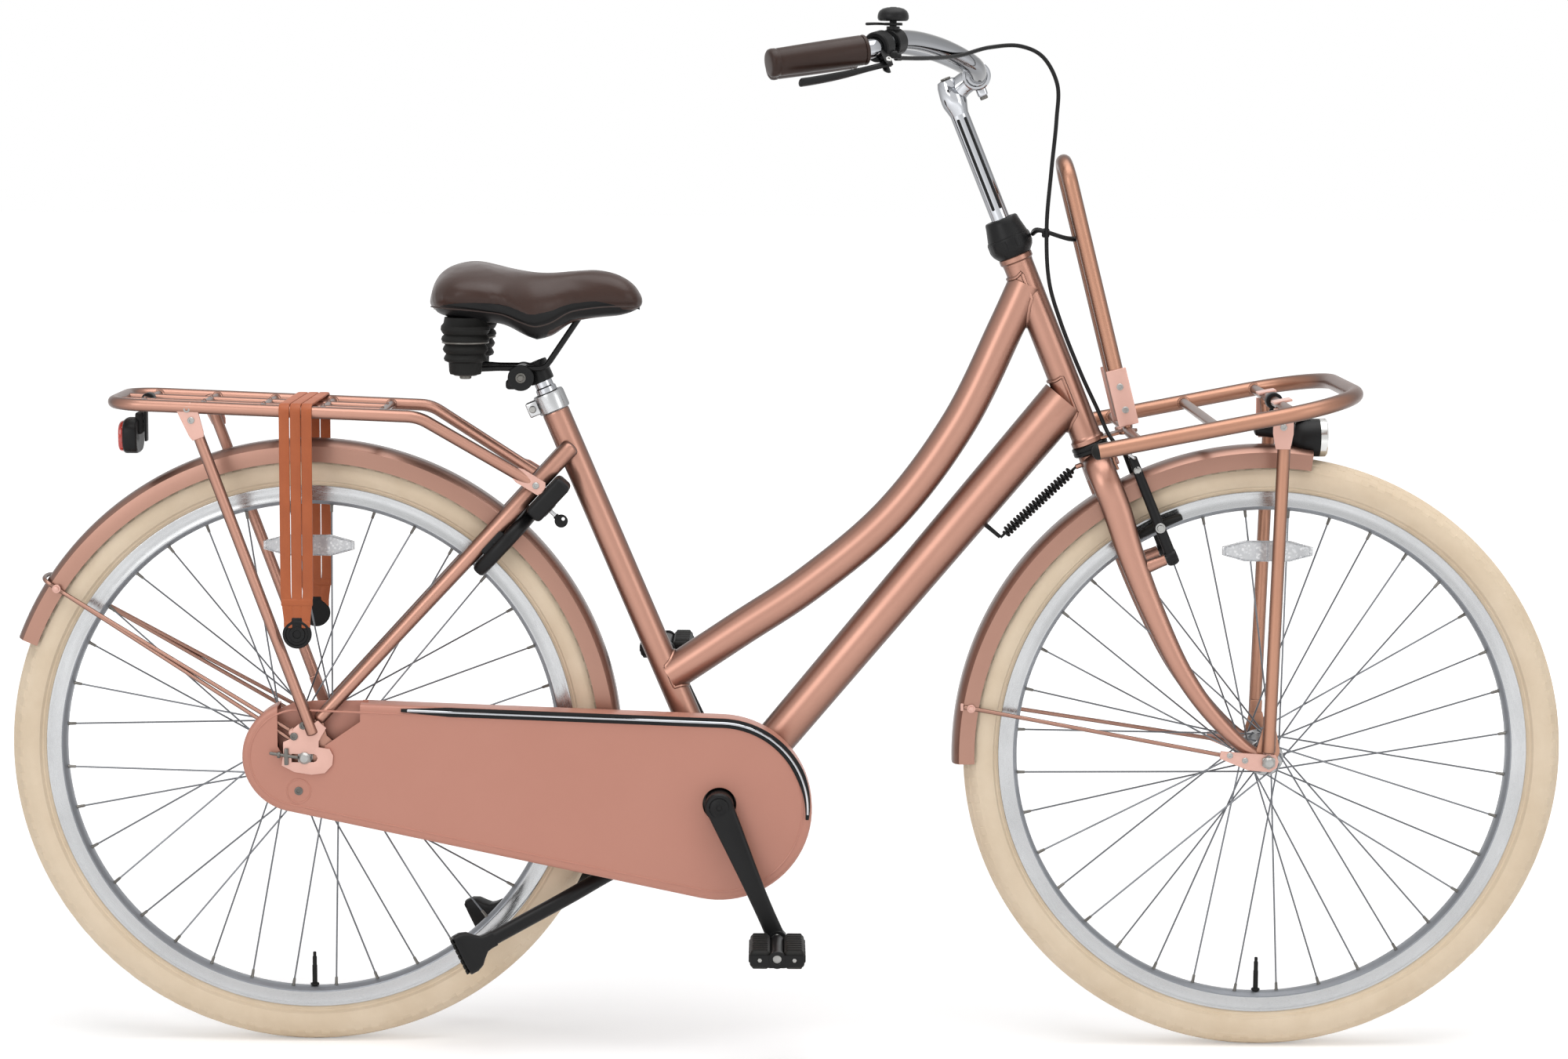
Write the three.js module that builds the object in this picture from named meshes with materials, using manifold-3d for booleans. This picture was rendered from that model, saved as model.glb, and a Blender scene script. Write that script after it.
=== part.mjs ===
// A dutch city bike with a low curved top tube, two carriers, a closed chaincase and a folded stand.
// Millimetres; +X points forward, +Y to the rider's left, +Z up.
// The origin is on the ground midway between the two axles.
import * as THREE from 'three';
import { mergeVertices } from 'three/addons/utils/BufferGeometryUtils.js';
import Module from 'manifold-3d';

const wasm = await Module();
wasm.setup();

// Clearances
const fit = 0.3;
const overrun = 3;

// Wheels
const tyreRadius = 358;
const bracketToRearTyre = 131.5;
const bracketToFrontTyre = 291.5;
const rearReach = tyreRadius + bracketToRearTyre;
const wheelBase = rearReach + tyreRadius + bracketToFrontTyre;
const wheelTop = tyreRadius * 2;
const frontX = wheelBase / 2;
const rearX = -frontX;
const tyreHalfWidth = 23.5;
const tyreBeadHalfWidth = 10;
const tyreDepth = 52;
const rimLipHeight = 11;
const rimShoulderDrop = 7;
const rimBedDrop = 12;
const rimFloorRadius = tyreRadius - tyreDepth;
const rimEdgeRadius = rimFloorRadius + rimLipHeight;
const rimShoulderRadius = rimFloorRadius - rimShoulderDrop;
const rimBedRadius = rimFloorRadius - rimBedDrop;
const rimBedHalfWidth = 6;
const rimWall = 2;
const valveRadius = 3;
const valveLength = 42;
const spokeRadius = 1.2;
const spokeRimOffset = 2.4;
const spokeFlangeInset = 4;
const flangeThickness = 4.4;
const frontFlangeRadius = 22;
const frontFlangeOffset = 33;
const rearFlangeRadius = 33;
const rearFlangeOffset = 31;
const frontHubRadius = 15;
const rearHubRadius = 25;
const hubBoreRadius = 5.3;
const reflectorLength = 108;
const reflectorHeight = 25;
const reflectorThickness = 7;
const reflectorInset = 36;
const reflectorReach = rimBedRadius - reflectorInset;
const reflectorTilt = THREE.MathUtils.degToRad(14);
const reflectorShares = [[-0.5, -0.2], [-0.25, -0.5], [0.25, -0.5], [0.5, -0.2], [0.5, 0.2], [0.25, 0.5], [-0.25, 0.5],
  [-0.5, 0.2]];
const axleRadius = 4.8;
const locknutRadius = 8.5;
const axleNutRadius = 9;
const axleNutLength = 9;
const axleEndLength = 5;
const frontAxleSpan = 100;
const rearAxleSpan = 124;
const dropoutThickness = 6;
const tabThickness = 4;
const dropoutRadius = 16;
const dropoutShares = [[2.6, -0.6], [2.6, 0.7], [1.6, 1.6], [1.3, 2.8], [0.4, 2.8], [-0.6, 1.3], [-1, 0.2], [-0.7, -0.8], [0, -1.1]];

// Frame
const bracketSetback = frontX - rearReach;
const bracketDrop = 53;
const bracketHeight = tyreRadius - bracketDrop;
const bracketShellRadius = 21;
const bracketShellWidth = 68;
const seatTubeLean = THREE.MathUtils.degToRad(23.3);
const seatTubeLength = 500;
const seatTubeRadius = 16.5;
const headLean = THREE.MathUtils.degToRad(22.3);
const forkRake = 56.4;
const crownGap = 67;
const forkLength = tyreRadius + crownGap;
const headTubeLength = 240;
const headTubeRadius = 18;
const headTubeWall = 2.2;
const topTubeRadius = 21.5;
const downTubeHeadRadius = 28;
const downTubeBracketRadius = 23;
const downTubeHeadRise = 64;
const downTubeBracketOffset = 12;
const topTubeHeadDrop = 36;
const topTubeFootShare = 0.31;
const topTubeShares = [[0, 0], [0.2, 0.12], [0.39, 0.234], [0.625, 0.415], [0.816, 0.648], [0.945, 0.889], [1, 1]];
const chainStayRadius = 10;
const stayTipRadius = 7.5;
const chainStayWidth = 7;
const chainStayInset = 25;
const stayHalfSpanAtWheel = 40;
const seatStayRadius = 11;
const seatStayTopOffset = 17;
const seatStayTopDrop = 46;
const standPlateLength = 46;
const standPlateThickness = 5;

// Headset and steerer
const steererRadius = 12.7;
const steererBoreRadius = 11.5;
const headsetCoverHeight = 46;
const headsetCoverRadius = 26;
const headsetCoverTopRadius = 20;
const headsetRingHeight = 11;
const headsetRingRadius = 22;

// Fork, in lengths along and across the steering axis
const forkLegTipOffset = 53;
const forkLegDepth = 17;
const forkLegWidth = 11;
const forkTipRadius = 8;
const forkLegShares = [[0, 0.15, 0.053], [0, 0.55, 0.06], [0, 0.79, 0.105], [0, 0.81, 0.19], [-0.07, 0.81, 0.325],
  [-0.07, 0.83, 0.51], [0.03, 0.87, 0.685], [0.27, 0.92, 0.82], [0.67, 0.98, 0.945], [0.9, 1, 0.985]];
const frontDropoutRadius = 13;
const crownRadius = 18;
const crownHeight = 30;
const brakeBossDrop = 158;
const brakeBossOffset = 40;
const brakeBossRadius = 7;
const brakeStudRadius = 4;
const brakeStudReach = 47;
const brakeBossReach = 32;

// Stem and handlebar
const quillRadius = 11;
const quillDepth = 60;
const stemHeight = 447;
const stemHeadRadius = 15;
const stemReach = 34;
const stemClampRise = 6;
const stemClampRadius = 17;
const stemClampWidth = 40;
const barClampRadius = 12.7;
const barRadius = 11;
const barRise = 38;
const barShares = [[0, 0, 0], [0.005, 0.08, 0.03], [-0.03, 0.235, 0.32], [-0.2, 0.45, 0.82], [-0.39, 0.69, 1],
  [-0.54, 0.865, 0.71], [-1, 1, 0.26]];
const gripRadius = 17;
const gripCap = 5;
const gripSetback = 5;
const gripTaperShare = 0.08;
const gripBack = 243;
const gripHalfSpan = 298;

// Seat post and saddle
const seatPostRadius = 13.6;
const seatPostInsertion = 180;
const seatPostExposed = 60;
const seatPostTravelDown = 13;
const seatClampHeight = 24;
const seatClampRadius = 19;
const seatPostNeckRadius = 11;
const saddleClampBack = 20;
const saddleClampRadius = 14;
const saddleLength = 256;
const saddleWidth = 205;
const saddleLift = 30.7;
const saddleDepth = 90;
const saddleSetback = 148.2;
const saddleEdgeShare = 0.42;
const saddleDrawShare = 0.16;
const saddleSides = 18;
const saddleShares = [[0, 0.45, 0.6, 0.44], [0.02, 0.68, 0.8, 0.42], [0.06, 0.84, 0.92, 0.4], [0.11, 0.95, 0.98, 0.37],
  [0.18, 1, 1, 0.35], [0.27, 0.99, 0.96, 0.3], [0.36, 0.9, 0.9, 0.2], [0.44, 0.75, 0.86, 0.07],
  [0.5, 0.64, 0.84, 0], [0.57, 0.53, 0.84, 0.06], [0.65, 0.44, 0.86, 0.22], [0.74, 0.38, 0.88, 0.28],
  [0.84, 0.34, 0.89, 0.31], [0.92, 0.31, 0.82, 0.33], [0.97, 0.24, 0.71, 0.37], [1, 0.13, 0.56, 0.42]];
const railRadius = 3.6;
const railHalfSpan = 22;
const railNoseHalfSpan = 9;
const railNoseShare = 0.74;
const railSpringShare = 0.18;
const railBendRadius = 14;
const elastomerShares = [[0.35, 0], [0.62, 0.08], [0.66, 0.3], [0.86, 0.4], [0.84, 0.5], [0.9, 0.6], [0.86, 0.68], [1, 0.78],
  [1, 0.88], [0.82, 0.98], [0.82, 1.3]];
const elastomerSinkShare = 0.15;
const elastomerRadius = 29;
const elastomerHeight = 42;
const elastomerHalfSpan = 52;

// Mudguards
const mudguardGap = 14;
const mudguardRadius = tyreRadius + mudguardGap;
const mudguardHalfWidth = 27;
const mudguardDepth = 26;
const mudguardWall = 1.8;
const mudguardShares = [[1, -1], [0.3, -0.94], [0, -0.42], [0, 0.42], [0.3, 0.94], [1, 1]];
const rearMudguardFrom = THREE.MathUtils.degToRad(-14);
const rearMudguardTo = THREE.MathUtils.degToRad(159);
const rearStayAngle = THREE.MathUtils.degToRad(147);
const frontMudguardFrom = THREE.MathUtils.degToRad(82);
const frontMudguardTo = THREE.MathUtils.degToRad(182);
const frontStayAngle = THREE.MathUtils.degToRad(171);
const stayWireRadius = 2.6;
const rearEyelets = [[-12, 18], [-14, 30]];
const frontEyelet = [-28, 2];
const crownBoltRadius = 5;

// Rear carrier
const carrierHalfWidth = 80;
const carrierTubeRadius = 7.4;
const carrierTyreGap = 47;
const carrierHeight = wheelTop + carrierTyreGap;
const carrierRise = 0.036;
const carrierOverhang = 223.5;
const carrierRear = frontX + carrierOverhang;
const carrierKneeAhead = 136.5;
const carrierKneeX = rearX + carrierKneeAhead;
const carrierFootShare = 0.13;
const carrierBendRadius = 45;
const carrierBarRadius = 4.5;
const carrierLastBarBehind = 190.5;
const carrierLastBarX = rearX - carrierLastBarBehind;
const carrierBarPitch = 70;
const carrierBarCount = 5;
const carrierInnerHalfSpan = 27;
const carrierLegBehind = 132.5;
const carrierLegX = rearX - carrierLegBehind;
const carrierLegRadius = 6.8;
const carrierLegHalfSpan = 76;
const carrierTabRadius = 10;
const carrierTabAhead = 9.5;
const carrierTabRise = 30;

// Rear light
const rearLightLength = 52;
const rearLightHeight = 46;
const rearLightHalfWidth = 30;
const rearLightBehind = 211.5;
const rearLightX = rearX - rearLightBehind;
const rearLightRise = 16;
const rearLightZ = wheelTop + rearLightRise;

// Luggage strap
const strapWidth = 38;
const strapThickness = 4;
const strapDrop = 200;
const strapBottom = wheelTop - strapDrop;
const strapEndShare = 0.65;
const strapBehind = 5.5;
const strapX = rearX - strapBehind;
const strapButtonRadius = 17;

// Front carrier
const frontCarrierHalfWidth = 178;
const frontCarrierTubeRadius = 9.4;
const frontCarrierBehind = 217.5;
const frontCarrierRearX = frontX - frontCarrierBehind;
const frontCarrierAhead = 88.5;
const frontCarrierFrontX = frontX + frontCarrierAhead;
const frontCarrierTyreGap = 21;
const frontCarrierRearZ = wheelTop + frontCarrierTyreGap;
const frontCarrierSlope = 0.2;
const frontCarrierBendRadius = 100;
const frontCarrierBarRadius = 6;
const frontCarrierLegRadius = 7.8;
const frontCarrierLegOffset = 66;
const frontCarrierLegAhead = 9.5;
const frontCarrierLegX = frontX + frontCarrierLegAhead;
const frontCarrierKneeGap = 19;
const frontCarrierLegKneeZ = wheelTop + frontCarrierKneeGap;
const frontTabRadius = 14;
const frontCarrierBarReaches = [48, 136, 223];
const crownPlateWidth = 28;
const hoopHalfSpan = 28;
const hoopTubeRadius = 9.3;
const hoopTopBehind = 248.5;
const hoopTopX = frontX - hoopTopBehind;
const hoopTopRise = 346;
const hoopTopZ = wheelTop + hoopTopRise;
const hoopFootBehind = 171.5;
const hoopFootX = frontX - hoopFootBehind;
const hoopFootRise = 46;
const hoopFootZ = wheelTop + hoopFootRise;
const hoopTabRadius = 11;
const hoopRungShare = 0.7;
const hoopRungRadius = 4;
const hoopBendSteps = 5;

// Headlight
const headlightAhead = 28.5;
const headlightX = frontX + headlightAhead;
const headlightRise = 20;
const headlightZ = wheelTop + headlightRise;
const headlightLength = 84;
const headlightRadius = 23;
const headlightBodyRadius = 11;
const headlightDrumLength = 17;

// Chaincase
const chaincaseInner = 34.5;
const chaincaseOuter = 74;
const chaincaseWall = 2;
const chaincaseFrontRadius = 110;
const chaincaseFrontDrop = -7;
const chaincaseRearShift = -8;
const chaincasePostRadius = 6;
const chaincaseSlotShares = [[-2, -1.5], [1.4, -1.5], [1.5, 0.9], [4.3, 2.6], [4.3, 5.2], [-2, 5.2]];
const trimLap = 1;
const trimStartShare = 0.24;
const chaincaseRearRadius = 67;
const trimHeight = 12;

// Drive
const chainPitch = 12.7;
const chainringTeeth = 38;
const sprocketTeeth = 16;
const toothHeight = 4;
const toothThickness = 2.4;
const chainLine = 46;
const chainPlateGap = 3;
const chainPlateThickness = 1.4;
const chainPlateHeight = 8;
const chainPinRadius = 2;
const chainPinRows = 5;
const sprocketHubRadius = 14;
const sprocketHubInner = 34;
const sprocketHubOuter = 52;
const spindleRadius = 8;
const crankLength = 170;
const crankAngle = THREE.MathUtils.degToRad(-66);
const crankInner = 84;
const crankThickness = 13;
const crankHubRadius = 17;
const crankTipRadius = 12;
const crankSplay = 14;
const pedalAxleRadius = 5;
const pedalGap = 5;
const pedalLength = 92;
const pedalWidth = 66;
const pedalHeight = 24;

// Stand
const standBehind = 74;
const standPivotX = -bracketSetback - standBehind;
const standDrop = 67;
const standPivotZ = bracketHeight - standDrop;
const standPinRadius = 5;
const standBarrelRadius = 12;
const standBarrelHalfWidth = 30;
const standLegLength = 252;
const standFootOffset = 96;
const standLegRadius = 10;
const standFootLength = 52;
const standShares = [[0, 0.21], [0.25, 0.22], [0.45, 0.48], [1, 1]];
const standAngle = THREE.MathUtils.degToRad(206);

// Ring lock
const lockInset = 22;
const lockCentreReach = tyreRadius - lockInset;
const lockOuterRadius = 60;
const lockInnerRadius = 40;
const lockHalfThickness = 9;
const lockMouth = THREE.MathUtils.degToRad(132);
const lockSlack = THREE.MathUtils.degToRad(3);
const shackleStart = THREE.MathUtils.degToRad(22);
const shackleEnd = THREE.MathUtils.degToRad(130);
const knobRadius = 2.2;
const knobReach = 9;
const lockLugLength = 36;
const lockBoxGap = 32;
const lockBoxOut = tyreRadius + lockBoxGap;
const lockBoxSide = 20;
const lockBoxWidth = 42;
const lockStayGap = 19.5;
const shackleRadius = 4;
const shackleChannelRadius = 5;
const lockBoxLength = 58;
const lockBoxHeight = 22;
const keyLength = 22;
const keyRadius = 8;
const keyDepth = 10;
const keyStemRadius = 2.5;
const keyThickness = 3;

// Bell, brake lever and brake
const bellRadius = 15;
const bellHeight = 22;
const bellAhead = 47;
const bellGapShare = 0.14;
const bellShares = [[0.5, -0.45], [0.5, 0], [0.27, 0.03], [0.27, 0.3], [0.93, 0.34], [1, 0.5], [0.9, 0.78], [0.5, 0.96],
  [0.2, 1]];
const bellLeverLength = 30;
const leverLength = 96;
const leverThickness = 8;
const leverClampWidth = 16;
const leverOffset = 32;
const leverOutShare = 0.6;
const leverDownShare = 1.3;
const leverClampAhead = 19;
const leverPivotDrop = 26;
const leverPinRadius = 3;
const brakeArmLength = 128;
const brakeArmWidth = 11;
const brakeArmThickness = 7;
const brakePadLength = 62;
const brakePadHeight = 11;
const brakePadRise = 38;
const brakePadGap = 1.6;
const cableRadius = 2.5;
const cableSteps = 30;
// Each point of the cable: ahead of the steering axis, to the side, and its share of the stem's height
const cableRoute = [
  [-19.81, -186, 1.10671],
  [18.71, -124, 1.08105],
  [56.74, -84, 1.07034],
  [91.73, -60, 1.04306],
  [112.16, -46, 0.99530],
  [116.67, -38, 0.91378],
  [101.49, -34, 0.83101],
  [73.34, -30, 0.70691],
  [45.73, -27, 0.57991],
  [25.15, -24, 0.44405],
  [20.65, -18, 0.33696],
  [20.96, -14, 0.17949],
  [23.7, -16, 0.07060],
  [24.22, -24, 0.01450],
  [28.16, -42, -0.02298],
  [35.85, -48, -0.05179],
];

// Steering spring
const springWireRadius = 1.1;
const springCurlRadius = 5.2;
const springCurls = 14;
const springLeadShare = 5;
const springLowBehind = 138.53;
const springLowDrop = 66.19;
const springHookReach = 6;
const springHookDrop = 21;
const springLugRadius = 3;

// Mesh detail
const wheelSegments = 32;
const roundSides = 12;
const barSides = 10;
const smallSides = 8;
const wireSides = 6;

const up = new THREE.Vector3(0, 0, 1);
const left = new THREE.Vector3(0, 1, 0);
const at = (x, y, z) => new THREE.Vector3(x, y, z);
const sides = [-1, 1];
const sideName = (side) => (side < 0 ? 'right' : 'left');
const bike = new THREE.Group();

// Geometry helpers

// Merge shared corners, drop slivers without area and turn the faces outward.
function closed(source) {
  const bare = source.index ? source.toNonIndexed() : source.clone();
  bare.deleteAttribute('normal');
  bare.deleteAttribute('uv');
  const merged = mergeVertices(bare, 1e-4);
  const index = merged.index.array;
  const place = merged.attributes.position;
  const kept = [];
  let volume = 0;
  const a = new THREE.Vector3();
  const b = new THREE.Vector3();
  const c = new THREE.Vector3();
  for (let i = 0; i < index.length; i += 3) {
    const [u, v, w] = [index[i], index[i + 1], index[i + 2]];
    if (u === v || v === w || w === u) continue;
    kept.push(u, v, w);
    a.fromBufferAttribute(place, u);
    b.fromBufferAttribute(place, v);
    c.fromBufferAttribute(place, w);
    volume += a.dot(b.cross(c));
  }
  if (volume < 0) kept.reverse();
  merged.setIndex(kept);
  return merged;
}

function solid(geometry) {
  const body = closed(geometry);
  return new wasm.Manifold(new wasm.Mesh({
    numProp: 3,
    vertProperties: new Float32Array(body.attributes.position.array),
    triVerts: new Uint32Array(body.index.array),
  }));
}

function fromSolid(body) {
  const mesh = body.getMesh();
  const geometry = new THREE.BufferGeometry();
  geometry.setAttribute('position', new THREE.Float32BufferAttribute(mesh.vertProperties, 3));
  geometry.setIndex(Array.from(mesh.triVerts));
  return geometry;
}

function join(geometries) {
  const bodies = geometries.map(solid);
  return fromSolid(bodies.reduce((whole, next) => whole.add(next)));
}

function cut(geometry, tools) {
  const bodies = tools.map(solid);
  return fromSolid(bodies.reduce((whole, next) => whole.subtract(next), solid(geometry)));
}

// A closed body through rings of equal point counts, capped flat at both ends or running round.
function loft(rings, looped = false) {
  const count = rings[0].length;
  const corners = rings.flat();
  const index = [];
  const spans = looped ? rings.length : rings.length - 1;
  for (let i = 0; i < spans; i += 1) {
    const here = i * count;
    const there = ((i + 1) % rings.length) * count;
    for (let k = 0; k < count; k += 1) {
      const next = (k + 1) % count;
      index.push(here + k, there + next, there + k, here + k, here + next, there + next);
    }
  }
  if (!looped) {
    capRing(rings[0], 0, true, index);
    capRing(rings[rings.length - 1], (rings.length - 1) * count, false, index);
  }
  const geometry = new THREE.BufferGeometry().setFromPoints(corners);
  geometry.setIndex(index);
  return closed(geometry);
}

function capRing(ring, offset, flipped, index) {
  const normal = new THREE.Vector3();
  ring.forEach((corner, i) => {
    const next = ring[(i + 1) % ring.length];
    normal.add(new THREE.Vector3().crossVectors(corner, next));
  });
  normal.normalize();
  const across = new THREE.Vector3().subVectors(ring[1], ring[0]).normalize();
  const along = new THREE.Vector3().crossVectors(normal, across);
  const flat = ring.map((corner) => new THREE.Vector2(corner.dot(across), corner.dot(along)));
  THREE.ShapeUtils.triangulateShape(flat, []).forEach(([u, v, w]) => {
    if (flipped) index.push(offset + w, offset + v, offset + u);
    else index.push(offset + u, offset + v, offset + w);
  });
}

// A round or oval bar through a list of points; size gives its half depth and half width at a share.
function bar(points, size, count = smallSides, depthAxis = up) {
  const sizeAt = typeof size === 'function' ? size : () => [size, size];
  const last = points.length - 1;
  const rings = points.map((point, i) => {
    const before = points[Math.max(i - 1, 0)];
    const after = points[Math.min(i + 1, last)];
    const incoming = new THREE.Vector3().subVectors(point, before).normalize();
    const outgoing = new THREE.Vector3().subVectors(after, point).normalize();
    const tangent = new THREE.Vector3().addVectors(incoming, outgoing).normalize();
    const depth = depthAxis.clone().addScaledVector(tangent, -depthAxis.dot(tangent)).normalize();
    const width = new THREE.Vector3().crossVectors(tangent, depth);
    const [halfDepth, halfWidth] = sizeAt(i / last);
    return ringOf(count, (turn) => point.clone()
      .addScaledVector(depth, halfDepth * Math.cos(turn))
      .addScaledVector(width, halfWidth * Math.sin(turn)));
  });
  return loft(rings);
}

function ringOf(count, place) {
  return Array.from({ length: count }, (_, k) => place(((k + 0.5) / count) * 2 * Math.PI));
}

// Points of a smooth curve through a few guide points.
function smooth(points, steps) {
  return new THREE.CatmullRomCurve3(points, false, 'centripetal').getPoints(steps);
}

// Points of a bent bar: straight runs with round corners.
function bent(points, radius, steps = 4) {
  const route = [points[0]];
  for (let i = 1; i < points.length - 1; i += 1) {
    const toLast = new THREE.Vector3().subVectors(points[i - 1], points[i]);
    const toNext = new THREE.Vector3().subVectors(points[i + 1], points[i]);
    const reach = radius / Math.tan(toLast.angleTo(toNext) / 2);
    const start = points[i].clone().addScaledVector(toLast.normalize(), reach);
    const end = points[i].clone().addScaledVector(toNext.normalize(), reach);
    route.push(...new THREE.QuadraticBezierCurve3(start, points[i], end).getPoints(steps));
  }
  route.push(points[points.length - 1]);
  return route;
}

// A body turned about a line along Y through the origin; stations are [radius, place along Y].
function turned(stations, count = roundSides) {
  return loft(stations.map(([radius, y]) => ringOf(count, (turn) => at(
    radius * Math.cos(turn),
    y,
    radius * Math.sin(turn),
  ))));
}

// A ring with a closed section of [radius, place along Y] corners about the same line.
function ringBody(section, count = wheelSegments) {
  return loft(ringOf(count, (turn) => turn).map((turn) => section.map(([radius, y]) => at(
    radius * Math.cos(turn),
    y,
    radius * Math.sin(turn),
  ))), true);
}

function block(x, y, z) {
  return new THREE.BoxGeometry(x, y, z);
}

// A plate of an XZ outline with a thickness centred on Y.
function plate(outline, thickness, holes = []) {
  const path = (corners) => corners.map(([x, z]) => new THREE.Vector2(x, z));
  const shape = new THREE.Shape(path(outline));
  holes.forEach((hole) => shape.holes.push(new THREE.Path(path(hole))));
  const geometry = new THREE.ExtrudeGeometry(shape, { depth: thickness, bevelEnabled: false, curveSegments: 1 });
  return closed(geometry.translate(0, 0, -thickness / 2).rotateX(Math.PI / 2));
}

function circleOutline(x, z, radius, count = roundSides) {
  return ringOf(count, (turn) => [x + radius * Math.cos(turn), z + radius * Math.sin(turn)]);
}

function moved(geometry, x, y, z) {
  return geometry.clone().translate(x, y, z);
}

function tilted(geometry, angle) {
  return geometry.clone().rotateY(angle);
}

// Colours
const paint = { color: 0xbd8270, roughness: 0.38, metalness: 0.6 };
const carrierPaint = { color: 0xc38264, roughness: 0.4, metalness: 0.55 };
const salmon = { color: 0xc88a76, roughness: 0.55, metalness: 0.05 };
const creamRubber = { color: 0xe1cdaf, roughness: 0.85, metalness: 0 };
const alloy = { color: 0xb9bcc0, roughness: 0.35, metalness: 0.9 };
const chrome = { color: 0xd7dade, roughness: 0.12, metalness: 1 };
const steel = { color: 0x8e9194, roughness: 0.4, metalness: 0.9 };
const black = { color: 0x1b1b1c, roughness: 0.5, metalness: 0.1 };
const leather = { color: 0x4d3026, roughness: 0.5, metalness: 0 };
const strapRubber = { color: 0xb05828, roughness: 0.6, metalness: 0 };
const clearPlastic = { color: 0xc5c9cc, roughness: 0.2, metalness: 0 };
const redLens = { color: 0x8f1d1a, roughness: 0.25, metalness: 0 };

function piece(name, geometry, look, parent = bike) {
  const mesh = new THREE.Mesh(geometry, new THREE.MeshStandardMaterial(look));
  mesh.name = name;
  parent.add(mesh);
  return mesh;
}

// Main places, worked out from the driving sizes
const rearAxle = at(-wheelBase / 2, 0, tyreRadius);
const frontAxle = at(wheelBase / 2, 0, tyreRadius);
const bracket = at(-bracketSetback, 0, bracketHeight);
const seatDirection = at(-Math.sin(seatTubeLean), 0, Math.cos(seatTubeLean));
const seatTubeTop = bracket.clone().addScaledVector(seatDirection, seatTubeLength);
const steerDirection = at(-Math.sin(headLean), 0, Math.cos(headLean));
const steerForward = at(Math.cos(headLean), 0, Math.sin(headLean));
const headBottom = frontAxle.clone()
  .addScaledVector(steerForward, -forkRake)
  .addScaledVector(steerDirection, forkLength);
const onSteerer = (forward, side, along) => headBottom.clone()
  .addScaledVector(steerForward, forward)
  .addScaledVector(left, side)
  .addScaledVector(steerDirection, along);
const headTop = onSteerer(0, 0, headTubeLength);
const rimInnerReach = rimBedRadius * Math.cos(Math.PI / wheelSegments) - fit;

// Wheels
function tyreSection() {
  const centre = tyreRadius - tyreHalfWidth;
  const start = THREE.MathUtils.degToRad(134);
  const steps = 6;
  const arc = Array.from({ length: steps + 1 }, (_, i) => {
    const turn = -start + (2 * start * i) / steps;
    return [centre + tyreHalfWidth * Math.cos(turn), tyreHalfWidth * Math.sin(turn)];
  });
  const foot = rimFloorRadius + fit;
  const shoulder = rimEdgeRadius + fit;
  return [
    [foot, -tyreBeadHalfWidth + fit],
    [shoulder, -tyreBeadHalfWidth + fit],
    ...arc,
    [shoulder, tyreBeadHalfWidth - fit],
    [foot, tyreBeadHalfWidth - fit],
  ];
}

function rimSection() {
  const outer = tyreBeadHalfWidth + rimWall;
  return [
    [rimBedRadius, -rimBedHalfWidth],
    [rimShoulderRadius, -outer],
    [rimEdgeRadius, -outer],
    [rimEdgeRadius, -tyreBeadHalfWidth],
    [rimFloorRadius, -tyreBeadHalfWidth],
    [rimFloorRadius, tyreBeadHalfWidth],
    [rimEdgeRadius, tyreBeadHalfWidth],
    [rimEdgeRadius, outer],
    [rimShoulderRadius, outer],
    [rimBedRadius, rimBedHalfWidth],
  ];
}

function rimWithValve() {
  const reach = rimBedRadius - valveLength;
  const valve = bar([at(0, 0, -reach), at(0, 0, -rimShoulderRadius)], valveRadius, smallSides, left);
  return join([ringBody(rimSection()), valve]);
}

// One side's eighteen spokes, laced three cross into the hub flange that carries them.
function spokeSide(side, flangeRadius, flangeOffset) {
  const flange = ringBody([
    [hubBoreRadius, side * (flangeOffset - flangeThickness / 2)],
    [flangeRadius, side * (flangeOffset - flangeThickness / 2)],
    [flangeRadius, side * (flangeOffset + flangeThickness / 2)],
    [hubBoreRadius, side * (flangeOffset + flangeThickness / 2)],
  ], roundSides);
  const spokesPerSide = 18;
  const crossShare = 3.25;
  const spokes = Array.from({ length: spokesPerSide }, (_, i) => {
    const leading = i % 2 === 0 ? 1 : -1;
    const rimTurn = ((i + (side < 0 ? 0.25 : 0.75)) / spokesPerSide) * 2 * Math.PI;
    const hubTurn = rimTurn + (leading * crossShare * 2 * Math.PI) / spokesPerSide;
    const inset = flangeRadius - spokeFlangeInset;
    const lift = (leading * (flangeThickness - spokeRadius)) / 2;
    const start = at(inset * Math.cos(hubTurn), side * (flangeOffset + lift), inset * Math.sin(hubTurn));
    const end = at(
      rimInnerReach * Math.cos(rimTurn),
      side * spokeRimOffset,
      rimInnerReach * Math.sin(rimTurn),
    );
    return bar([start, end], spokeRadius, 3, left);
  });
  return join([flange, ...spokes]);
}

function hubShell(radius, flangeOffset) {
  const half = flangeOffset - flangeThickness / 2 - fit;
  return ringBody([[hubBoreRadius, -half], [radius, -half], [radius, half], [hubBoreRadius, half]], roundSides);
}

function axle(span, tabs) {
  const inner = span / 2;
  const nut = inner + dropoutThickness + tabs;
  return turned([
    [axleRadius, -nut - axleNutLength - axleEndLength],
    [axleRadius, -nut - axleNutLength],
    [axleNutRadius, -nut - axleNutLength],
    [axleNutRadius, -nut - fit],
    [axleRadius, -nut - fit],
    [axleRadius, -inner + fit],
    [locknutRadius, -inner + fit],
    [locknutRadius, -inner + axleNutLength],
    [axleRadius, -inner + axleNutLength],
    [axleRadius, inner - axleNutLength],
    [locknutRadius, inner - axleNutLength],
    [locknutRadius, inner - fit],
    [axleRadius, inner - fit],
    [axleRadius, nut + fit],
    [axleNutRadius, nut + fit],
    [axleNutRadius, nut + axleNutLength],
    [axleRadius, nut + axleNutLength],
    [axleRadius, nut + axleNutLength + axleEndLength],
  ], smallSides);
}

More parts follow.
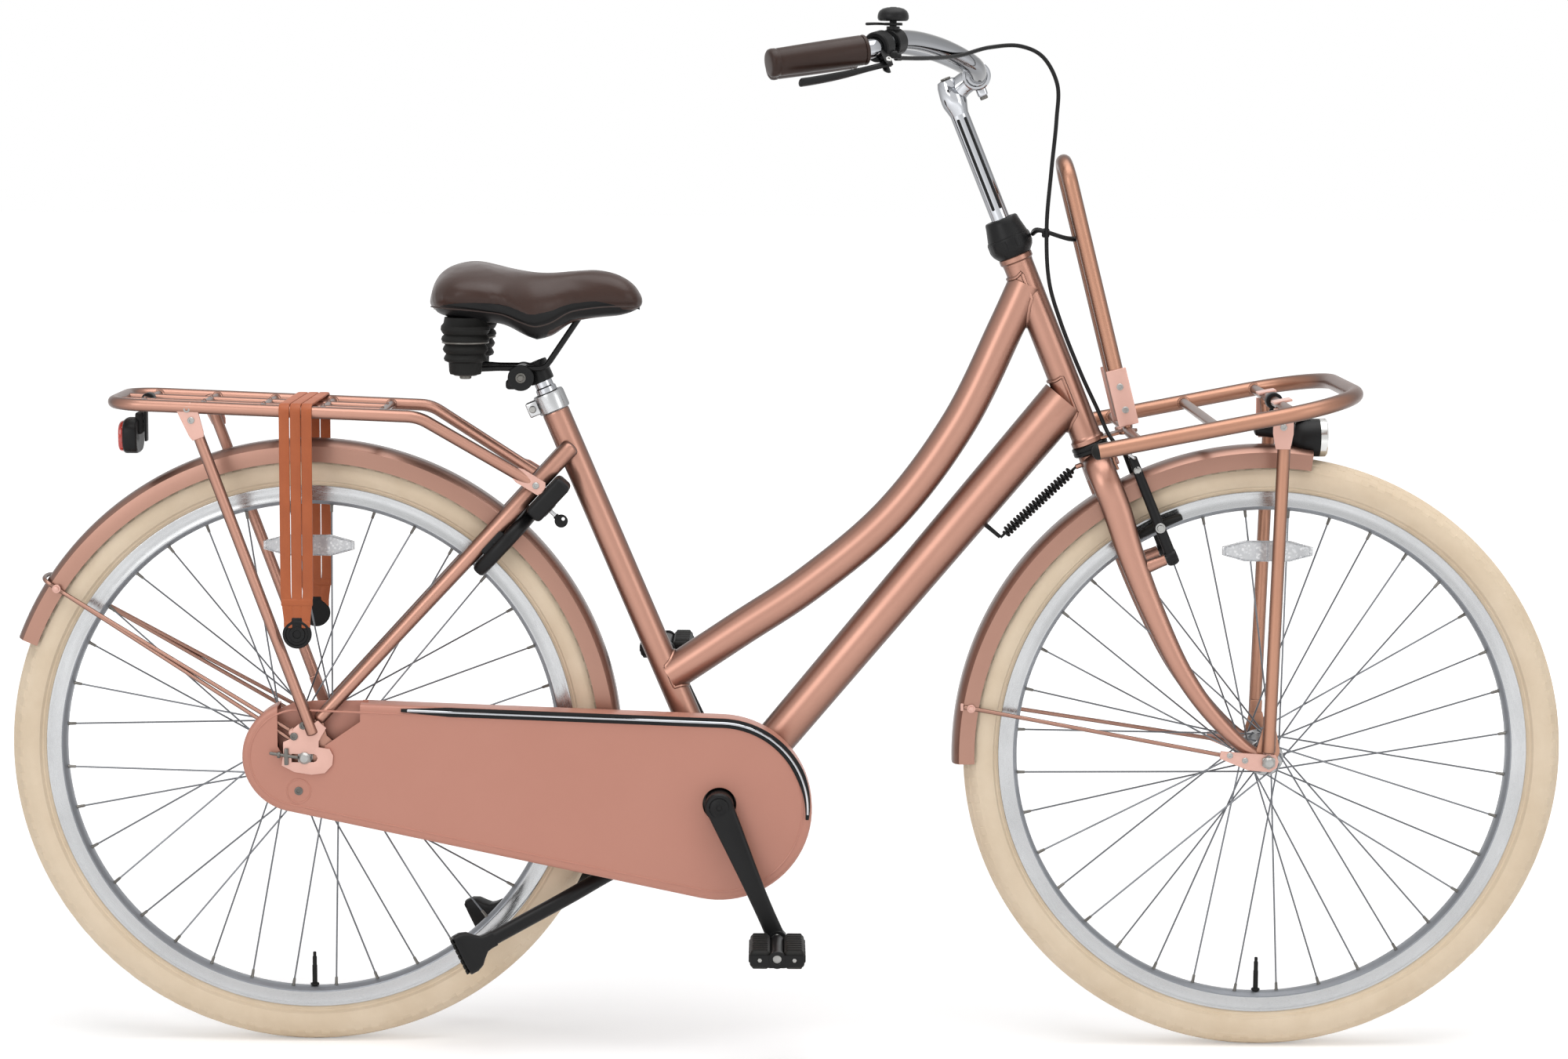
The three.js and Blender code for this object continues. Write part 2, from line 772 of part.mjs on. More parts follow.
function wheel(end, centre, flangeRadius, flangeOffset, hubRadius) {
  const group = new THREE.Group();
  group.position.copy(centre);
  bike.add(group);
  piece(`${end}_tyre`, ringBody(tyreSection()), creamRubber, group);
  piece(`${end}_rim`, rimWithValve(), alloy, group);
  piece(`${end}_hub`, hubShell(hubRadius, flangeOffset), alloy, group);
  sides.forEach((side) => {
    piece(`${end}_spokes_${sideName(side)}`, spokeSide(side, flangeRadius, flangeOffset), steel, group);
  });
  piece(`${end}_reflector`, reflectorBody(flangeRadius, flangeOffset), clearPlastic, group);
  return group;
}

// A clear bar that rests across the right spokes, clipped on their outer side.
function reflectorBody(flangeRadius, flangeOffset) {
  const innerReach = reflectorReach - reflectorHeight;
  const flangeFace = flangeOffset + flangeThickness / 2;
  const spokeLean = (flangeFace - spokeRimOffset) / (rimInnerReach - flangeRadius);
  const seat = spokeRimOffset + (rimInnerReach - innerReach) * spokeLean + spokeRadius + fit;
  const outline = reflectorShares.map(([x, z]) => [x * reflectorLength, z * reflectorHeight]);
  const body = tilted(plate(outline, reflectorThickness), reflectorTilt);
  return moved(body, 0, -seat - reflectorThickness / 2, reflectorReach - reflectorHeight / 2);
}

wheel('rear', rearAxle, rearFlangeRadius, rearFlangeOffset, rearHubRadius);
wheel('front', frontAxle, frontFlangeRadius, frontFlangeOffset, frontHubRadius);
piece('rear_axle', axle(rearAxleSpan, 0), steel).position.copy(rearAxle);
piece('front_axle', axle(frontAxleSpan, tabThickness + fit), steel).position.copy(frontAxle);

// Frame
const sleeve = (start, end, outer, inner, count = roundSides, depthAxis = up) => {
  const run = new THREE.Vector3().subVectors(end, start).normalize();
  const bore = [start.clone().addScaledVector(run, -overrun), end.clone().addScaledVector(run, overrun)];
  return cut(bar([start, end], outer, count, depthAxis), [bar(bore, inner, count, depthAxis)]);
};
const disc = (centre, radius, thickness, count = roundSides) => moved(
  turned([[radius, -thickness / 2], [radius, thickness / 2]], count),
  centre.x,
  centre.y,
  centre.z,
);

// Where the top tube meets the seat tube and the head tube
const topTubeFoot = bracket.clone().addScaledVector(seatDirection, seatTubeLength * topTubeFootShare);
const topTubeHead = onSteerer(0, 0, headTubeLength - topTubeHeadDrop);
const topTubeGuide = topTubeShares.map(([x, z]) => at(
  THREE.MathUtils.lerp(topTubeFoot.x, topTubeHead.x, x),
  0,
  THREE.MathUtils.lerp(topTubeFoot.z, topTubeHead.z, z),
));
const downTubeFoot = bracket.clone().add(at(downTubeBracketOffset, 0, 0));
const downTubeHead = onSteerer(0, 0, downTubeHeadRise);
const downTubeRun = new THREE.Vector3().subVectors(downTubeHead, downTubeFoot).normalize();
const downTubeTop = downTubeHead.clone().addScaledVector(downTubeRun, -headTubeRadius / 2);

const headTubeSolid = (extra) => bar([onSteerer(0, 0, 0), headTop], headTubeRadius + extra, roundSides, left);
const seatTubeSolid = (extra) => bar([bracket, seatTubeTop], seatTubeRadius + extra, roundSides, left);
const shellSolid = (extra) => moved(turned([
  [bracketShellRadius + extra, -bracketShellWidth / 2],
  [bracketShellRadius + extra, bracketShellWidth / 2],
]), bracket.x, bracket.y, bracket.z);

function headTube() {
  return sleeve(onSteerer(0, 0, 0), headTop, headTubeRadius, headTubeRadius - headTubeWall, roundSides, left);
}

function seatTube() {
  const boreEnd = seatTubeTop.clone().addScaledVector(seatDirection, overrun);
  const boreStart = seatTubeTop.clone().addScaledVector(seatDirection, -seatPostInsertion - seatPostTravelDown);
  const body = join([seatTubeSolid(0), shellSolid(0)]);
  const spindleBore = moved(turned([
    [spindleRadius + fit, -bracketShellWidth],
    [spindleRadius + fit, bracketShellWidth],
  ]), bracket.x, bracket.y, bracket.z);
  return cut(body, [bar([boreStart, boreEnd], seatPostRadius + fit, roundSides, left), spindleBore]);
}

function topTube() {
  const body = bar(smooth(topTubeGuide, 10), topTubeRadius, roundSides, left);
  return cut(body, [headTubeSolid(fit), seatTubeSolid(fit)]);
}

// The spring clip hangs below the tube where the steering spring hooks on.
const springLow = onSteerer(-springLowBehind, 0, -springLowDrop);
const springHigh = onSteerer(-crownRadius - springHookReach - springWireRadius * 0.4 - fit, 0, -springHookDrop);

function downTube() {
  const size = (share) => {
    const radius = THREE.MathUtils.lerp(downTubeBracketRadius, downTubeHeadRadius, share);
    return [radius, radius];
  };
  const body = bar([downTubeFoot, downTubeTop], size, roundSides, left);
  const foot = new THREE.Vector3().subVectors(springLow, downTubeFoot);
  const seat = downTubeFoot.clone().addScaledVector(downTubeRun, foot.dot(downTubeRun));
  const toSeat = new THREE.Vector3().subVectors(seat, springLow).normalize();
  const lugEnd = springLow.clone().addScaledVector(toSeat, springWireRadius + fit);
  const lug = bar([seat, lugEnd], springLugRadius, wireSides, left);
  return cut(join([body, lug]), [headTubeSolid(fit), seatTubeSolid(fit), shellSolid(fit)]);
}

// The plate that holds the rear axle, with a lobe forward for the chain stay and one up for the seat stay.
function rearDropout(side) {
  const outline = dropoutShares.map(([x, z]) => [x * dropoutRadius, z * dropoutRadius]);
  const hole = circleOutline(0, 0, axleRadius + fit, smallSides);
  const body = plate(outline, dropoutThickness, [hole]);
  const y = side * (rearAxleSpan / 2 + dropoutThickness / 2);
  return moved(body, rearAxle.x, y, rearAxle.z);
}

const stayTipY = rearAxleSpan / 2 + dropoutThickness / 2;
const chainStayRoute = (side) => {
  const tip = rearAxle.clone().add(at(dropoutRadius * 1.6, side * stayTipY, 0));
  const along = (share, y) => at(
    THREE.MathUtils.lerp(bracket.x, tip.x, share),
    side * y,
    THREE.MathUtils.lerp(bracket.z, tip.z, share),
  );
  return [
    along(0.03, chainStayInset),
    along(0.15, stayHalfSpanAtWheel - chainStayWidth),
    along(0.34, stayHalfSpanAtWheel - stayTipRadius / 2),
    along(0.62, stayHalfSpanAtWheel + chainStayWidth),
    along(0.85, stayTipY - dropoutThickness / 2),
    tip,
  ];
};

const chainStayBar = (side, extra) => bar(chainStayRoute(side), (share) => [
  THREE.MathUtils.lerp(chainStayRadius, stayTipRadius, share) + extra,
  chainStayWidth + extra,
], smallSides);

function chainStays() {
  const stays = sides.map((side) => chainStayBar(side, 0));
  const earX = standPivotX;
  const earTop = bracket.z + (bracket.x - earX) * ((tyreRadius - bracketHeight) / (wheelBase / 2 - bracketSetback));
  const ears = sides.map((side) => {
    const y = side * (standBarrelHalfWidth + fit + standPlateThickness / 2);
    return moved(plate([
      [-standPinRadius * 2, 0],
      [standPinRadius * 2, 0],
      [standPinRadius * 3, earTop - standPivotZ],
      [-standPinRadius * 3, earTop - standPivotZ],
    ], standPlateThickness), earX, y, standPivotZ);
  });
  const earEnd = standBarrelHalfWidth + fit + standPlateThickness / 2;
  const earDiscs = sides.map((side) => disc(
    at(earX, side * earEnd, standPivotZ),
    standPinRadius * 2,
    standPlateThickness,
  ));
  const pin = bar([at(earX, -earEnd, standPivotZ), at(earX, earEnd, standPivotZ)], standPinRadius, 10);
  const bridge = moved(block(standPlateLength, stayHalfSpanAtWheel * 1.4, standPlateThickness), earX, 0, earTop);
  const body = join([...stays, ...ears, ...earDiscs, pin, bridge, rearDropout(-1), rearDropout(1)]);
  const axleBore = bar([
    rearAxle.clone().setY(-stayTipY * 2),
    rearAxle.clone().setY(stayTipY * 2),
  ], axleRadius + fit, smallSides);
  return cut(body, [shellSolid(fit), axleBore]);
}

const seatStayRoute = (side) => {
  const top = seatTubeTop.clone().addScaledVector(seatDirection, -seatStayTopDrop);
  const tip = rearAxle.clone().add(at(dropoutRadius * 1.1, 0, dropoutRadius * 2.9));
  const along = (share, y) => at(
    THREE.MathUtils.lerp(top.x, tip.x, share),
    side * y,
    THREE.MathUtils.lerp(top.z, tip.z, share),
  );
  return [
    along(0, seatStayTopOffset),
    along(0.24, stayHalfSpanAtWheel + 1.5 * fit),
    along(0.5, stayHalfSpanAtWheel + stayTipRadius / 2),
    along(1, stayTipY),
  ];
};
// The angle, seen from the rear axle, at which the seat stays are that far from it
const seatStayAngle = (reach) => {
  const [top, , , tip] = seatStayRoute(1).map((point) => point.clone().sub(rearAxle).setY(0));
  const line = top.clone().sub(tip);
  const run = tip.dot(line) / line.lengthSq();
  const room = (tip.lengthSq() - reach * reach) / line.lengthSq();
  const place = tip.clone().addScaledVector(line, Math.sqrt(run * run - room) - run);
  return Math.atan2(place.z, place.x);
};
const onSeatStay = (side, share, outward) => {
  const [top, knee] = seatStayRoute(side);
  const kneeShare = 0.24;
  return top.clone().lerp(knee, share / kneeShare).add(at(0, side * outward, 0));
};
const seatStayBar = (side, extra) => bar(seatStayRoute(side), (share) => [
  THREE.MathUtils.lerp(seatStayRadius, stayTipRadius, share) + extra,
  THREE.MathUtils.lerp(seatStayRadius, stayTipRadius, share) + extra,
], 12);

function seatStays() {
  const bridgeAt = seatStayRoute(1)[1];
  const bridge = bar([
    at(bridgeAt.x, -bridgeAt.y, bridgeAt.z),
    at(bridgeAt.x, bridgeAt.y, bridgeAt.z),
  ], stayTipRadius, smallSides);
  const bridgeUp = at(stayTipRadius * 2, 0, stayTipRadius * 2);
  const body = join([
    seatStayBar(-1, 0),
    seatStayBar(1, 0),
    moved(bridge, bridgeUp.x, bridgeUp.y, bridgeUp.z),
  ]);
  return cut(body, [seatTubeSolid(fit), ...sides.map((side) => dropoutClearance(side))]);
}

// The room that a seat stay leaves for the dropout plate that it stands on.
function dropoutClearance(side) {
  const outline = dropoutShares.map(([x, z]) => [x * dropoutRadius, z * dropoutRadius + Math.sign(z) * fit]);
  const body = plate(outline, dropoutThickness * 4);
  return moved(body, rearAxle.x, side * stayTipY, rearAxle.z);
}

piece('head_tube', headTube(), paint);
piece('seat_tube', seatTube(), paint);
piece('top_tube', topTube(), paint);
piece('down_tube', downTube(), paint);
piece('chain_stays', chainStays(), paint);
piece('seat_stays', seatStays(), paint);

// Headset, fork and stem
const headsetTop = headTubeLength + fit + headsetCoverHeight;

function headsetCover() {
  const stations = [
    [headsetCoverTopRadius, fit],
    [headsetCoverRadius, headsetCoverHeight * 0.2],
    [headsetCoverRadius, headsetCoverHeight * 0.5],
    [headsetCoverTopRadius, headsetCoverHeight],
  ];
  const rings = stations.map(([radius, along]) => ringOf(roundSides, (turn) => onSteerer(
    radius * Math.cos(turn),
    radius * Math.sin(turn),
    headTubeLength + along,
  )));
  const bore = bar([onSteerer(0, 0, headTubeLength - overrun), onSteerer(0, 0, headsetTop + overrun)], steererRadius
    + fit, roundSides, left);
  return cut(loft(rings), [bore]);
}

function fork() {
  const steerer = bar([onSteerer(0, 0, -headsetRingHeight), onSteerer(0, 0, headsetTop - fit)], steererRadius,
    roundSides, left);
  const ring = bar([onSteerer(0, 0, -headsetRingHeight - fit), onSteerer(0, 0, -fit)], headsetRingRadius,
    roundSides, left);
  const crown = bar([
    onSteerer(0, 0, -headsetRingHeight),
    onSteerer(0, 0, -headsetRingHeight - crownHeight),
  ], crownRadius, roundSides, left);
  const legs = sides.map((side) => {
    const guide = forkLegShares.map(([forward, out, down]) => onSteerer(
      forward * forkRake,
      side * out * forkLegTipOffset,
      -down * forkLength,
    ));
    return bar(smooth(guide, 9), (share) => [
      THREE.MathUtils.lerp(forkLegDepth, forkTipRadius, Math.max(share * 1.25 - 0.25, 0)),
      THREE.MathUtils.lerp(forkLegWidth, forkTipRadius, share),
    ], 10, steerForward);
  });
  const dropouts = sides.map((side) => disc(
    frontAxle.clone().setY(side * forkDropoutY),
    frontDropoutRadius,
    dropoutThickness,
    12,
  ));
  const bosses = sides.flatMap((side) => {
    const stud = (from, to, radius) => bar([
      onSteerer(from, side * brakeBossOffset, -brakeBossDrop),
      onSteerer(to, side * brakeBossOffset, -brakeBossDrop),
    ], radius, smallSides, left);
    return [stud(0, brakeBossReach, brakeBossRadius), stud(0, brakeStudReach, brakeStudRadius)];
  });
  const hook = bar([
    onSteerer(0, 0, -springHookDrop),
    onSteerer(-crownRadius - springHookReach, 0, -springHookDrop),
  ], springLugRadius, wireSides, left);
  const body = join([steerer, ring, crown, ...legs, ...dropouts, ...bosses, hook]);
  const quillBore = bar([
    onSteerer(0, 0, headsetTop - quillDepth - headsetCoverHeight),
    onSteerer(0, 0, headsetTop + overrun),
  ], steererBoreRadius, roundSides, left);
  const innerFace = frontAxleSpan / 2;
  const hubRoom = moved(turned([
    [frontDropoutRadius * 2, -innerFace],
    [frontDropoutRadius * 2, innerFace],
  ]), frontAxle.x, 0, frontAxle.z);
  const outerRoom = sides.map((side) => disc(
    frontAxle.clone().setY(side * (innerFace + dropoutThickness + frontDropoutRadius)),
    frontDropoutRadius * 1.1,
    frontDropoutRadius * 2,
  ));
  const axleBore = bar([
    frontAxle.clone().setY(-frontAxleSpan),
    frontAxle.clone().setY(frontAxleSpan),
  ], axleRadius + fit, smallSides);
  return cut(body, [quillBore, hubRoom, ...outerRoom, axleBore]);
}

const forkDropoutY = frontAxleSpan / 2 + dropoutThickness / 2;
const clampCentre = onSteerer(stemReach, 0, stemHeight + stemClampRise);

function stem() {
  const quill = bar([
    onSteerer(0, 0, headsetTop - quillDepth),
    onSteerer(0, 0, stemHeight),
  ], quillRadius, roundSides, left);
  const head = bar([
    onSteerer(0, 0, stemHeight - stemHeadRadius),
    onSteerer(0, 0, stemHeight + stemHeadRadius),
  ], (share) => {
    const radius = stemHeadRadius * (1 - share / 4);
    return [radius, radius];
  }, roundSides, left);
  const neck = bar([onSteerer(0, 0, stemHeight), clampCentre], stemHeadRadius * 0.9, 10, left);
  const clamp = moved(
    turned([[stemClampRadius, -stemClampWidth / 2], [stemClampRadius, stemClampWidth / 2]]),
    clampCentre.x,
    clampCentre.y,
    clampCentre.z,
  );
  const bolt = bar([
    onSteerer(stemReach, 0, stemHeight - stemClampRadius * 1.6),
    onSteerer(stemReach, 0, stemHeight),
  ], quillRadius / 2, smallSides, left);
  const bore = moved(turned([
    [barClampRadius + fit, -stemClampWidth],
    [barClampRadius + fit, stemClampWidth],
  ]), clampCentre.x, clampCentre.y, clampCentre.z);
  return cut(join([quill, head, neck, clamp, bolt]), [bore]);
}

// Handlebar, from the clamp out and back to the grips
const barPoint = (side, [x, y, z]) => clampCentre.clone().add(at(x * gripBack, side * y * gripHalfSpan, z * barRise));
const barHalf = (side) => barShares.map((share) => barPoint(side, share));
const gripStart = (side) => barPoint(side, barShares[barShares.length - 2]);
const gripEnd = (side) => barPoint(side, barShares[barShares.length - 1]);
const gripRun = (side) => new THREE.Vector3().subVectors(gripEnd(side), gripStart(side)).normalize();

function barSolid(extra) {
  const half = (side) => {
    const bend = smooth(barHalf(side).slice(0, -1), 9);
    return [...bend, gripEnd(side).clone().addScaledVector(gripRun(side), -gripCap)];
  };
  return bar([...half(-1).reverse(), ...half(1).slice(1)], barRadius + extra, barSides);
}

function handlebar() {
  const sleeveAtClamp = moved(
    turned([[barClampRadius, -stemClampWidth / 2 - fit], [barClampRadius, stemClampWidth / 2 + fit]]),
    clampCentre.x,
    clampCentre.y,
    clampCentre.z,
  );
  return join([barSolid(0), sleeveAtClamp]);
}

function grip(side) {
  const run = gripRun(side);
  const start = gripStart(side).addScaledVector(run, gripSetback);
  const outside = bar([start, gripEnd(side)], (share) => {
    const radius = gripRadius * (1 - gripTaperShare * share);
    return [radius, radius];
  }, roundSides);
  const hole = bar([
    start.clone().addScaledVector(run, -overrun),
    gripEnd(side).clone().addScaledVector(run, fit - gripCap),
  ], barRadius + fit, barSides);
  return cut(outside, [hole]);
}

// Places along the bar just ahead of the right grip
const onBar = (side, ahead) => {
  const shoulder = barPoint(side, barShares[barShares.length - 3]);
  const run = new THREE.Vector3().subVectors(shoulder, gripStart(side)).normalize();
  return { point: gripStart(side).addScaledVector(run, ahead), run };
};
const ringAround = ({ point, run }, radius, width) => bar([
  point.clone().addScaledVector(run, -width / 2),
  point.clone().addScaledVector(run, width / 2),
], radius, 12);

// The brake lever hangs below and outside the right grip.
const leverSide = -1;
const leverOut = (() => {
  const run = gripRun(leverSide);
  const aim = at(0, leverSide * leverOutShare, leverOutShare - leverDownShare);
  return aim.addScaledVector(run, -aim.dot(run)).normalize();
})();
const leverPivot = onBar(leverSide, leverClampAhead).point.addScaledVector(leverOut, leverPivotDrop);
const leverAxis = new THREE.Vector3().crossVectors(gripRun(leverSide), leverOut).normalize();

function leverBracket() {
  const place = onBar(leverSide, leverClampAhead);
  const half = leverAxis.clone().multiplyScalar(leverClampWidth / 2);
  const pivotPin = bar([leverPivot.clone().add(half), leverPivot.clone().sub(half)], leverPinRadius, smallSides,
    gripRun(leverSide));
  const cheek = (sign) => {
    const offset = leverAxis.clone().multiplyScalar((sign * (leverClampWidth - leverPinRadius)) / 2);
    return bar([place.point.clone().add(offset), leverPivot.clone().add(offset)
      .addScaledVector(leverOut, leverPinRadius * 2)], () => [leverThickness * 0.75, leverPinRadius / 2], 4, place.run);
  };
  const clamp = ringAround(place, gripRadius, leverClampWidth);
  return cut(join([clamp, cheek(-1), cheek(1), pivotPin]), [barSolid(fit)]);
}

function brakeLever() {
  const run = gripRun(leverSide);
  const tip = gripStart(leverSide).addScaledVector(run, leverLength).addScaledVector(leverOut, leverOffset);
  const middle = leverPivot.clone().lerp(tip, 0.5).addScaledVector(leverOut, leverThickness / 4);
  const start = leverPivot.clone().addScaledVector(run, -leverThickness / 2);
  const blade = bar([start, leverPivot, middle, tip], (share) => [
    leverThickness / 2,
    THREE.MathUtils.lerp(leverThickness * 0.35, leverThickness * 0.8, share),
  ], 6, leverOut);
  const reach = leverAxis.clone().multiplyScalar(leverClampWidth);
  const hole = bar([leverPivot.clone().add(reach), leverPivot.clone().sub(reach)], leverPinRadius + fit,
    smallSides, run);
  return cut(blade, [hole]);
}

// The bell sits on the bar ahead of the lever.
const bellPlace = onBar(leverSide, bellAhead);
const bellSeat = bellPlace.point.clone().add(at(0, 0, gripRadius));

function bell() {
  const clamp = ringAround(bellPlace, gripRadius * 0.9, bellHeight * 0.8);
  const dome = bellShares.map(([radius, height]) => ringOf(roundSides, (turn) => at(
    bellSeat.x + radius * bellRadius * Math.cos(turn),
    bellSeat.y + radius * bellRadius * Math.sin(turn),
    bellSeat.z + height * bellHeight,
  )));
  return cut(join([clamp, loft(dome)]), [barSolid(fit)]);
}

function bellLever() {
  const height = bellSeat.z + bellHeight * bellGapShare;
  const post = bar([
    at(bellSeat.x, bellSeat.y, height - leverPinRadius / 2),
    at(bellSeat.x, bellSeat.y, height + leverPinRadius / 2),
  ], bellRadius * 0.7, 10, left);
  const arm = bar([
    at(bellSeat.x, bellSeat.y, height),
    at(bellSeat.x - bellLeverLength, bellSeat.y, height),
  ], () => [leverPinRadius / 2, leverThickness / 2], 4);
  const hole = bar([
    at(bellSeat.x, bellSeat.y, bellSeat.z),
    at(bellSeat.x, bellSeat.y, bellSeat.z + bellHeight),
  ], bellRadius * bellShares[2][0] + fit, roundSides, left);
  return cut(join([post, arm]), [hole]);
}

// Rim brake arms on the studs of the fork
function brakeArm(side) {
  const forward = (brakeBossReach + fit + brakeStudReach) / 2;
  const half = (brakeStudReach - brakeBossReach) / 2 - fit;
  const armPoint = (rise, y) => onSteerer(forward, side * y, rise - brakeBossDrop);
  const arm = bar([
    armPoint(-brakeArmWidth * 0.8, brakeBossOffset),
    armPoint(brakePadRise, brakeBossOffset),
    armPoint(brakeArmLength, brakeBossOffset - brakeArmThickness / 2),
  ], () => [half, brakeArmThickness * 0.7], 6, steerForward);
  const padTop = tyreBeadHalfWidth + rimWall + brakePadGap;
  const padY = (padTop + brakeBossOffset - brakeArmThickness) / 2;
  const padHalf = brakeBossOffset - brakeArmThickness - padTop;
  const reach = armPoint(brakePadRise, padY);
  const outward = new THREE.Vector3().subVectors(reach, frontAxle).setY(0).normalize();
  const along = new THREE.Vector3().crossVectors(outward, left);
  const pad = bar([
    reach.clone().addScaledVector(along, brakePadLength / 2),
    reach.clone().addScaledVector(along, -brakePadLength / 2),
  ], () => [brakePadHeight / 2, padHalf / 2], 4, outward);
  const padStud = bar([reach, armPoint(brakePadRise, brakeBossOffset + brakeArmThickness * 1.4)], brakeStudRadius,
    smallSides);
  const hole = bar([
    onSteerer(brakeBossReach - overrun, side * brakeBossOffset, -brakeBossDrop),
    onSteerer(brakeStudReach + overrun, side * brakeBossOffset, -brakeBossDrop),
  ], brakeStudRadius + fit, smallSides, left);
  return cut(join([arm, pad, padStud]), [hole]);
}

// The brake cable runs from the lever along the bar, down in front of the head tube and into the brake.
function brakeCable() {
  const place = onBar(leverSide, leverClampAhead + leverClampWidth / 2 + cableRadius * 2);
  const outward = leverOut.clone().addScaledVector(place.run, -leverOut.dot(place.run)).normalize();
  const start = place.point.addScaledVector(outward, gripRadius + cableRadius + fit);
  const stops = cableRoute.map(([forward, side, share]) => onSteerer(forward, side, share * stemHeight));
  const route = [start, ...stops];
  return bar(smooth(route, cableSteps), cableRadius, wireSides, left);
}

piece('headset_cover', headsetCover(), black);
piece('fork', fork(), paint);
piece('stem', stem(), chrome);
piece('handlebar', handlebar(), alloy);
sides.forEach((side) => piece(`grip_${sideName(side)}`, grip(side), leather));
piece('brake_lever_bracket', leverBracket(), black);
piece('brake_lever', brakeLever(), black);
piece('bell', bell(), black);
piece('bell_lever', bellLever(), black);
sides.forEach((side) => piece(`brake_arm_${sideName(side)}`, brakeArm(side), black));
piece('brake_cable', brakeCable(), black);

// Seat post and saddle
const onSeatTube = (forward, side, along) => bracket.clone()
  .addScaledVector(seatDirection, along)
  .add(at(forward * Math.cos(seatTubeLean), side, forward * Math.sin(seatTubeLean)));
const postTop = seatTubeLength + seatPostExposed;
const saddleTopHeight = onSeatTube(0, 0, postTop).z + saddleLift + saddleDepth;
const saddleBackX = seatTubeTop.x - saddleSetback;

function seatPost() {
  return join([
    bar([
      onSeatTube(0, 0, seatTubeLength - seatPostInsertion),
      onSeatTube(0, 0, seatTubeLength + seatPostExposed / 2),
    ], seatPostRadius, roundSides, left),
    bar([
      onSeatTube(0, 0, seatTubeLength),
      onSeatTube(0, 0, postTop),
    ], seatPostNeckRadius, roundSides, left),
  ]);
}

function seatClamp() {
  const band = bar([
    onSeatTube(0, 0, seatTubeLength + fit),
    onSeatTube(0, 0, seatTubeLength + fit + seatClampHeight),
  ], seatClampRadius, roundSides, left);
  const lugAt = onSeatTube(-seatClampRadius, 0, seatTubeLength + fit + seatClampHeight / 2);
  const lug = moved(tilted(
    block(seatClampRadius, seatClampRadius, seatClampHeight * 0.8),
    -seatTubeLean,
  ), lugAt.x, lugAt.y, lugAt.z);
  const boltAt = onSeatTube(-seatClampRadius * 1.2, 0, seatTubeLength + fit + seatClampHeight / 2);
  const bolt = bar([
    boltAt.clone().setY(-seatClampRadius * 0.8),
    boltAt.clone().setY(seatClampRadius * 0.8),
  ], seatClampRadius / 5, smallSides);
  const bore = bar([
    onSeatTube(0, 0, seatTubeLength - overrun),
    onSeatTube(0, 0, postTop),
  ], seatPostRadius + fit, roundSides, left);
  return cut(join([band, lug, bolt]), [bore]);
}

// The saddle from back to nose: place, half width, top and lower edge at each station.
function saddleBody() {
  const rings = saddleShares.map(([x, width, top, low]) => {
    const topZ = saddleTopHeight - (1 - top) * saddleDepth;
    const lowZ = saddleTopHeight - (1 - low) * saddleDepth;
    const edgeZ = lowZ + (topZ - lowZ) * saddleEdgeShare;
    const half = (width * saddleWidth) / 2;
    return ringOf(saddleSides, (turn) => {
      const side = Math.cos(turn);
      const height = Math.sin(turn);
      const spread = Math.sign(side) * Math.abs(side) ** (height > 0 ? 1 : 0.35);
      const drawnIn = height > 0 ? 1 : 1 - saddleDrawShare * Math.abs(height);
      const z = height > 0 ? edgeZ + (topZ - edgeZ) * height ** 0.8 : edgeZ + (edgeZ - lowZ) * height;
      return at(saddleBackX + x * saddleLength, spread * half * drawnIn, z);
    });
  });
  return loft(rings);
}

// The rails, the two ribbed rubber springs and the clamp under the saddle
function saddleFrame() {
  const clampAt = onSeatTube(-saddleClampBack, 0, postTop - saddleClampRadius / 2);
  const clamp = moved(turned([
    [saddleClampRadius, -railHalfSpan - railRadius * 2],
    [saddleClampRadius, railHalfSpan + railRadius * 2],
  ]), clampAt.x, clampAt.y, clampAt.z);
  const collar = bar([
    onSeatTube(0, 0, postTop - saddleClampRadius * 1.6),
    onSeatTube(0, 0, postTop + railRadius),
  ], seatPostNeckRadius + railRadius, roundSides, left);
  const noseX = saddleBackX + saddleLength * railNoseShare;
  const springX = saddleBackX + saddleLength * railSpringShare;
  const railZ = clampAt.z + saddleClampRadius * 0.8;
  const noseZ = saddleTopHeight - saddleDepth / 2;
  const rails = sides.map((side) => bar(bent([
    at(noseX, side * railNoseHalfSpan, noseZ),
    at(clampAt.x + saddleClampRadius * 2, side * railHalfSpan, railZ),
    at(clampAt.x - saddleClampRadius * 2, side * railHalfSpan, railZ),
    at(springX, side * elastomerHalfSpan, railZ),
  ], railBendRadius, 2), railRadius, wireSides));
  const springs = sides.map((side) => {
    const rings = elastomerShares.map(([radius, height]) => ringOf(10, (turn) => at(
      springX + radius * elastomerRadius * Math.cos(turn),
      side * elastomerHalfSpan + radius * elastomerRadius * Math.sin(turn),
      railZ + (height - elastomerSinkShare) * elastomerHeight,
    )));
    return loft(rings);
  });
  const body = join([clamp, collar, ...rails, ...springs]);
  const postRoom = bar([
    onSeatTube(0, 0, seatTubeLength),
    onSeatTube(0, 0, postTop + fit),
  ], seatPostNeckRadius + fit, roundSides, left);
  const saddle = saddleBody();
  return cut(body, [postRoom, saddle, moved(saddle, 0, 0, -fit)]);
}

piece('seat_post', seatPost(), chrome);
piece('seat_clamp', seatClamp(), alloy);
piece('saddle_cover', saddleBody(), leather);
piece('saddle_frame', saddleFrame(), black);

// Mudguards
function arcBody(centre, section, from, to, steps) {
  const rings = Array.from({ length: steps + 1 }, (_, i) => {
    const turn = THREE.MathUtils.lerp(from, to, i / steps);
    return section.map(([radius, y]) => at(
      centre.x + radius * Math.cos(turn),
      y,
      centre.z + radius * Math.sin(turn),
    ));
  });
  return loft(rings);
}

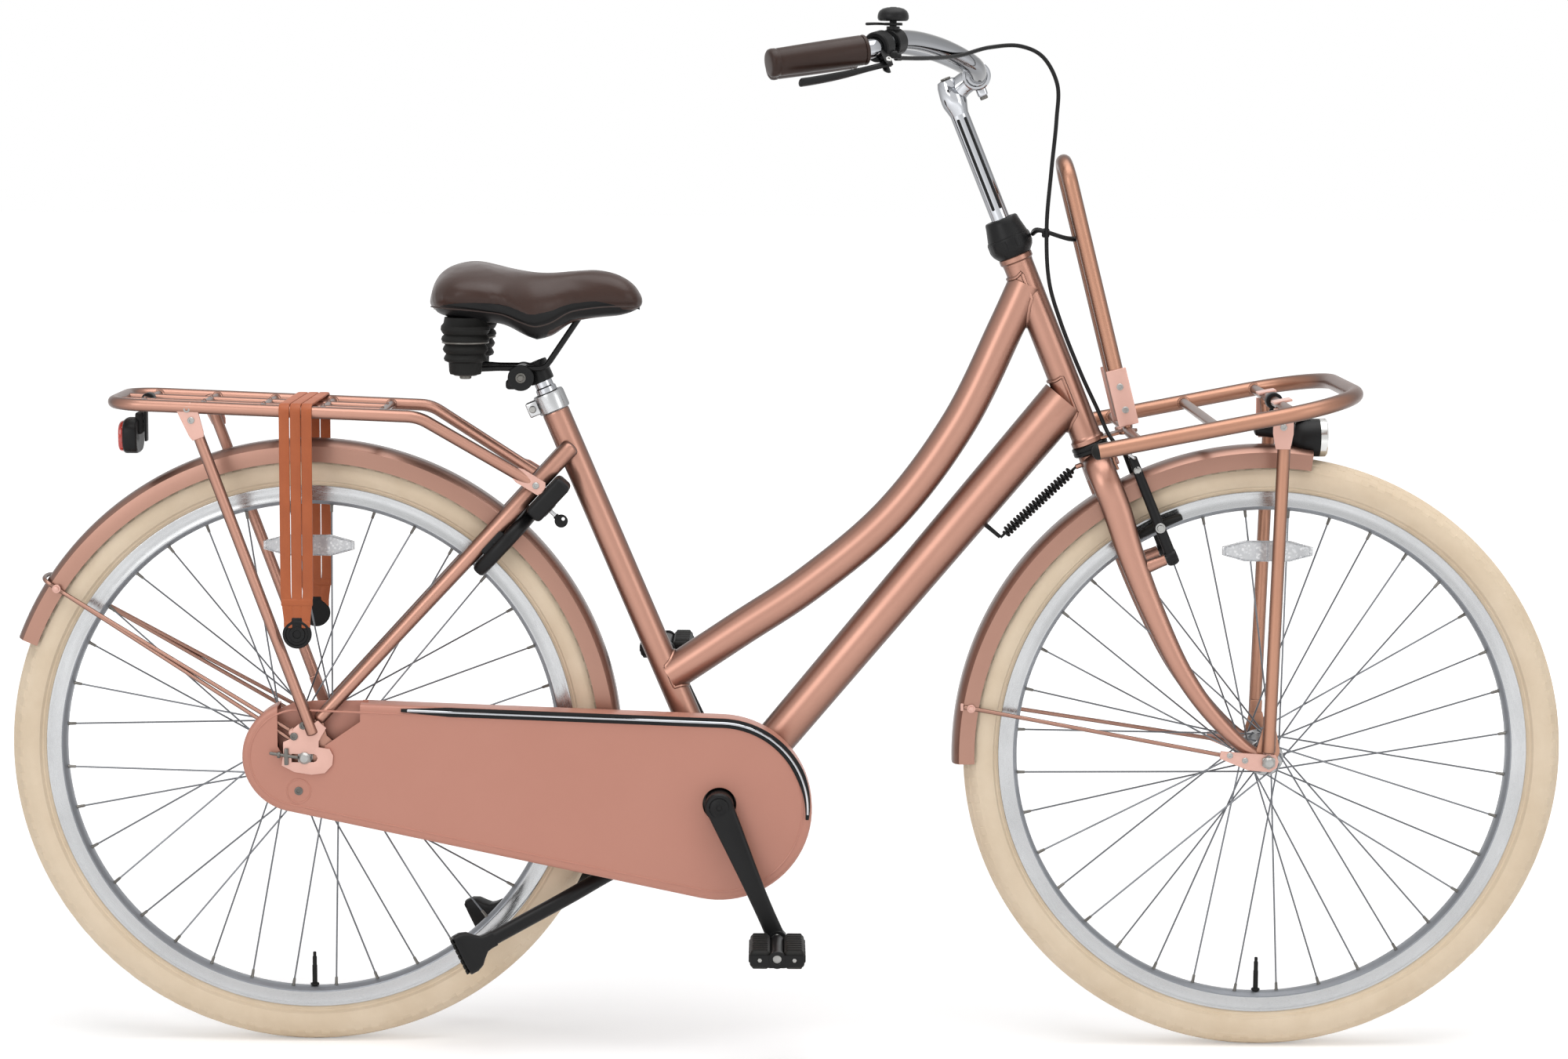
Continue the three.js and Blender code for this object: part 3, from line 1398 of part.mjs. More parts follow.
function mudguardSection() {
  const shell = (inset) => mudguardShares.map(([depth, width]) => [
    mudguardRadius - inset - depth * (mudguardDepth - inset),
    width * (mudguardHalfWidth - inset),
  ]);
  const outer = shell(0);
  const inner = shell(mudguardWall);
  return [...outer, ...inner.reverse()];
}

// A place beside a mudguard where a stay wire holds it
const stayHold = (axlePlace, hold, side, reach, gap) => at(
  axlePlace.x + reach * Math.cos(hold),
  side * (mudguardHalfWidth + stayWireRadius + gap),
  axlePlace.z + reach * Math.sin(hold),
);

// Stay wires from eyelets near the axle to both sides of a mudguard
function mudguardWires(axlePlace, eyeletY, hold, eyelets, gap, extra = 0) {
  const tab = (side, reach) => stayHold(axlePlace, hold, side, reach, gap);
  return sides.flatMap((side) => eyelets.map(([x, z]) => bar([
    at(axlePlace.x + x, side * eyeletY, axlePlace.z + z),
    tab(side, mudguardRadius - mudguardDepth),
    tab(side, mudguardRadius - mudguardDepth / 3),
  ], stayWireRadius + extra, wireSides)));
}

// The wire that runs over the back of a mudguard from one side to the other
function mudguardBridge(axlePlace, hold) {
  const over = mudguardRadius + stayWireRadius + fit;
  const low = mudguardRadius - mudguardDepth / 2;
  return bar([[-1, low], [-1, over], [1, over], [1, low]].map(([side, reach]) => (
    stayHold(axlePlace, hold, side, reach, fit)
  )), stayWireRadius, wireSides, at(-Math.sin(hold), 0, Math.cos(hold)));
}

const rearEyeletY = rearAxleSpan / 2 + dropoutThickness + fit + stayWireRadius;
const frontEyeletY = frontAxleSpan / 2 + dropoutThickness + fit + stayWireRadius;

piece('rear_mudguard', arcBody(rearAxle, mudguardSection(), rearMudguardFrom, rearMudguardTo, 20), paint);
piece('rear_mudguard_stays', join([
  ...mudguardWires(rearAxle, rearEyeletY, rearStayAngle, rearEyelets, fit),
  mudguardBridge(rearAxle, rearStayAngle),
]), paint);

// The front mudguard carries its two wires and the bolt under the fork crown.
const crownEnd = -headsetRingHeight - crownHeight;
piece('front_mudguard', join([
  arcBody(frontAxle, mudguardSection(), frontMudguardFrom, frontMudguardTo, 12),
  ...mudguardWires(frontAxle, frontEyeletY, frontStayAngle, [frontEyelet], -stayWireRadius),
  bar([
    onSteerer(0, 0, crownEnd - fit),
    onSteerer(0, 0, Math.sqrt((mudguardRadius - mudguardWall / 2) ** 2 - forkRake ** 2) - forkLength),
  ], crownBoltRadius, smallSides, left),
]), paint);

// Rear carrier: one tube from the seat stays back and round, with bars across and along, and two legs
const carrierZ = (x) => carrierHeight + (carrierKneeX - x) * carrierRise;
const carrierBars = Array.from({ length: carrierBarCount }, (_, i) => carrierLastBarX + i * carrierBarPitch);
const carrierTabAt = (side) => at(
  rearAxle.x + carrierTabAhead,
  side * (rearAxleSpan / 2 + dropoutThickness + fit + tabThickness / 2),
  rearAxle.z + carrierTabRise,
);

function rearCarrier() {
  const half = (side) => [
    onSeatStay(side, carrierFootShare, seatStayRadius + carrierTubeRadius - fit),
    at(carrierKneeX, side * carrierHalfWidth, carrierZ(carrierKneeX)),
    at(-carrierRear, side * carrierHalfWidth, carrierZ(-carrierRear)),
  ];
  const loop = bar(bent([...half(-1), ...half(1).reverse()], carrierBendRadius, 3), carrierTubeRadius, smallSides);
  const crossbars = carrierBars.map((x) => bar([
    at(x, -carrierHalfWidth, carrierZ(x)),
    at(x, carrierHalfWidth, carrierZ(x)),
  ], carrierBarRadius, smallSides));
  const [rearBar, frontBar] = [carrierBars[0], carrierBars[carrierBarCount - 1]];
  const inner = sides.map((side) => bar([
    at(rearBar, side * carrierInnerHalfSpan, carrierZ(rearBar)),
    at(frontBar, side * carrierInnerHalfSpan, carrierZ(frontBar)),
  ], carrierBarRadius, wireSides));
  const legs = sides.map((side) => {
    const foot = carrierTabAt(side);
    return bar([
      foot.clone().setY(side * carrierLegHalfSpan),
      at(carrierLegX, side * carrierLegHalfSpan, carrierZ(carrierLegX)),
    ], carrierLegRadius, smallSides, left);
  });
  const tabs = sides.map((side) => disc(carrierTabAt(side), carrierTabRadius, tabThickness, 10));
  const room = sides.map((side) => seatStayBar(side, fit));
  return cut(join([loop, ...crossbars, ...inner, ...legs, ...tabs]), room);
}

function rearLight() {
  const top = carrierZ(carrierBars[0]) - carrierBarRadius - fit;
  const body = bar([
    at(rearLightX, -rearLightHalfWidth, rearLightZ),
    at(rearLightX, rearLightHalfWidth, rearLightZ),
  ], () => [rearLightHeight / 2, rearLightLength / 2], 10);
  const bracketHeightUp = top - rearLightZ;
  const hanger = moved(
    block(rearLightLength / 3, rearLightHalfWidth, bracketHeightUp),
    carrierBars[0],
    0,
    rearLightZ + bracketHeightUp / 2,
  );
  return join([body, hanger]);
}

// The rubber strap lies over the carrier and hangs down both sides to its hooks.
function luggageStrap() {
  const z = carrierZ(strapX) + carrierTubeRadius + strapThickness / 2 + fit * 3;
  const y = carrierHalfWidth + carrierTubeRadius + strapThickness / 2 + fit * 3;
  const route = bent([
    at(strapX, -y, strapBottom),
    at(strapX, -y, z),
    at(strapX, y, z),
    at(strapX, y, strapBottom),
  ], y - carrierHalfWidth, 3);
  const square = Math.SQRT2 / 2;
  const strap = bar(route, (share) => {
    const nearEnd = Math.min(share, 1 - share) === 0 ? strapEndShare : 1;
    return [strapWidth * nearEnd * square, strapThickness * square];
  }, 4, at(1, 0, 0));
  const hooks = sides.map((side) => disc(at(strapX, side * y, strapBottom - strapButtonRadius / 2), strapButtonRadius,
    strapThickness * 1.5, 12));
  return join([strap, ...hooks]);
}

piece('rear_carrier', rearCarrier(), carrierPaint);
piece('rear_light', rearLight(), redLens);
piece('luggage_strap', luggageStrap(), strapRubber);

// Front carrier: a wide tube hoop with bars across, held at the fork crown and by two legs at the axle
const frontCarrierZ = (x) => frontCarrierRearZ + (x - frontCarrierRearX) * frontCarrierSlope;
const frontTabY = frontAxleSpan / 2 + dropoutThickness + fit + tabThickness / 2;
const frontCarrierBars = frontCarrierBarReaches.map((reach) => frontCarrierRearX + reach);
const [hoopBarX, , lampBarX] = frontCarrierBars;

function frontCarrier() {
  const corner = (x, side) => at(x, side * frontCarrierHalfWidth, frontCarrierZ(x));
  const loop = bar(bent([
    corner(frontCarrierRearX, -1),
    corner(frontCarrierFrontX, -1),
    corner(frontCarrierFrontX, 1),
    corner(frontCarrierRearX, 1),
  ], frontCarrierBendRadius, 4), frontCarrierTubeRadius, smallSides);
  const crossbars = frontCarrierBars.map((x) => bar([corner(x, -1), corner(x, 1)], frontCarrierBarRadius,
    smallSides));
  const square = Math.SQRT2 / 2;
  const face = crownRadius + fit + tabThickness / 2;
  const strut = bar([
    onSteerer(face, 0, crownEnd),
    onSteerer(face, 0, -headsetRingHeight * 1.8),
    at(hoopBarX, 0, frontCarrierZ(hoopBarX)),
  ], () => [tabThickness * square, crownPlateWidth * square], 4, steerForward);
  const legs = sides.map((side) => bar([
    at(frontAxle.x, side * frontCarrierLegOffset, frontAxle.z + frontDropoutRadius),
    at(frontCarrierLegX, side * frontCarrierLegOffset, frontCarrierLegKneeZ),
    at(lampBarX, side * frontCarrierLegOffset, frontCarrierZ(lampBarX)),
  ], frontCarrierLegRadius, smallSides, left));
  const tabs = sides.map((side) => disc(frontAxle.clone().setY(side * frontTabY), frontTabRadius, tabThickness, 12));
  const bore = bar([
    frontAxle.clone().setY(-frontAxleSpan),
    frontAxle.clone().setY(frontAxleSpan),
  ], axleRadius + fit, smallSides);
  const nutRoom = sides.map((side) => disc(
    frontAxle.clone().setY(side * (frontTabY + tabThickness / 2 + frontAxleSpan / 4)),
    axleNutRadius + fit * 2,
    frontAxleSpan / 2,
    12,
  ));
  const dropoutRoom = sides.map((side) => disc(frontAxle.clone().setY(side * forkDropoutY), frontTabRadius + fit,
    dropoutThickness + fit * 2, 12));
  return cut(join([loop, ...crossbars, strut, ...legs, ...tabs]), [bore, ...nutRoom, ...dropoutRoom]);
}

// The upright hoop stands on the rear bar of the carrier and leans on the head tube with a wire.
function carrierHoop() {
  const leg = (side, share) => at(
    THREE.MathUtils.lerp(hoopFootX, hoopTopX, share),
    side * hoopHalfSpan,
    THREE.MathUtils.lerp(hoopFootZ, hoopTopZ, share),
  );
  const bend = Array.from({ length: hoopBendSteps }, (_, i) => {
    const turn = -Math.PI / 2 + (Math.PI * (i + 0.5)) / hoopBendSteps;
    const lift = (hoopHalfSpan * Math.cos(turn)) / (hoopTopZ - hoopFootZ);
    return leg(1, 1 - hoopHalfSpan / (hoopTopZ - hoopFootZ) + lift).setY(hoopHalfSpan * Math.sin(turn));
  });
  const tube = bar([leg(-1, 0), ...bend, leg(1, 0)], hoopTubeRadius, smallSides, at(1, 0, 0));
  const barZ = frontCarrierZ(hoopBarX);
  const tabs = sides.flatMap((side) => [
    disc(at(hoopBarX, side * hoopHalfSpan, barZ), hoopTabRadius, tabThickness, 10),
    moved(block(hoopTubeRadius * 1.6, tabThickness, hoopFootZ - barZ + hoopTubeRadius),
      hoopBarX, side * hoopHalfSpan, (barZ + hoopFootZ + hoopTubeRadius) / 2),
  ]);
  const rung = bar([leg(-1, hoopRungShare), leg(1, hoopRungShare)], hoopRungRadius, wireSides);
  const wireStart = leg(1, hoopRungShare).setY(0);
  const wireEnd = onSteerer(headsetCoverRadius + fit + stayWireRadius, 0, headTubeLength + headsetCoverHeight / 3);
  const crest = wireStart.clone().lerp(wireEnd, 0.4).add(at(0, 0, hoopTubeRadius * 1.5));
  const wireStay = bar([wireStart, crest, wireEnd], stayWireRadius, wireSides, left);
  const holes = moved(turned([
    [frontCarrierBarRadius + fit, -hoopHalfSpan * 2],
    [frontCarrierBarRadius + fit, hoopHalfSpan * 2],
  ], smallSides), hoopBarX, 0, barZ);
  return cut(join([tube, ...tabs, rung, wireStay]), [holes]);
}

function headlight() {
  const bodyZ = headlightZ + headlightRadius - headlightBodyRadius;
  const front = headlightX + headlightLength / 2;
  const body = bar([
    at(headlightX - headlightLength / 2, 0, bodyZ),
    at(front - headlightDrumLength / 2, 0, bodyZ),
  ], headlightBodyRadius, 10);
  const drum = bar([
    at(front - headlightDrumLength, 0, headlightZ),
    at(front, 0, headlightZ),
  ], headlightRadius, 16);
  const top = frontCarrierZ(lampBarX) - frontCarrierBarRadius - fit;
  const hanger = moved(block(tabThickness * 2, headlightBodyRadius, top - bodyZ), lampBarX, 0, (top + bodyZ) / 2);
  return join([body, drum, hanger]);
}

piece('front_carrier', frontCarrier(), carrierPaint);
piece('carrier_hoop', carrierHoop(), carrierPaint);
piece('headlight', headlight(), black);

// Points of the outline that a belt takes round two circles, wider or narrower by a margin
function belt(rear, rearRadius, front, frontRadius, margin, steps) {
  const gap = new THREE.Vector3().subVectors(front, rear);
  const turn = Math.atan2(gap.z, gap.x);
  const open = Math.acos((rearRadius - frontRadius) / gap.length());
  const arc = (centre, radius, from, to) => Array.from({ length: steps + 1 }, (_, i) => {
    const here = THREE.MathUtils.lerp(from, to, i / steps);
    return [centre.x + (radius + margin) * Math.cos(here), centre.z + (radius + margin) * Math.sin(here)];
  });
  return [
    ...arc(rear, rearRadius, turn + open, turn + 2 * Math.PI - open),
    ...arc(front, frontRadius, turn - open, turn + open),
  ];
}

// Chaincase: a shallow cover over the whole chain, open towards the wheel
const caseRear = rearAxle.clone().add(at(chaincaseRearShift, 0, 0));
const caseFront = bracket.clone().add(at(0, 0, chaincaseFrontDrop));
const caseBelt = (margin) => belt(caseRear, chaincaseRearRadius, caseFront, chaincaseFrontRadius, margin, 10);

function chaincase() {
  const depth = chaincaseOuter - chaincaseInner;
  const shell = moved(plate(caseBelt(0), depth), 0, -(chaincaseOuter + chaincaseInner) / 2, 0);
  const hollow = moved(plate(caseBelt(-chaincaseWall), depth), 0,
    -(chaincaseOuter + chaincaseInner) / 2 + chaincaseWall, 0);
  const crankHole = disc(bracket.clone().setY(-chaincaseOuter), crankHubRadius + overrun, depth / 2);
  const slotOutline = chaincaseSlotShares.map(([x, z]) => [x * dropoutRadius, z * dropoutRadius]);
  const slot = moved(plate(slotOutline, depth * 2), rearAxle.x, -chaincaseOuter, rearAxle.z);
  const wireNotches = mudguardWires(rearAxle, rearEyeletY, rearStayAngle, rearEyelets, fit, fit * 3);
  const body = cut(shell, [hollow, crankHole, slot, ...wireNotches]);
  const seat = chainStayRoute(-1)[3];
  const postLength = chaincaseOuter - chaincaseWall / 2 + seat.y;
  const post = disc(seat.clone().setY(seat.y - postLength / 2), chaincasePostRadius, postLength, 10);
  return join([body, cut(post, [chainStayBar(-1, fit)])]);
}

function chaincaseTrim() {
  const corners = caseBelt(0).length;
  const path = (margin) => {
    const outline = caseBelt(margin);
    const [rearTop] = outline;
    const frontArc = outline.slice(corners / 2 + 4);
    const [topX, topZ] = frontArc[frontArc.length - 1];
    const start = [
      THREE.MathUtils.lerp(rearTop[0], topX, trimStartShare),
      THREE.MathUtils.lerp(rearTop[1], topZ, trimStartShare),
    ];
    return [...frontArc, start];
  };
  const outline = [...path(trimLap), ...path(trimLap - trimHeight).reverse()];
  return moved(plate(outline, chaincaseWall), 0, -chaincaseOuter - fit - chaincaseWall / 2, 0);
}

piece('chaincase', chaincase(), salmon);
piece('chaincase_trim', chaincaseTrim(), black);

// Chain: two rows of side plates on the pitch line, tied by pins along the straight runs
const pitchRadius = (teeth) => chainPitch / (2 * Math.sin(Math.PI / teeth));
const chainRow = (y) => {
  const edge = (margin) => belt(rearAxle, pitchRadius(sprocketTeeth), bracket, pitchRadius(chainringTeeth), margin, 9);
  const inner = edge(-chainPlateHeight / 2);
  return loft(edge(chainPlateHeight / 2).map(([x, z], i) => [
    at(inner[i][0], y - chainPlateThickness / 2, inner[i][1]),
    at(x, y - chainPlateThickness / 2, z),
    at(x, y + chainPlateThickness / 2, z),
    at(inner[i][0], y + chainPlateThickness / 2, inner[i][1]),
  ]), true);
};

function chain() {
  const rowOffset = (chainPlateGap + chainPlateThickness) / 2;
  const line = belt(rearAxle, pitchRadius(sprocketTeeth), bracket, pitchRadius(chainringTeeth), 0, 9);
  const last = line.length - 1;
  const half = line.length / 2;
  const pins = [[line[0], line[last]], [line[half - 1], line[half]]].flatMap(([from, to]) => (
    Array.from({ length: chainPinRows }, (_, i) => {
      const share = (i + 1) / (chainPinRows + 1);
      const x = THREE.MathUtils.lerp(from[0], to[0], share);
      const z = THREE.MathUtils.lerp(from[1], to[1], share);
      return bar([at(x, -chainLine - rowOffset, z), at(x, -chainLine + rowOffset, z)], chainPinRadius, wireSides);
    })
  ));
  return join([chainRow(-chainLine - rowOffset), chainRow(-chainLine + rowOffset), ...pins]);
}

const toothedPlate = (teeth) => {
  const root = pitchRadius(teeth) - toothHeight * 0.9;
  const corners = teeth * 2;
  return plate(Array.from({ length: corners }, (_, i) => {
    const turn = (i / corners) * 2 * Math.PI;
    const radius = i % 2 === 0 ? root + toothHeight * 2 : root;
    return [radius * Math.cos(turn), radius * Math.sin(turn)];
  }), toothThickness);
};

function rearSprocket() {
  const hub = turned([[sprocketHubRadius, -sprocketHubOuter], [sprocketHubRadius, -sprocketHubInner]], 12);
  const bore = turned([[hubBoreRadius, -sprocketHubOuter * 2], [hubBoreRadius, 0]], 10);
  return moved(
    cut(join([moved(toothedPlate(sprocketTeeth), 0, -chainLine, 0), hub]), [bore]),
    rearAxle.x,
    0,
    rearAxle.z,
  );
}

// Cranks
const crankTip = (side, y) => {
  const turn = side < 0 ? crankAngle : crankAngle + Math.PI;
  return at(bracket.x + crankLength * Math.cos(turn), side * y, bracket.z + crankLength * Math.sin(turn));
};
const crankMiddle = crankInner + crankThickness / 2;
const crankTipMiddle = crankMiddle + crankSplay;
const pedalInner = crankTipMiddle + crankThickness / 2 + pedalGap;

function crank(side) {
  const hubInner = side < 0 ? chainLine - toothThickness / 2 : bracketShellWidth / 2 + crankThickness;
  const hubOuter = crankMiddle + crankThickness / 2;
  const hub = disc(bracket.clone().setY((side * (hubInner + hubOuter)) / 2), crankHubRadius, hubOuter - hubInner);
  const arm = bar([bracket.clone().setY(side * crankMiddle), crankTip(side, crankTipMiddle)], (share) => [
    crankThickness / 2,
    THREE.MathUtils.lerp(crankHubRadius, crankTipRadius, share) * 0.9,
  ], smallSides, left);
  const eye = disc(crankTip(side, crankTipMiddle), crankTipRadius, crankThickness, 12);
  const axleEnd = pedalInner + pedalLength - pedalAxleRadius;
  const pedalPin = bar([crankTip(side, crankTipMiddle), crankTip(side, axleEnd)], pedalAxleRadius, roundSides);
  const parts = [hub, arm, eye, pedalPin];
  if (side < 0) parts.push(moved(toothedPlate(chainringTeeth), bracket.x, -chainLine, bracket.z));
  const bore = bar([
    bracket.clone().setY(-hubOuter * 2),
    bracket.clone().setY(hubOuter * 2),
  ], spindleRadius + fit, 12);
  return cut(join(parts), [bore]);
}

function pedal(side) {
  const centre = crankTip(side, pedalInner + pedalLength / 2);
  const square = Math.SQRT2 / 2;
  const ends = (half) => [centre.clone().add(at(0, -half, 0)), centre.clone().add(at(0, half, 0))];
  const middle = bar(ends(pedalLength / 2), () => [pedalHeight * square, pedalWidth * square * 0.86], 4);
  const belly = bar(ends(pedalLength / 2), () => [pedalHeight * square * 0.6, pedalWidth * square], 4);
  const boreRadius = (pedalAxleRadius + fit) / Math.cos(Math.PI / roundSides);
  return cut(join([middle, belly]), [bar(ends(pedalLength), boreRadius, roundSides)]);
}

piece('chain', chain(), steel);
piece('rear_sprocket', rearSprocket(), steel);
piece('crank_spindle', bar([
  bracket.clone().setY(-crankMiddle),
  bracket.clone().setY(crankMiddle),
], spindleRadius, 12), steel);
sides.forEach((side) => piece(`${sideName(side)}_crank`, crank(side), black));
sides.forEach((side) => piece(`${sideName(side)}_pedal`, pedal(side), black));

// Two-legged stand, folded up under the chain stays
function kickstand() {
  const pivot = at(standPivotX, 0, standPivotZ);
  const run = at(Math.cos(standAngle), 0, Math.sin(standAngle));
  const cross = at(run.z, 0, -run.x);
  const onLeg = (side, [share, y]) => pivot.clone().addScaledVector(run, share * standLegLength)
    .setY(side * y * standFootOffset);
  const barrel = moved(turned([
    [standBarrelRadius, -standBarrelHalfWidth],
    [standBarrelRadius, standBarrelHalfWidth],
  ], 12), pivot.x, 0, pivot.z);
  const legs = sides.map((side) => bar(
    standShares.map((share) => onLeg(side, share)),
    () => [standLegRadius, standLegRadius * 0.9],
    smallSides,
    cross,
  ));
  const feet = sides.map((side) => {
    const end = onLeg(side, standShares[standShares.length - 1]);
    return bar([
      end.clone().addScaledVector(cross, -standFootLength / 2),
      end.clone().addScaledVector(cross, standFootLength / 2),
    ], () => [standLegRadius, standLegRadius * 0.9], smallSides, left);
  });
  const bore = moved(turned([
    [standPinRadius + fit, -standBarrelHalfWidth * 2],
    [standPinRadius + fit, standBarrelHalfWidth * 2],
  ], 10), pivot.x, 0, pivot.z);
  return cut(join([barrel, ...legs, ...feet]), [bore]);
}

piece('kickstand', kickstand(), black);

// Ring lock: out from the axle, across and along the wheel, set against the seat stays
const lockAngle = seatStayAngle(lockCentreReach) - Math.asin(lockStayGap / lockCentreReach);
const lockOut = at(Math.cos(lockAngle), 0, Math.sin(lockAngle));
const lockAlong = at(-Math.sin(lockAngle), 0, Math.cos(lockAngle));
const onLock = (out, side, along) => rearAxle.clone()
  .addScaledVector(lockOut, out)
  .addScaledVector(lockAlong, along)
  .add(at(0, side, 0));
const lockBlock = (outRange, sideRange, alongRange) => {
  const faces = alongRange.map((along) => [[0, 0], [1, 0], [1, 1], [0, 1]]
    .map(([i, j]) => onLock(outRange[i], sideRange[j], along)));
  return loft(faces);
};
const lockArc = (section, from, to, steps) => loft(Array.from({ length: steps + 1 }, (_, i) => {
  const turn = THREE.MathUtils.lerp(from, to, i / steps);
  return section.map(([reach, along]) => onLock(
    lockCentreReach + reach * Math.cos(turn),
    reach * Math.sin(turn),
    along,
  ));
}));
const shackleReach = (lockOuterRadius + lockInnerRadius) / 2;
const shackleSection = (radius) => ringOf(smallSides, (turn) => [
  shackleReach + radius * Math.cos(turn),
  radius * Math.sin(turn),
]);

function ringLockBody() {
  const ring = lockArc([
    [lockInnerRadius, -lockHalfThickness],
    [lockOuterRadius, -lockHalfThickness],
    [lockOuterRadius, lockHalfThickness],
    [lockInnerRadius, lockHalfThickness],
  ], -lockMouth, lockMouth, 20);
  const box = lockBlock(
    [lockBoxOut, lockBoxOut + lockBoxLength],
    [-lockBoxSide - lockBoxWidth, -lockBoxSide],
    [lockHalfThickness - lockBoxHeight, lockHalfThickness],
  );
  const lugs = sides.map((side) => lockBlock(
    [lockCentreReach - lockLugLength / 2, lockCentreReach + lockLugLength / 2],
    [side * (stayHalfSpanAtWheel - lockLugLength / 4), side * (stayHalfSpanAtWheel + lockLugLength / 3)],
    [0, lockHalfThickness + stayTipRadius],
  ));
  const channel = lockArc(shackleSection(shackleChannelRadius), shackleStart - lockSlack, lockMouth * 2, 20);
  const slot = lockArc([
    [shackleReach, -knobRadius - fit],
    [lockOuterRadius * 1.2, -knobRadius - fit],
    [lockOuterRadius * 1.2, knobRadius + fit],
    [shackleReach, knobRadius + fit],
  ], shackleStart - lockSlack, lockMouth - lockSlack, 10);
  const keyHole = bar([keyPlace(overrun), keyPlace(-keyDepth)], keyStemRadius + fit, smallSides, left);
  return cut(join([ring, box, ...lugs]), [channel, slot, keyHole, ...sides.map((side) => seatStayBar(side, fit))]);
}

const lockBoxFace = lockHalfThickness - lockBoxHeight;
const keyPlace = (outward) => onLock(
  lockBoxOut + lockBoxLength / 3,
  -lockBoxSide - lockBoxWidth / 2,
  lockBoxFace - outward,
);

function lockShackle() {
  const rod = lockArc(shackleSection(shackleRadius), shackleStart, shackleEnd, 12);
  const turn = shackleStart + lockSlack;
  const knobAt = (reach) => onLock(lockCentreReach + reach * Math.cos(turn), reach * Math.sin(turn), 0);
  return join([rod, bar([knobAt(shackleReach), knobAt(lockOuterRadius + knobReach)], knobRadius, wireSides,
    lockAlong)]);
}

function lockKey() {
  const stemBar = bar([keyPlace(fit - keyDepth), keyPlace(keyLength - keyRadius)], keyStemRadius, smallSides, left);
  const centre = keyPlace(keyLength - keyRadius / 2);
  const bow = disc(centre, keyRadius, keyThickness, 12);
  return join([stemBar, bow]);
}

piece('ring_lock_body', ringLockBody(), black);
piece('lock_shackle', lockShackle(), steel);
piece('lock_key', lockKey(), steel);

// A wire of even thickness through a route that may turn any way
function wire(route, radius, count) {
  const last = route.length - 1;
  const tangents = route.map((_, i) => new THREE.Vector3()
    .subVectors(route[Math.min(i + 1, last)], route[Math.max(i - 1, 0)]).normalize());
  const normal = new THREE.Vector3().crossVectors(tangents[0], left).normalize();
  return loft(route.map((point, i) => {
    if (i > 0) normal.applyQuaternion(new THREE.Quaternion().setFromUnitVectors(tangents[i - 1], tangents[i]));
    const across = new THREE.Vector3().crossVectors(tangents[i], normal);
    return ringOf(count, (turn) => point.clone()
      .addScaledVector(normal, radius * Math.cos(turn))
      .addScaledVector(across, radius * Math.sin(turn)));
  }));
}

// The spring that straightens the fork, from the lug below the down tube to the hook behind the crown
function springRoute() {
  const run = new THREE.Vector3().subVectors(springHigh, springLow);
  const length = run.length();
  run.normalize();
  const across = new THREE.Vector3().crossVectors(left, run);
  const stepsPerCurl = 8;
  const lead = springWireRadius * springLeadShare;
  const count = springCurls * stepsPerCurl;
  const coil = Array.from({ length: count + 1 }, (_, i) => {
    const turn = (i / stepsPerCurl) * 2 * Math.PI;
    const radius = springCurlRadius * Math.min(1, Math.min(i, count - i) / (stepsPerCurl / 2));
    return springLow.clone()
      .addScaledVector(run, lead + ((length - 2 * lead) * i) / count)
      .addScaledVector(left, radius * Math.cos(turn))
      .addScaledVector(across, radius * Math.sin(turn));
  });
  return [springLow.clone(), ...coil, springHigh.clone()];
}

// The least gap between two curls, measured on points spread over the route
function leastGap(route, radius) {
  const points = route.slice(1).flatMap((end, i) => [0, 0.25, 0.5, 0.75].map((share) => route[i].clone()
    .lerp(end, share)));
  const apart = 16;
  let least = Infinity;
  points.forEach((point, i) => {
    for (let j = i + apart; j < points.length; j += 1) least = Math.min(least, point.distanceTo(points[j]));
  });
  return least - 2 * radius;
}

const spring = springRoute();
console.log(`steering_spring least gap ${leastGap(spring, springWireRadius).toFixed(2)} mm`);
piece('steering_spring', wire(spring, springWireRadius, 5), steel);

export default bike;
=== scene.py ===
from math import acos, atan2, ceil, copysign, cos, degrees, hypot, pi, radians, sin, sqrt, tan, tau

import bmesh
import bpy
from mathutils import Matrix, Vector


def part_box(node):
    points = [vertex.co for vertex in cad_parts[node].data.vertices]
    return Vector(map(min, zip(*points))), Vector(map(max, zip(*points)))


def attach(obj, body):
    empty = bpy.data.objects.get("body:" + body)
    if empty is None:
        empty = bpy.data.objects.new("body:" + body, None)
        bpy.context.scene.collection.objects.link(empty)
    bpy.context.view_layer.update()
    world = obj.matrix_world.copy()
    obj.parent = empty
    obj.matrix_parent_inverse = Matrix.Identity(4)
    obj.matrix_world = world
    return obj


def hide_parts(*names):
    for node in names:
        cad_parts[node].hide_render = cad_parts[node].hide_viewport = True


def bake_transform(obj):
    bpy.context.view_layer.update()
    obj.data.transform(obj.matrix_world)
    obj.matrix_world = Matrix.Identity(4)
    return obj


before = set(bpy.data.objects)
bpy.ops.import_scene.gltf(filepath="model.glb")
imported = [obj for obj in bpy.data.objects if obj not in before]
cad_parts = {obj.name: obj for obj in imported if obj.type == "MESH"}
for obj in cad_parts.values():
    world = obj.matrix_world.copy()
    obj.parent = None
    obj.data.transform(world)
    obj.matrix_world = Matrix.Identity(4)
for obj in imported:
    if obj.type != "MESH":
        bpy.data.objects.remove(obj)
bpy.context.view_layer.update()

MM = 0.001
SIDES = (-1, 1)
ACROSS = Vector((0, 1, 0))
UP = Vector((0, 0, 1))
AHEAD = Vector((1, 0, 0))
# The directions of both sides, right and left
OUTWARD = (-ACROSS, ACROSS)
WAYS = tuple(zip(SIDES, OUTWARD))
BENCH = bmesh.new()


def at(x, y, z):
    return Vector((x, y, z))


def heading(turn):
    """The direction at that turn in the plane of the wheels."""
    return at(cos(turn), 0, sin(turn))


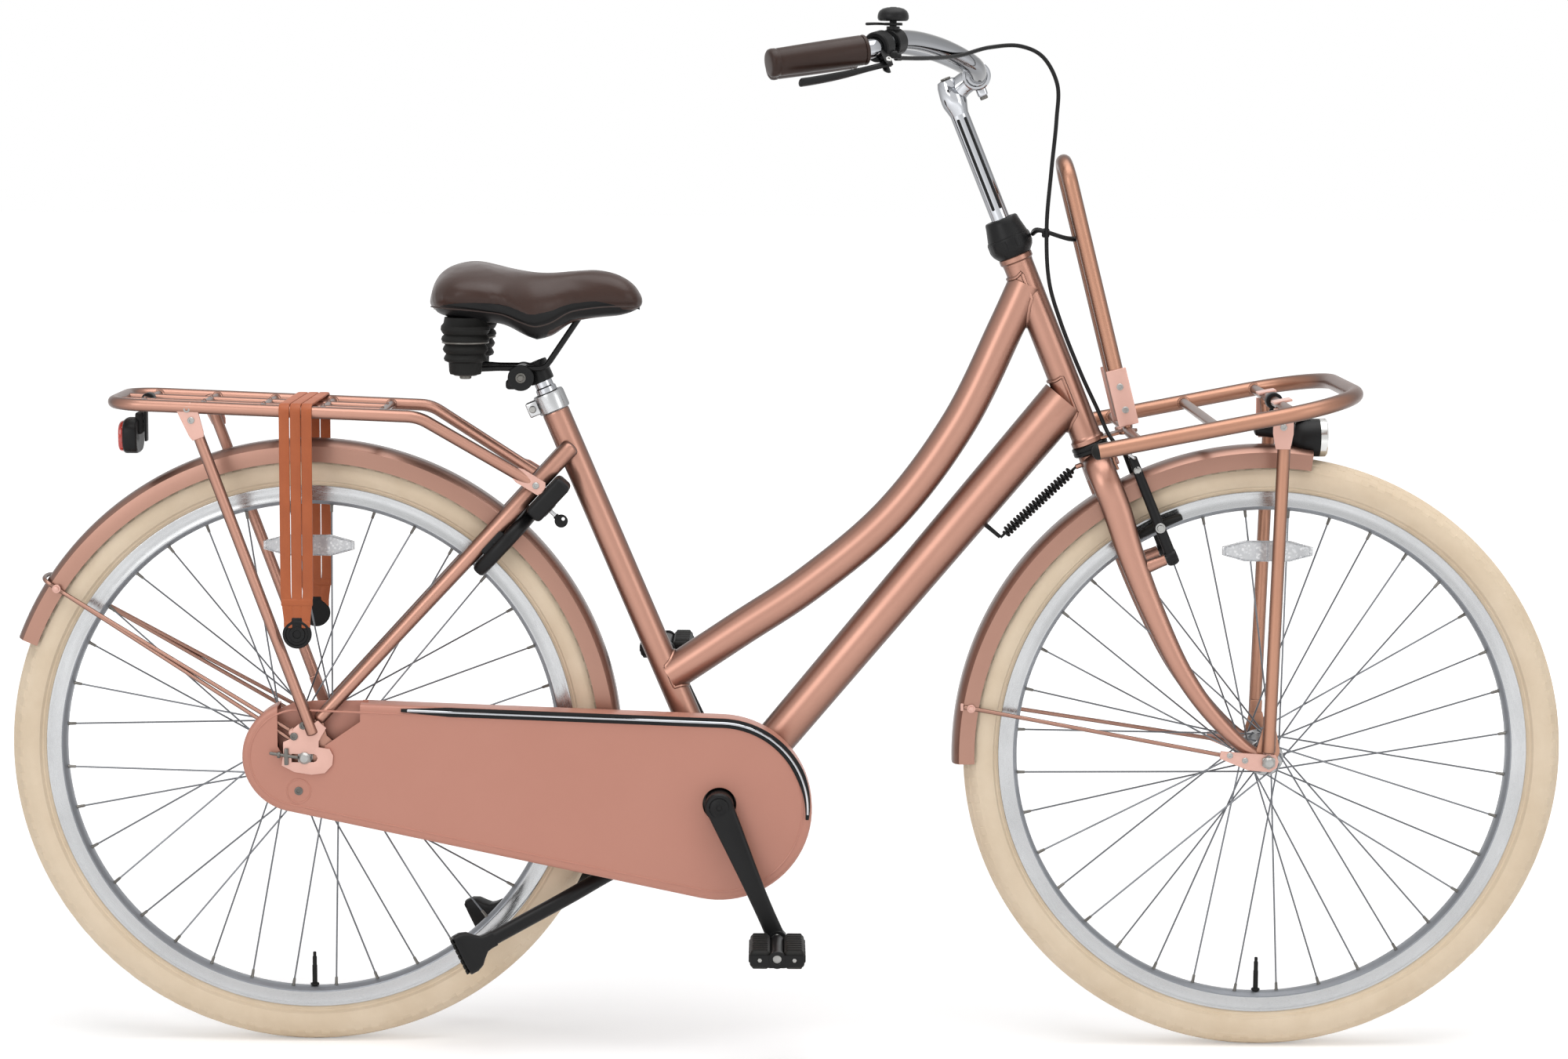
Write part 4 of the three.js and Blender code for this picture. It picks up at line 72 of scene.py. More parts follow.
# The bicycle's places in millimetres, as its solids have them
TYRE_R = 358
REAR = at(-569.5, 0, TYRE_R)
FRONT = at(569.5, 0, TYRE_R)
BRACKET = at(-80, 0, 305)
SEAT_FORWARD = heading(radians(23.3))
SEAT_DIR = at(-SEAT_FORWARD.z, 0, SEAT_FORWARD.x)
STEER_FORWARD = heading(radians(22.3))
STEER_DIR = at(-STEER_FORWARD.z, 0, STEER_FORWARD.x)
FORK_RAKE = 56.4
FORK_LENGTH = 425
HEAD_BOTTOM = FRONT - STEER_FORWARD * FORK_RAKE + STEER_DIR * FORK_LENGTH
HEAD_LENGTH = 240
SEAT_TUBE_TOP = BRACKET + SEAT_DIR * 500


def on_steerer(forward, side, along):
    return HEAD_BOTTOM + STEER_FORWARD * forward + ACROSS * side + STEER_DIR * along


def on_seat_tube(forward, side, along):
    return BRACKET + SEAT_DIR * along + SEAT_FORWARD * forward + ACROSS * side


def on_wheel(axle, reach, turn, y=0.0):
    return axle + heading(radians(turn)) * reach + ACROSS * y


def mix(a, b, share):
    return a + (b - a) * share


def between(a, b, count):
    """The values from a to b in count steps, both ends among them."""
    return [mix(a, b, k / count) for k in range(count + 1)]


def taper(start, end):
    """The radii of a tube that change evenly along it."""
    pair = [r if isinstance(r, tuple) else (r, r) for r in (start, end)]
    return lambda share: tuple(mix(a, b, share) for a, b in zip(*pair))


def ease(share):
    share = max(0.0, min(1.0, share))
    return share * share * (3 - 2 * share)


# Routes
def smooth(points, count):
    """A smooth curve through the points."""
    points = [Vector(p) for p in points]
    padded = [points[0] * 2 - points[1], *points, points[-1] * 2 - points[-2]]
    knots = [0.0]
    for here, there in zip(padded, padded[1:]):
        knots.append(knots[-1] + max((there - here).length ** 0.5, 1e-6))
    route = []
    for t in between(knots[1], knots[-2], count):
        k = max(j for j in range(1, len(padded) - 2) if knots[j] <= t + 1e-9)
        row, times = padded[k - 1:k + 3], knots[k - 1:k + 3]
        for reach in (1, 2):
            row = [mix(row[i], row[i + 1], (t - times[i]) / (times[i + reach] - times[i])) for i in range(4 - reach)]
        route.append(mix(row[0], row[1], (t - times[1]) / (times[2] - times[1])))
    return route


def bent(points, radius, count=8):
    """The points as straight runs with round corners."""
    route = [points[0]]
    for before, corner, after in zip(points, points[1:], points[2:]):
        back, on = before - corner, after - corner
        room = min(back.length, on.length) * 0.49
        back.normalize()
        on.normalize()
        half = acos(max(-1.0, min(1.0, back.dot(on)))) / 2
        if half > radians(89):
            route.append(corner)
            continue
        cut = min(radius / tan(half), room)
        centre = corner + (back + on).normalized() * (cut / cos(half))
        start, end = corner + back * cut - centre, corner + on * cut - centre
        turn = start.angle(end)
        route += [centre + (start * sin((1 - s) * turn) + end * sin(s * turn)) / sin(turn)
                  for s in between(0, 1, count)]
    return route + [points[-1]]


def resampled(route, spacing):
    """The route with points no further apart than spacing."""
    made = [route[0]]
    for here, there in zip(route, route[1:]):
        made += between(here, there, max(1, ceil((there - here).length / spacing)))[1:]
    return made


def length_of(route):
    return sum((there - here).length for here, there in zip(route, route[1:]))


# Shapes in millimetres, each added to the bench, from which piece() and cut_away() take what is on it
def lean_of(axis):
    return UP if abs(axis.dot(UP)) < 0.95 else AHEAD


def frame_at(origin, axis, upward=None):
    """A place whose Z runs along axis and whose X leans to upward."""
    z = axis.normalized()
    guide = upward or lean_of(z)
    x = (guide - z * guide.dot(z)).normalized()
    return Matrix.Translation(origin) @ Matrix((x, z.cross(x), z)).transposed().to_4x4()


def side_on(place):
    return frame_at(place, -ACROSS, AHEAD)


def ring_edges(verts):
    ring = set(verts)
    return [e for e in {e for v in verts for e in v.link_edges} if e.verts[0] in ring and e.verts[1] in ring]


def extruded(ring):
    """The next ring, joined to this one by faces."""
    made = bmesh.ops.extrude_edge_only(BENCH, edges=ring_edges(ring))["geom"]
    return [g for g in made if isinstance(g, bmesh.types.BMVert)]


def cap(*rings):
    for ring in rings:
        bmesh.ops.contextual_create(BENCH, geom=ring_edges(ring))


def soften_edges(shape, edges, offset, segments=2):
    bmesh.ops.bevel(shape, geom=edges, offset=offset, offset_type="OFFSET", segments=segments, profile=0.5,
                    affect="EDGES", material=-1, clamp_overlap=True)


def tube(route, radius, sides=24, upward=None, domes=(0, 0), closed=False, square=1.0):
    """A tube along a route. radius is one number or two, or a function of the share of its length that gives them.

    square below 1 flattens the round section towards a rectangle."""
    route = [Vector(p) for p in route]
    lengths = [0.0]
    for here, there in zip(route, route[1:]):
        lengths.append(lengths[-1] + (there - here).length)
    count = len(route)
    guide = upward
    stations = []
    for i, point in enumerate(route):
        after, before = ((i + 1) % count, i - 1) if closed else (min(i + 1, count - 1), max(i - 1, 0))
        tangent = (route[after] - route[before]).normalized()
        guide = upward or guide or lean_of(tangent)
        guide = (guide - tangent * guide.dot(tangent)).normalized()
        radii = radius(lengths[i] / lengths[-1]) if callable(radius) else radius
        stations.append((point, tangent, guide, radii if isinstance(radii, tuple) else (radii, radii)))

    def dome(station, reach):
        point, tangent, lean, radii = station
        return [(point + tangent * reach * sin(a), tangent, lean, tuple(r * max(cos(a), 0.06) for r in radii))
                for a in between(0, pi / 2, 5)[1:]]

    if domes[0]:
        stations = dome(stations[0], -domes[0])[::-1] + stations
    if domes[1]:
        stations += dome(stations[-1], domes[1])
    ring = first = bmesh.ops.create_circle(BENCH, segments=sides, radius=1)["verts"]
    if square != 1.0:
        for vert in ring:
            vert.co = [copysign(abs(c) ** square, c) for c in vert.co]
    before = Matrix()
    for i, (point, tangent, lean, radii) in enumerate(stations):
        ring = extruded(ring) if i else ring
        now = frame_at(point, tangent, lean) @ Matrix.Diagonal((*radii, 1, 1))
        bmesh.ops.transform(BENCH, matrix=now @ before.inverted(), verts=ring)
        before = now
    if closed:
        bmesh.ops.bridge_loops(BENCH, edges=ring_edges(ring) + ring_edges(first))
    else:
        cap(first, ring)


def lathe(profile, origin, axis, steps=48, upward=None):
    """A round body from a profile of (radius, place along the axis). It closes on the axis or on itself."""
    matrix = frame_at(origin, axis, upward)
    verts = [BENCH.verts.new(matrix @ at(r, 0, a)) for r, a in profile]
    edges = [BENCH.edges.new(pair) for pair in zip(verts, verts[1:])]
    if profile[0][0] > 0 and profile[-1][0] > 0:
        edges.append(BENCH.edges.new((verts[-1], verts[0])))
    bmesh.ops.spin(BENCH, geom=verts + edges, cent=origin, axis=axis.normalized(), dvec=(0, 0, 0), angle=tau,
                   steps=steps, use_merge=True)


def both(half):
    """A lathe profile from its lower half."""
    return half + [(r, -a) for r, a in reversed(half)]


def block(size, place, bevel=0.0, segments=2):
    matrix = place if isinstance(place, Matrix) else Matrix.Translation(place)
    made = bmesh.ops.create_cube(BENCH, size=1, matrix=matrix @ Matrix.Diagonal((*size, 1)))["verts"]
    if bevel:
        soften_edges(BENCH, ring_edges(made), bevel, segments)


def plate(outline, thickness, matrix, holes=(), bevel=0.0, segments=2):
    """A flat plate in its own XY plane, from an outline and its holes, with its middle at Z 0."""
    part = bmesh.new()
    loops = []
    for loop in (outline, *holes):
        verts = [part.verts.new((x, y, -thickness / 2)) for x, y in loop]
        loops += [part.edges.new(pair) for pair in zip(verts, verts[1:] + verts[:1])]
    if holes:
        bmesh.ops.triangle_fill(part, use_beauty=True, edges=loops)
    else:
        bmesh.ops.contextual_create(part, geom=loops)
    made = bmesh.ops.extrude_face_region(part, geom=part.faces[:])["geom"]
    bmesh.ops.translate(part, vec=(0, 0, thickness), verts=[g for g in made if isinstance(g, bmesh.types.BMVert)])
    bmesh.ops.recalc_face_normals(part, faces=part.faces)
    if bevel:
        rims = [e for e in part.edges if len(e.link_faces) == 2 and e.calc_face_angle(0) > radians(60)
                and abs(e.verts[0].co.z - e.verts[1].co.z) < 1e-6]
        soften_edges(part, rims, bevel, segments)
    mesh = bpy.data.meshes.new("plate")
    part.to_mesh(mesh)
    part.free()
    mesh.transform(matrix)
    BENCH.from_mesh(mesh)
    bpy.data.meshes.remove(mesh)


def circle(x, y, radius, count=24):
    return [(x + radius * cos(tau * i / count), y + radius * sin(tau * i / count)) for i in range(count)]


def washer_plate(radius, thickness, matrix, hole, count=32, bevel=0.8):
    """A round plate with a round hole."""
    plate(circle(0, 0, radius, count), thickness, matrix, [circle(0, 0, hole)], bevel)


def hexagon(place, across, height, bevel):
    made = bmesh.ops.create_cone(BENCH, cap_ends=True, segments=6, radius1=across, radius2=across,
                                 depth=height, matrix=place)["verts"]
    soften_edges(BENCH, ring_edges(made), bevel)


def hex_bolt(origin, axis, across=5.0, height=3.5, washer=6.0):
    """A bolt head on its washer, standing on origin and pointing along axis."""
    lathe([(0, 0), (washer * 0.96, 0), (washer, 0.25), (washer, 0.9), (washer * 0.96, 1.1), (0, 1.1)], origin,
          axis, 20)
    hexagon(frame_at(origin + axis.normalized() * (1.1 + height / 2), axis), across, height, 0.5)


def socket_bolt(origin, axis, radius=4.0, height=3.0):
    """A round bolt head with a hollow in it."""
    lathe([(0, 0), (radius, 0), (radius, height * 0.7), (radius * 0.8, height), (radius * 0.5, height),
           (radius * 0.46, height * 0.35), (0, height * 0.3)], origin, axis, 20)


# Pieces
def close_up():
    """Joins the doubled points on the bench and turns its faces outward."""
    bmesh.ops.remove_doubles(BENCH, verts=BENCH.verts, dist=0.004)
    bmesh.ops.recalc_face_normals(BENCH, faces=BENCH.faces)


def link(name, data):
    obj = bpy.data.objects.new(name, data)
    bpy.context.scene.collection.objects.link(obj)
    return obj


def taken(name):
    """What is on the bench, as an object in metres."""
    bmesh.ops.recalc_face_normals(BENCH, faces=BENCH.faces)
    bmesh.ops.scale(BENCH, vec=(MM, MM, MM), verts=BENCH.verts)
    mesh = bpy.data.meshes.new(name)
    BENCH.to_mesh(mesh)
    BENCH.clear()
    return link(name, mesh)


def shade(obj, angle=32):
    """Shades faces smooth, with sharp edges at corners and round a flat face much larger than its neighbour."""
    shape = bmesh.new()
    shape.from_mesh(obj.data)
    areas = []
    for face in shape.faces:
        face.smooth = True
        areas.append(face.calc_area())
    for edge in shape.edges:
        if len(edge.link_faces) == 2:
            turn = degrees(edge.calc_face_angle(0))
            small, large = sorted(areas[face.index] for face in edge.link_faces)
            edge.smooth = turn < angle and not (turn > 4 and large > 25 * small)
    shape.to_mesh(obj.data)
    shape.free()


# Bodies and slots that many pieces share
FRAME = ("frame", "frame_paint")
RACK = ("steering", "carrier_paint")
CONTROLS = ("steering", "black_plastic")
CARRIER = ("frame", "carrier_paint")
CASE = ("frame", "chaincase_plastic")
SEAT = ("seat", "black_metal")
BLACK_STEERING = ("steering", "black_metal")
FORK = ("steering", "frame_paint")
CRANKS = ("cranks", "black_metal")
LOCK = ("frame", "black_metal")


def piece(name, material, body, slot, *nodes, angle=32):
    """Makes what is on the bench a piece of the bicycle: closed, shaded and on its body. The slot it is given is not
    used.
    """
    close_up()
    obj = taken(name)
    shade(obj, angle)
    obj.data.materials.append(material)
    if body:
        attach(obj, body)
    if nodes:
        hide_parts(*nodes)
    return obj


def bake_modifiers(obj):
    """Puts the result of the piece's modifiers into its mesh."""
    bpy.context.view_layer.update()
    view = bpy.context.evaluated_depsgraph_get()
    made = bpy.data.meshes.new_from_object(obj.evaluated_get(view), preserve_all_data_layers=True, depsgraph=view)
    obj.modifiers.clear()
    obj.data = made


def modify(obj, kind, **settings):
    step = obj.modifiers.new(kind.lower(), kind)
    for key, value in settings.items():
        setattr(step, key, value)
    bake_modifiers(obj)


def cut_away(obj):
    """Cuts what is on the bench out of the piece."""
    tool = taken("cutter")
    modify(obj, "BOOLEAN", operation="DIFFERENCE", solver="EXACT", object=tool)
    bpy.data.objects.remove(tool)


def cut_rods(obj, *rods):
    """Cuts round rods (start, end, radius) out of the piece, one after the other."""
    for start, end, radius in rods:
        tube([start, end], radius, 32)
        cut_away(obj)


# Finishes
FLOAT = "NodeSocketFloat"
COLOR = "NodeSocketColor"
VECTOR = "NodeSocketVector"


class Recipe:
    """Nodes of one material or group, placed by kind and joined by name."""

    def __init__(self, tree):
        self.tree = tree
        tree.nodes.clear()

    def node(self, kind, inputs=None, **settings):
        made = self.tree.nodes.new(kind if kind.startswith("Node") else "ShaderNode" + kind)
        for key, value in settings.items():
            setattr(made, key, value)
        for key, value in (inputs or {}).items():
            if isinstance(value, bpy.types.NodeSocket):
                self.tree.links.new(value, made.inputs[key])
            else:
                made.inputs[key].default_value = value
        return made

    def use(self, tree, *values):
        """A shared group with its inputs in their order."""
        return self.node("Group", dict(enumerate(values)), node_tree=tree).outputs

    def here(self):
        return self.node("TexCoord").outputs["Object"]

    def noise(self, place, scale, detail=3.0, rough=0.55):
        given = {"Vector": place, "Scale": scale, "Detail": detail, "Roughness": rough}
        return self.node("TexNoise", given).outputs["Fac"]

    def blend(self, share, first, second):
        return self.node("Mix", {0: share, 6: first, 7: second}, data_type="RGBA").outputs[2]

    def maths(self, operation, *values, clamp=False):
        return self.node("Math", dict(enumerate(values)), operation=operation, use_clamp=clamp).outputs[0]

    def ramp(self, value, *ends):
        return self.node("MapRange", dict(enumerate((value, *ends)))).outputs["Result"]

    def seen(self):
        """1 for the rays that show a surface itself: from the camera, mirrored or through glass."""
        rays = self.node("LightPath").outputs
        near = self.maths("MAXIMUM", rays["Is Camera Ray"], rays["Is Glossy Ray"])
        return self.maths("MAXIMUM", near, rays["Is Transmission Ray"])


def group(name, inputs, outputs):
    """A shared shader group with named sockets: its recipe and what it is given."""
    tree = bpy.data.node_groups.new(name, "ShaderNodeTree")
    for socket, kind, value in inputs:
        tree.interface.new_socket(name=socket, in_out="INPUT", socket_type=kind).default_value = value
    for socket, kind in outputs:
        tree.interface.new_socket(name=socket, in_out="OUTPUT", socket_type=kind)
    recipe = Recipe(tree)
    return recipe, recipe.node("NodeGroupInput").outputs


def handled_surface():
    """Cloudy colour, fine grain and a little grime: the ground of every finish."""
    recipe, given = group("handled_surface", [
        ("Colour", COLOR, (0.5, 0.5, 0.5, 1)), ("Shade", COLOR, (0.3, 0.3, 0.3, 1)), ("Cloud size", FLOAT, 14.0),
        ("Cloud share", FLOAT, 0.25), ("Grain size", FLOAT, 900.0), ("Roughness", FLOAT, 0.4),
        ("Roughness change", FLOAT, 0.1)], [("Colour", COLOR), ("Roughness", FLOAT), ("Grain", FLOAT)])
    place = recipe.here()
    cloud = recipe.noise(place, given["Cloud size"], 5.0, 0.6)
    grain = recipe.noise(place, given["Grain size"], 2.0, 0.5)
    share = recipe.maths("MULTIPLY", recipe.ramp(cloud, 0.35, 0.7), given["Cloud share"])
    colour = recipe.blend(share, given["Colour"], given["Shade"])
    fine = recipe.maths("MULTIPLY", recipe.ramp(grain, 0.3, 0.7), 0.10)
    change = recipe.maths("MULTIPLY", recipe.ramp(cloud, 0.3, 0.7, -0.5, 0.5), given["Roughness change"])
    recipe.node("NodeGroupOutput", {"Colour": recipe.blend(fine, colour, given["Shade"]), "Grain": grain,
                                    "Roughness": recipe.maths("ADD", given["Roughness"], change, clamp=True)})
    return recipe.tree


def paint_flakes():
    """The small bright flakes of a metallic paint."""
    recipe, given = group("paint_flakes", [
        ("Colour", COLOR, (0.5, 0.3, 0.2, 1)), ("Flake colour", COLOR, (0.9, 0.7, 0.6, 1)),
        ("Flake size", FLOAT, 2600.0), ("Flake share", FLOAT, 0.2)], [("Colour", COLOR), ("Height", FLOAT)])
    cells = recipe.node("TexVoronoi", {"Vector": recipe.here(), "Scale": given["Flake size"]})
    spread = recipe.node("SeparateColor", {"Color": cells.outputs["Color"]}).outputs[0]
    bright = recipe.maths("MULTIPLY", recipe.ramp(spread, 0.72, 1.0), given["Flake share"])
    recipe.node("NodeGroupOutput", {"Colour": recipe.blend(bright, given["Colour"], given["Flake colour"]),
                                    "Height": spread})
    return recipe.tree


def turned_lines():
    """Fine lines round a wheel's axle, as a lathe or a brake leaves them."""
    recipe, given = group("turned_lines", [("Centre", VECTOR, (0, 0, 0)), ("Line size", FLOAT, 900.0)],
                          [("Lines", FLOAT)])
    local = recipe.node("VectorMath", {0: recipe.here(), 1: given["Centre"]}, operation="SUBTRACT")
    parts = recipe.node("SeparateXYZ", {"Vector": local.outputs[0]}).outputs
    flat = recipe.node("CombineXYZ", {"X": parts["X"], "Z": parts["Z"]})
    reach = recipe.node("VectorMath", {0: flat.outputs[0]}, operation="LENGTH").outputs["Value"]
    slow = recipe.maths("MULTIPLY", recipe.maths("ARCTAN2", parts["Z"], parts["X"]), 0.02)
    row = recipe.node("CombineXYZ", {"X": reach, "Y": slow, "Z": parts["Y"]})
    recipe.node("NodeGroupOutput", {"Lines": recipe.noise(row.outputs[0], given["Line size"], 2.0, 0.6)})
    return recipe.tree


def pebbled_hide():
    """The pebbles and soft creases of grained leathercloth."""
    recipe, given = group("pebbled_hide", [("Pebble size", FLOAT, 700.0), ("Crease size", FLOAT, 60.0)],
                          [("Height", FLOAT), ("Worn", FLOAT)])
    place = recipe.here()
    cells = recipe.node("TexVoronoi", {"Vector": place, "Scale": given["Pebble size"]}, feature="SMOOTH_F1")
    crease = recipe.noise(place, given["Crease size"], 4.0, 0.6)
    recipe.node("NodeGroupOutput", {
        "Height": recipe.maths("ADD", recipe.maths("MULTIPLY", cells.outputs["Distance"], -0.8), crease),
        "Worn": recipe.ramp(recipe.noise(place, 22.0, 4.0, 0.6), 0.45, 0.75)})
    return recipe.tree


HANDLED = handled_surface()
FLAKES = paint_flakes()
LINES = turned_lines()
HIDE = pebbled_hide()


def tint(red, green, blue):
    """A screen colour, 0 to 255, as the shader's own value."""
    return tuple((v / 255 / 12.92) if v <= 10 else ((v / 255 + 0.055) / 1.055) ** 2.4
                 for v in (red, green, blue)) + (1,)


def finish(name, colour, shaded, rough, change=0.1, cloud=14.0, share=0.25, grain=900.0, bump=0.08,
           metallic=0.0, depth=0.0002, flakes=None, lines=None, hide=None, edge=None, **sockets):
    """A finish: cloudy colour and grain, with flakes, turned lines or hide grain where the real one has them.

    edge=(colour, start, end, share) is painted shade: it darkens what turns away from the eye, in place of the dark
    surroundings that paint and bright metal would reflect there."""
    material = bpy.data.materials.new(name)
    material.use_nodes = True
    recipe = Recipe(material.node_tree)
    ground = recipe.use(HANDLED, tint(*colour), tint(*shaded), cloud, share, grain, rough, change)
    tone, height, rough = ground["Colour"], ground["Grain"], ground["Roughness"]
    if flakes:
        tone, height = recipe.use(FLAKES, tone, tint(*flakes[0]), *flakes[1:])
    if lines:
        height = recipe.use(LINES, *lines)[0]
        rough = recipe.maths("ADD", rough, recipe.ramp(height, 0.3, 0.7, -0.08, 0.08))
    if hide:
        height, worn = recipe.use(HIDE, *hide)
        rough = recipe.maths("SUBTRACT", rough, recipe.maths("MULTIPLY", worn, 0.12))
    # Painted shade: the colour darkens where the surface turns away from the eye.
    if edge:
        away = recipe.node("LayerWeight", {"Blend": 0.5}).outputs["Facing"]
        tone = recipe.blend(recipe.ramp(away, *edge[1:3], 0.0, edge[3]), tone, tint(*edge[0]))
    relief = recipe.node("Bump", {"Strength": bump, "Distance": depth, "Height": height})
    shader = recipe.node("BsdfPrincipled", {"Base Color": tone, "Roughness": rough,
                                            "Normal": relief.outputs["Normal"], "Metallic": metallic,
                                            **{key.replace("_", " "): value for key, value in sockets.items()}})
    recipe.node("OutputMaterial", {"Surface": shader.outputs["BSDF"]}).is_active_output = True
    return material


def paint(name, colour, shaded, flake, edge, rough=0.34, metallic=0.7, coat=0.16):
    """A metallic paint with fine flakes under a thin coat, and painted shade where it turns away from the eye."""
    return finish(name, colour, shaded, rough, 0.05, 9.0, bump=0.015, metallic=metallic, depth=0.00003,
                  flakes=(flake, 5200.0, 0.12), edge=edge, Coat_Weight=0.14, Coat_Roughness=coat)


# The edge colours of these three paints are painted shade: the paint grows darker where a tube or blade turns away
# from the eye.
copper_paint = paint("rose_copper_paint", (187, 140, 122), (172, 124, 106), (196, 150, 132),
                     ((76, 48, 37), 0.02, 0.62, 0.92))
# A darker copy of the frame's paint for the mudguards and their wires: painted shade over the whole blade.
guard_paint_darkened_as_painted_shade = paint("rose_copper_paint_darkened_as_painted_shade", (170, 129, 113), (152, 112, 97), (180, 138, 122),
                    ((76, 48, 37), 0.02, 0.7, 0.9))
orange_paint = paint("orange_copper_paint", (187, 138, 114), (170, 118, 92), (198, 150, 124),
                     ((80, 50, 36), 0.02, 0.62, 0.92), 0.36, 0.65, 0.18)
case_plastic = finish("salmon_case_plastic", (193, 134, 116), (182, 122, 104), 0.42, 0.06, 7.0, 0.25, 1500.0,
                      0.03, metallic=0.1, depth=0.0001, Coat_Weight=0.1, Coat_Roughness=0.3)
cream_rubber = finish("cream_tyre_rubber", (232, 213, 187), (206, 182, 150), 0.62, 0.1, 16.0, 0.4, 1300.0, 0.25,
                      depth=0.0002)
bright_rims, matt_rims = {}, {}
for end, axle in (("rear", REAR), ("front", FRONT)):
    bright_rims[end] = finish("polished_%s_rim" % end, (188, 189, 190), (150, 151, 153), 0.24, 0.08, 10.0,
                              bump=0.04, metallic=1.0, depth=0.00012, lines=(axle * MM, 1500.0))
    matt_rims[end] = finish("matt_%s_rim_bed" % end, (140, 143, 148), (110, 112, 116), 0.46, 0.08, 10.0, 0.3,
                            bump=0.1, metallic=0.9, depth=0.00012, lines=(axle * MM, 900.0))
# Its edge colour is a painted reflection of dark surroundings: the metal darkens where it turns away from the eye.
bright_metal = finish("bright_aluminium", (196, 197, 198), (166, 166, 168), 0.26, 0.1, 18.0, 0.25, 1400.0,
                      0.05, metallic=1.0, depth=0.0001, edge=((58, 59, 62), 0.1, 0.9, 0.95))
hub_metal = finish("dull_hub_aluminium", (176, 177, 178), (132, 133, 134), 0.36, 0.1, 20.0, 0.4, 1100.0,
                   0.08, metallic=0.95, depth=0.0001)
# Its edge colour is a painted reflection of dark surroundings: the chrome darkens where it turns away from the eye.
chrome = finish("polished_chrome", (196, 198, 202), (172, 175, 180), 0.09, 0.05, 14.0, 0.2, 900.0, 0.015,
                metallic=1.0, depth=0.00006, edge=((34, 35, 38), 0.06, 0.85, 0.97))
spoke_steel = finish("drawn_spoke_steel", (112, 114, 118), (84, 86, 90), 0.3, 0.08, 40.0, 0.3, 1500.0, 0.04,
                     metallic=1.0, depth=0.00005)
dark_steel = finish("oiled_steel", (118, 116, 112), (76, 72, 66), 0.38, 0.12, 60.0, 0.5, 1400.0, 0.1,
                    metallic=0.9, depth=0.00012)
zinc = finish("zinc_plated_steel", (172, 172, 170), (132, 130, 124), 0.34, 0.1, 50.0, 0.4, 1400.0, 0.06,
              metallic=0.95, depth=0.0001)
pink_zinc = finish("pale_painted_plate", (226, 180, 166), (204, 154, 138), 0.4, 0.1, 20.0, 0.3, 1200.0, 0.05,
                   metallic=0.35, depth=0.0001, Coat_Weight=0.2)
satin_black = finish("satin_black_metal", (17, 17, 18), (30, 30, 30), 0.4, 0.1, 22.0, 0.35, 1200.0, 0.06,
                     depth=0.0001, Specular_IOR_Level=0.22)
black_plastic = finish("moulded_black_plastic", (15, 15, 16), (27, 27, 27), 0.46, 0.1, 26.0, 0.35, 1500.0, 0.15,
                       depth=0.00012, Specular_IOR_Level=0.22)
black_rubber = finish("black_rubber", (20, 20, 19), (34, 33, 31), 0.62, 0.1, 30.0, 0.4, 1300.0, 0.2,
                      depth=0.00015, Specular_IOR_Level=0.22)
hose_skin = finish("cable_hose_skin", (15, 15, 16), (26, 26, 26), 0.42, 0.08, 30.0, 0.3, 1300.0, 0.1,
                   depth=0.0001, Specular_IOR_Level=0.22)
brown_hide = finish("dark_brown_leathercloth", (58, 36, 28), (42, 26, 20), 0.4, 0.08, 20.0, 0.4, bump=0.32,
                    depth=0.00022, hide=(820.0, 55.0), Coat_Weight=0.05, Coat_Roughness=0.3, Specular_IOR_Level=0.3)
grip_hide = finish("dark_brown_grip_rubber", (50, 32, 25), (38, 24, 19), 0.44, 0.08, 26.0, 0.35, bump=0.25,
                   depth=0.0002, hide=(1000.0, 80.0), Coat_Weight=0.04, Specular_IOR_Level=0.25)
seam_thread = finish("brown_seam_thread", (44, 27, 21), (34, 21, 16), 0.6, 0.1, 40.0, 0.3, 1500.0, 0.2)
strap_rubber = finish("tan_strap_rubber", (178, 92, 46), (140, 66, 32), 0.52, 0.1, 18.0, 0.4, 1300.0, 0.14,
                      depth=0.00015)
smoke_lens = finish("clear_lens", (232, 234, 236), (214, 216, 220), 0.08, 0.04, 20.0, 0.1, 900.0, 0.02,
                    depth=0.00005, Transmission_Weight=0.85, IOR=1.49)
prism_lens = finish("grey_reflector_prisms", (204, 206, 208), (150, 152, 156), 0.16, 0.06, 60.0, 0.4, 900.0,
                    0.3, metallic=0.35, depth=0.0003, flakes=((250, 250, 252), 420.0, 0.6),
                    Coat_Weight=0.8, Coat_Roughness=0.04)
red_lens = finish("red_lamp_lens", (196, 38, 22), (150, 16, 10), 0.14, 0.05, 60.0, 0.3, 900.0, 0.25,
                  depth=0.0003, flakes=((255, 96, 50), 480.0, 0.35), Coat_Weight=0.9, Coat_Roughness=0.04)
silver_band = finish("silver_lamp_band", (214, 214, 212), (184, 184, 182), 0.2, 0.06, 20.0, 0.2, 1200.0,
                     0.04, metallic=1.0, depth=0.0001)
pedal_black = finish("pedal_block_rubber", (20, 20, 19), (36, 35, 33), 0.6, 0.1, 26.0, 0.45, 1300.0, 0.22,
                     depth=0.0002, Specular_IOR_Level=0.22)


# Wheels
RIM_EDGE = 317
RIM_FLOOR = 306
RIM_SHOULDER = 299
RIM_BED = 294
SPOKES = 18


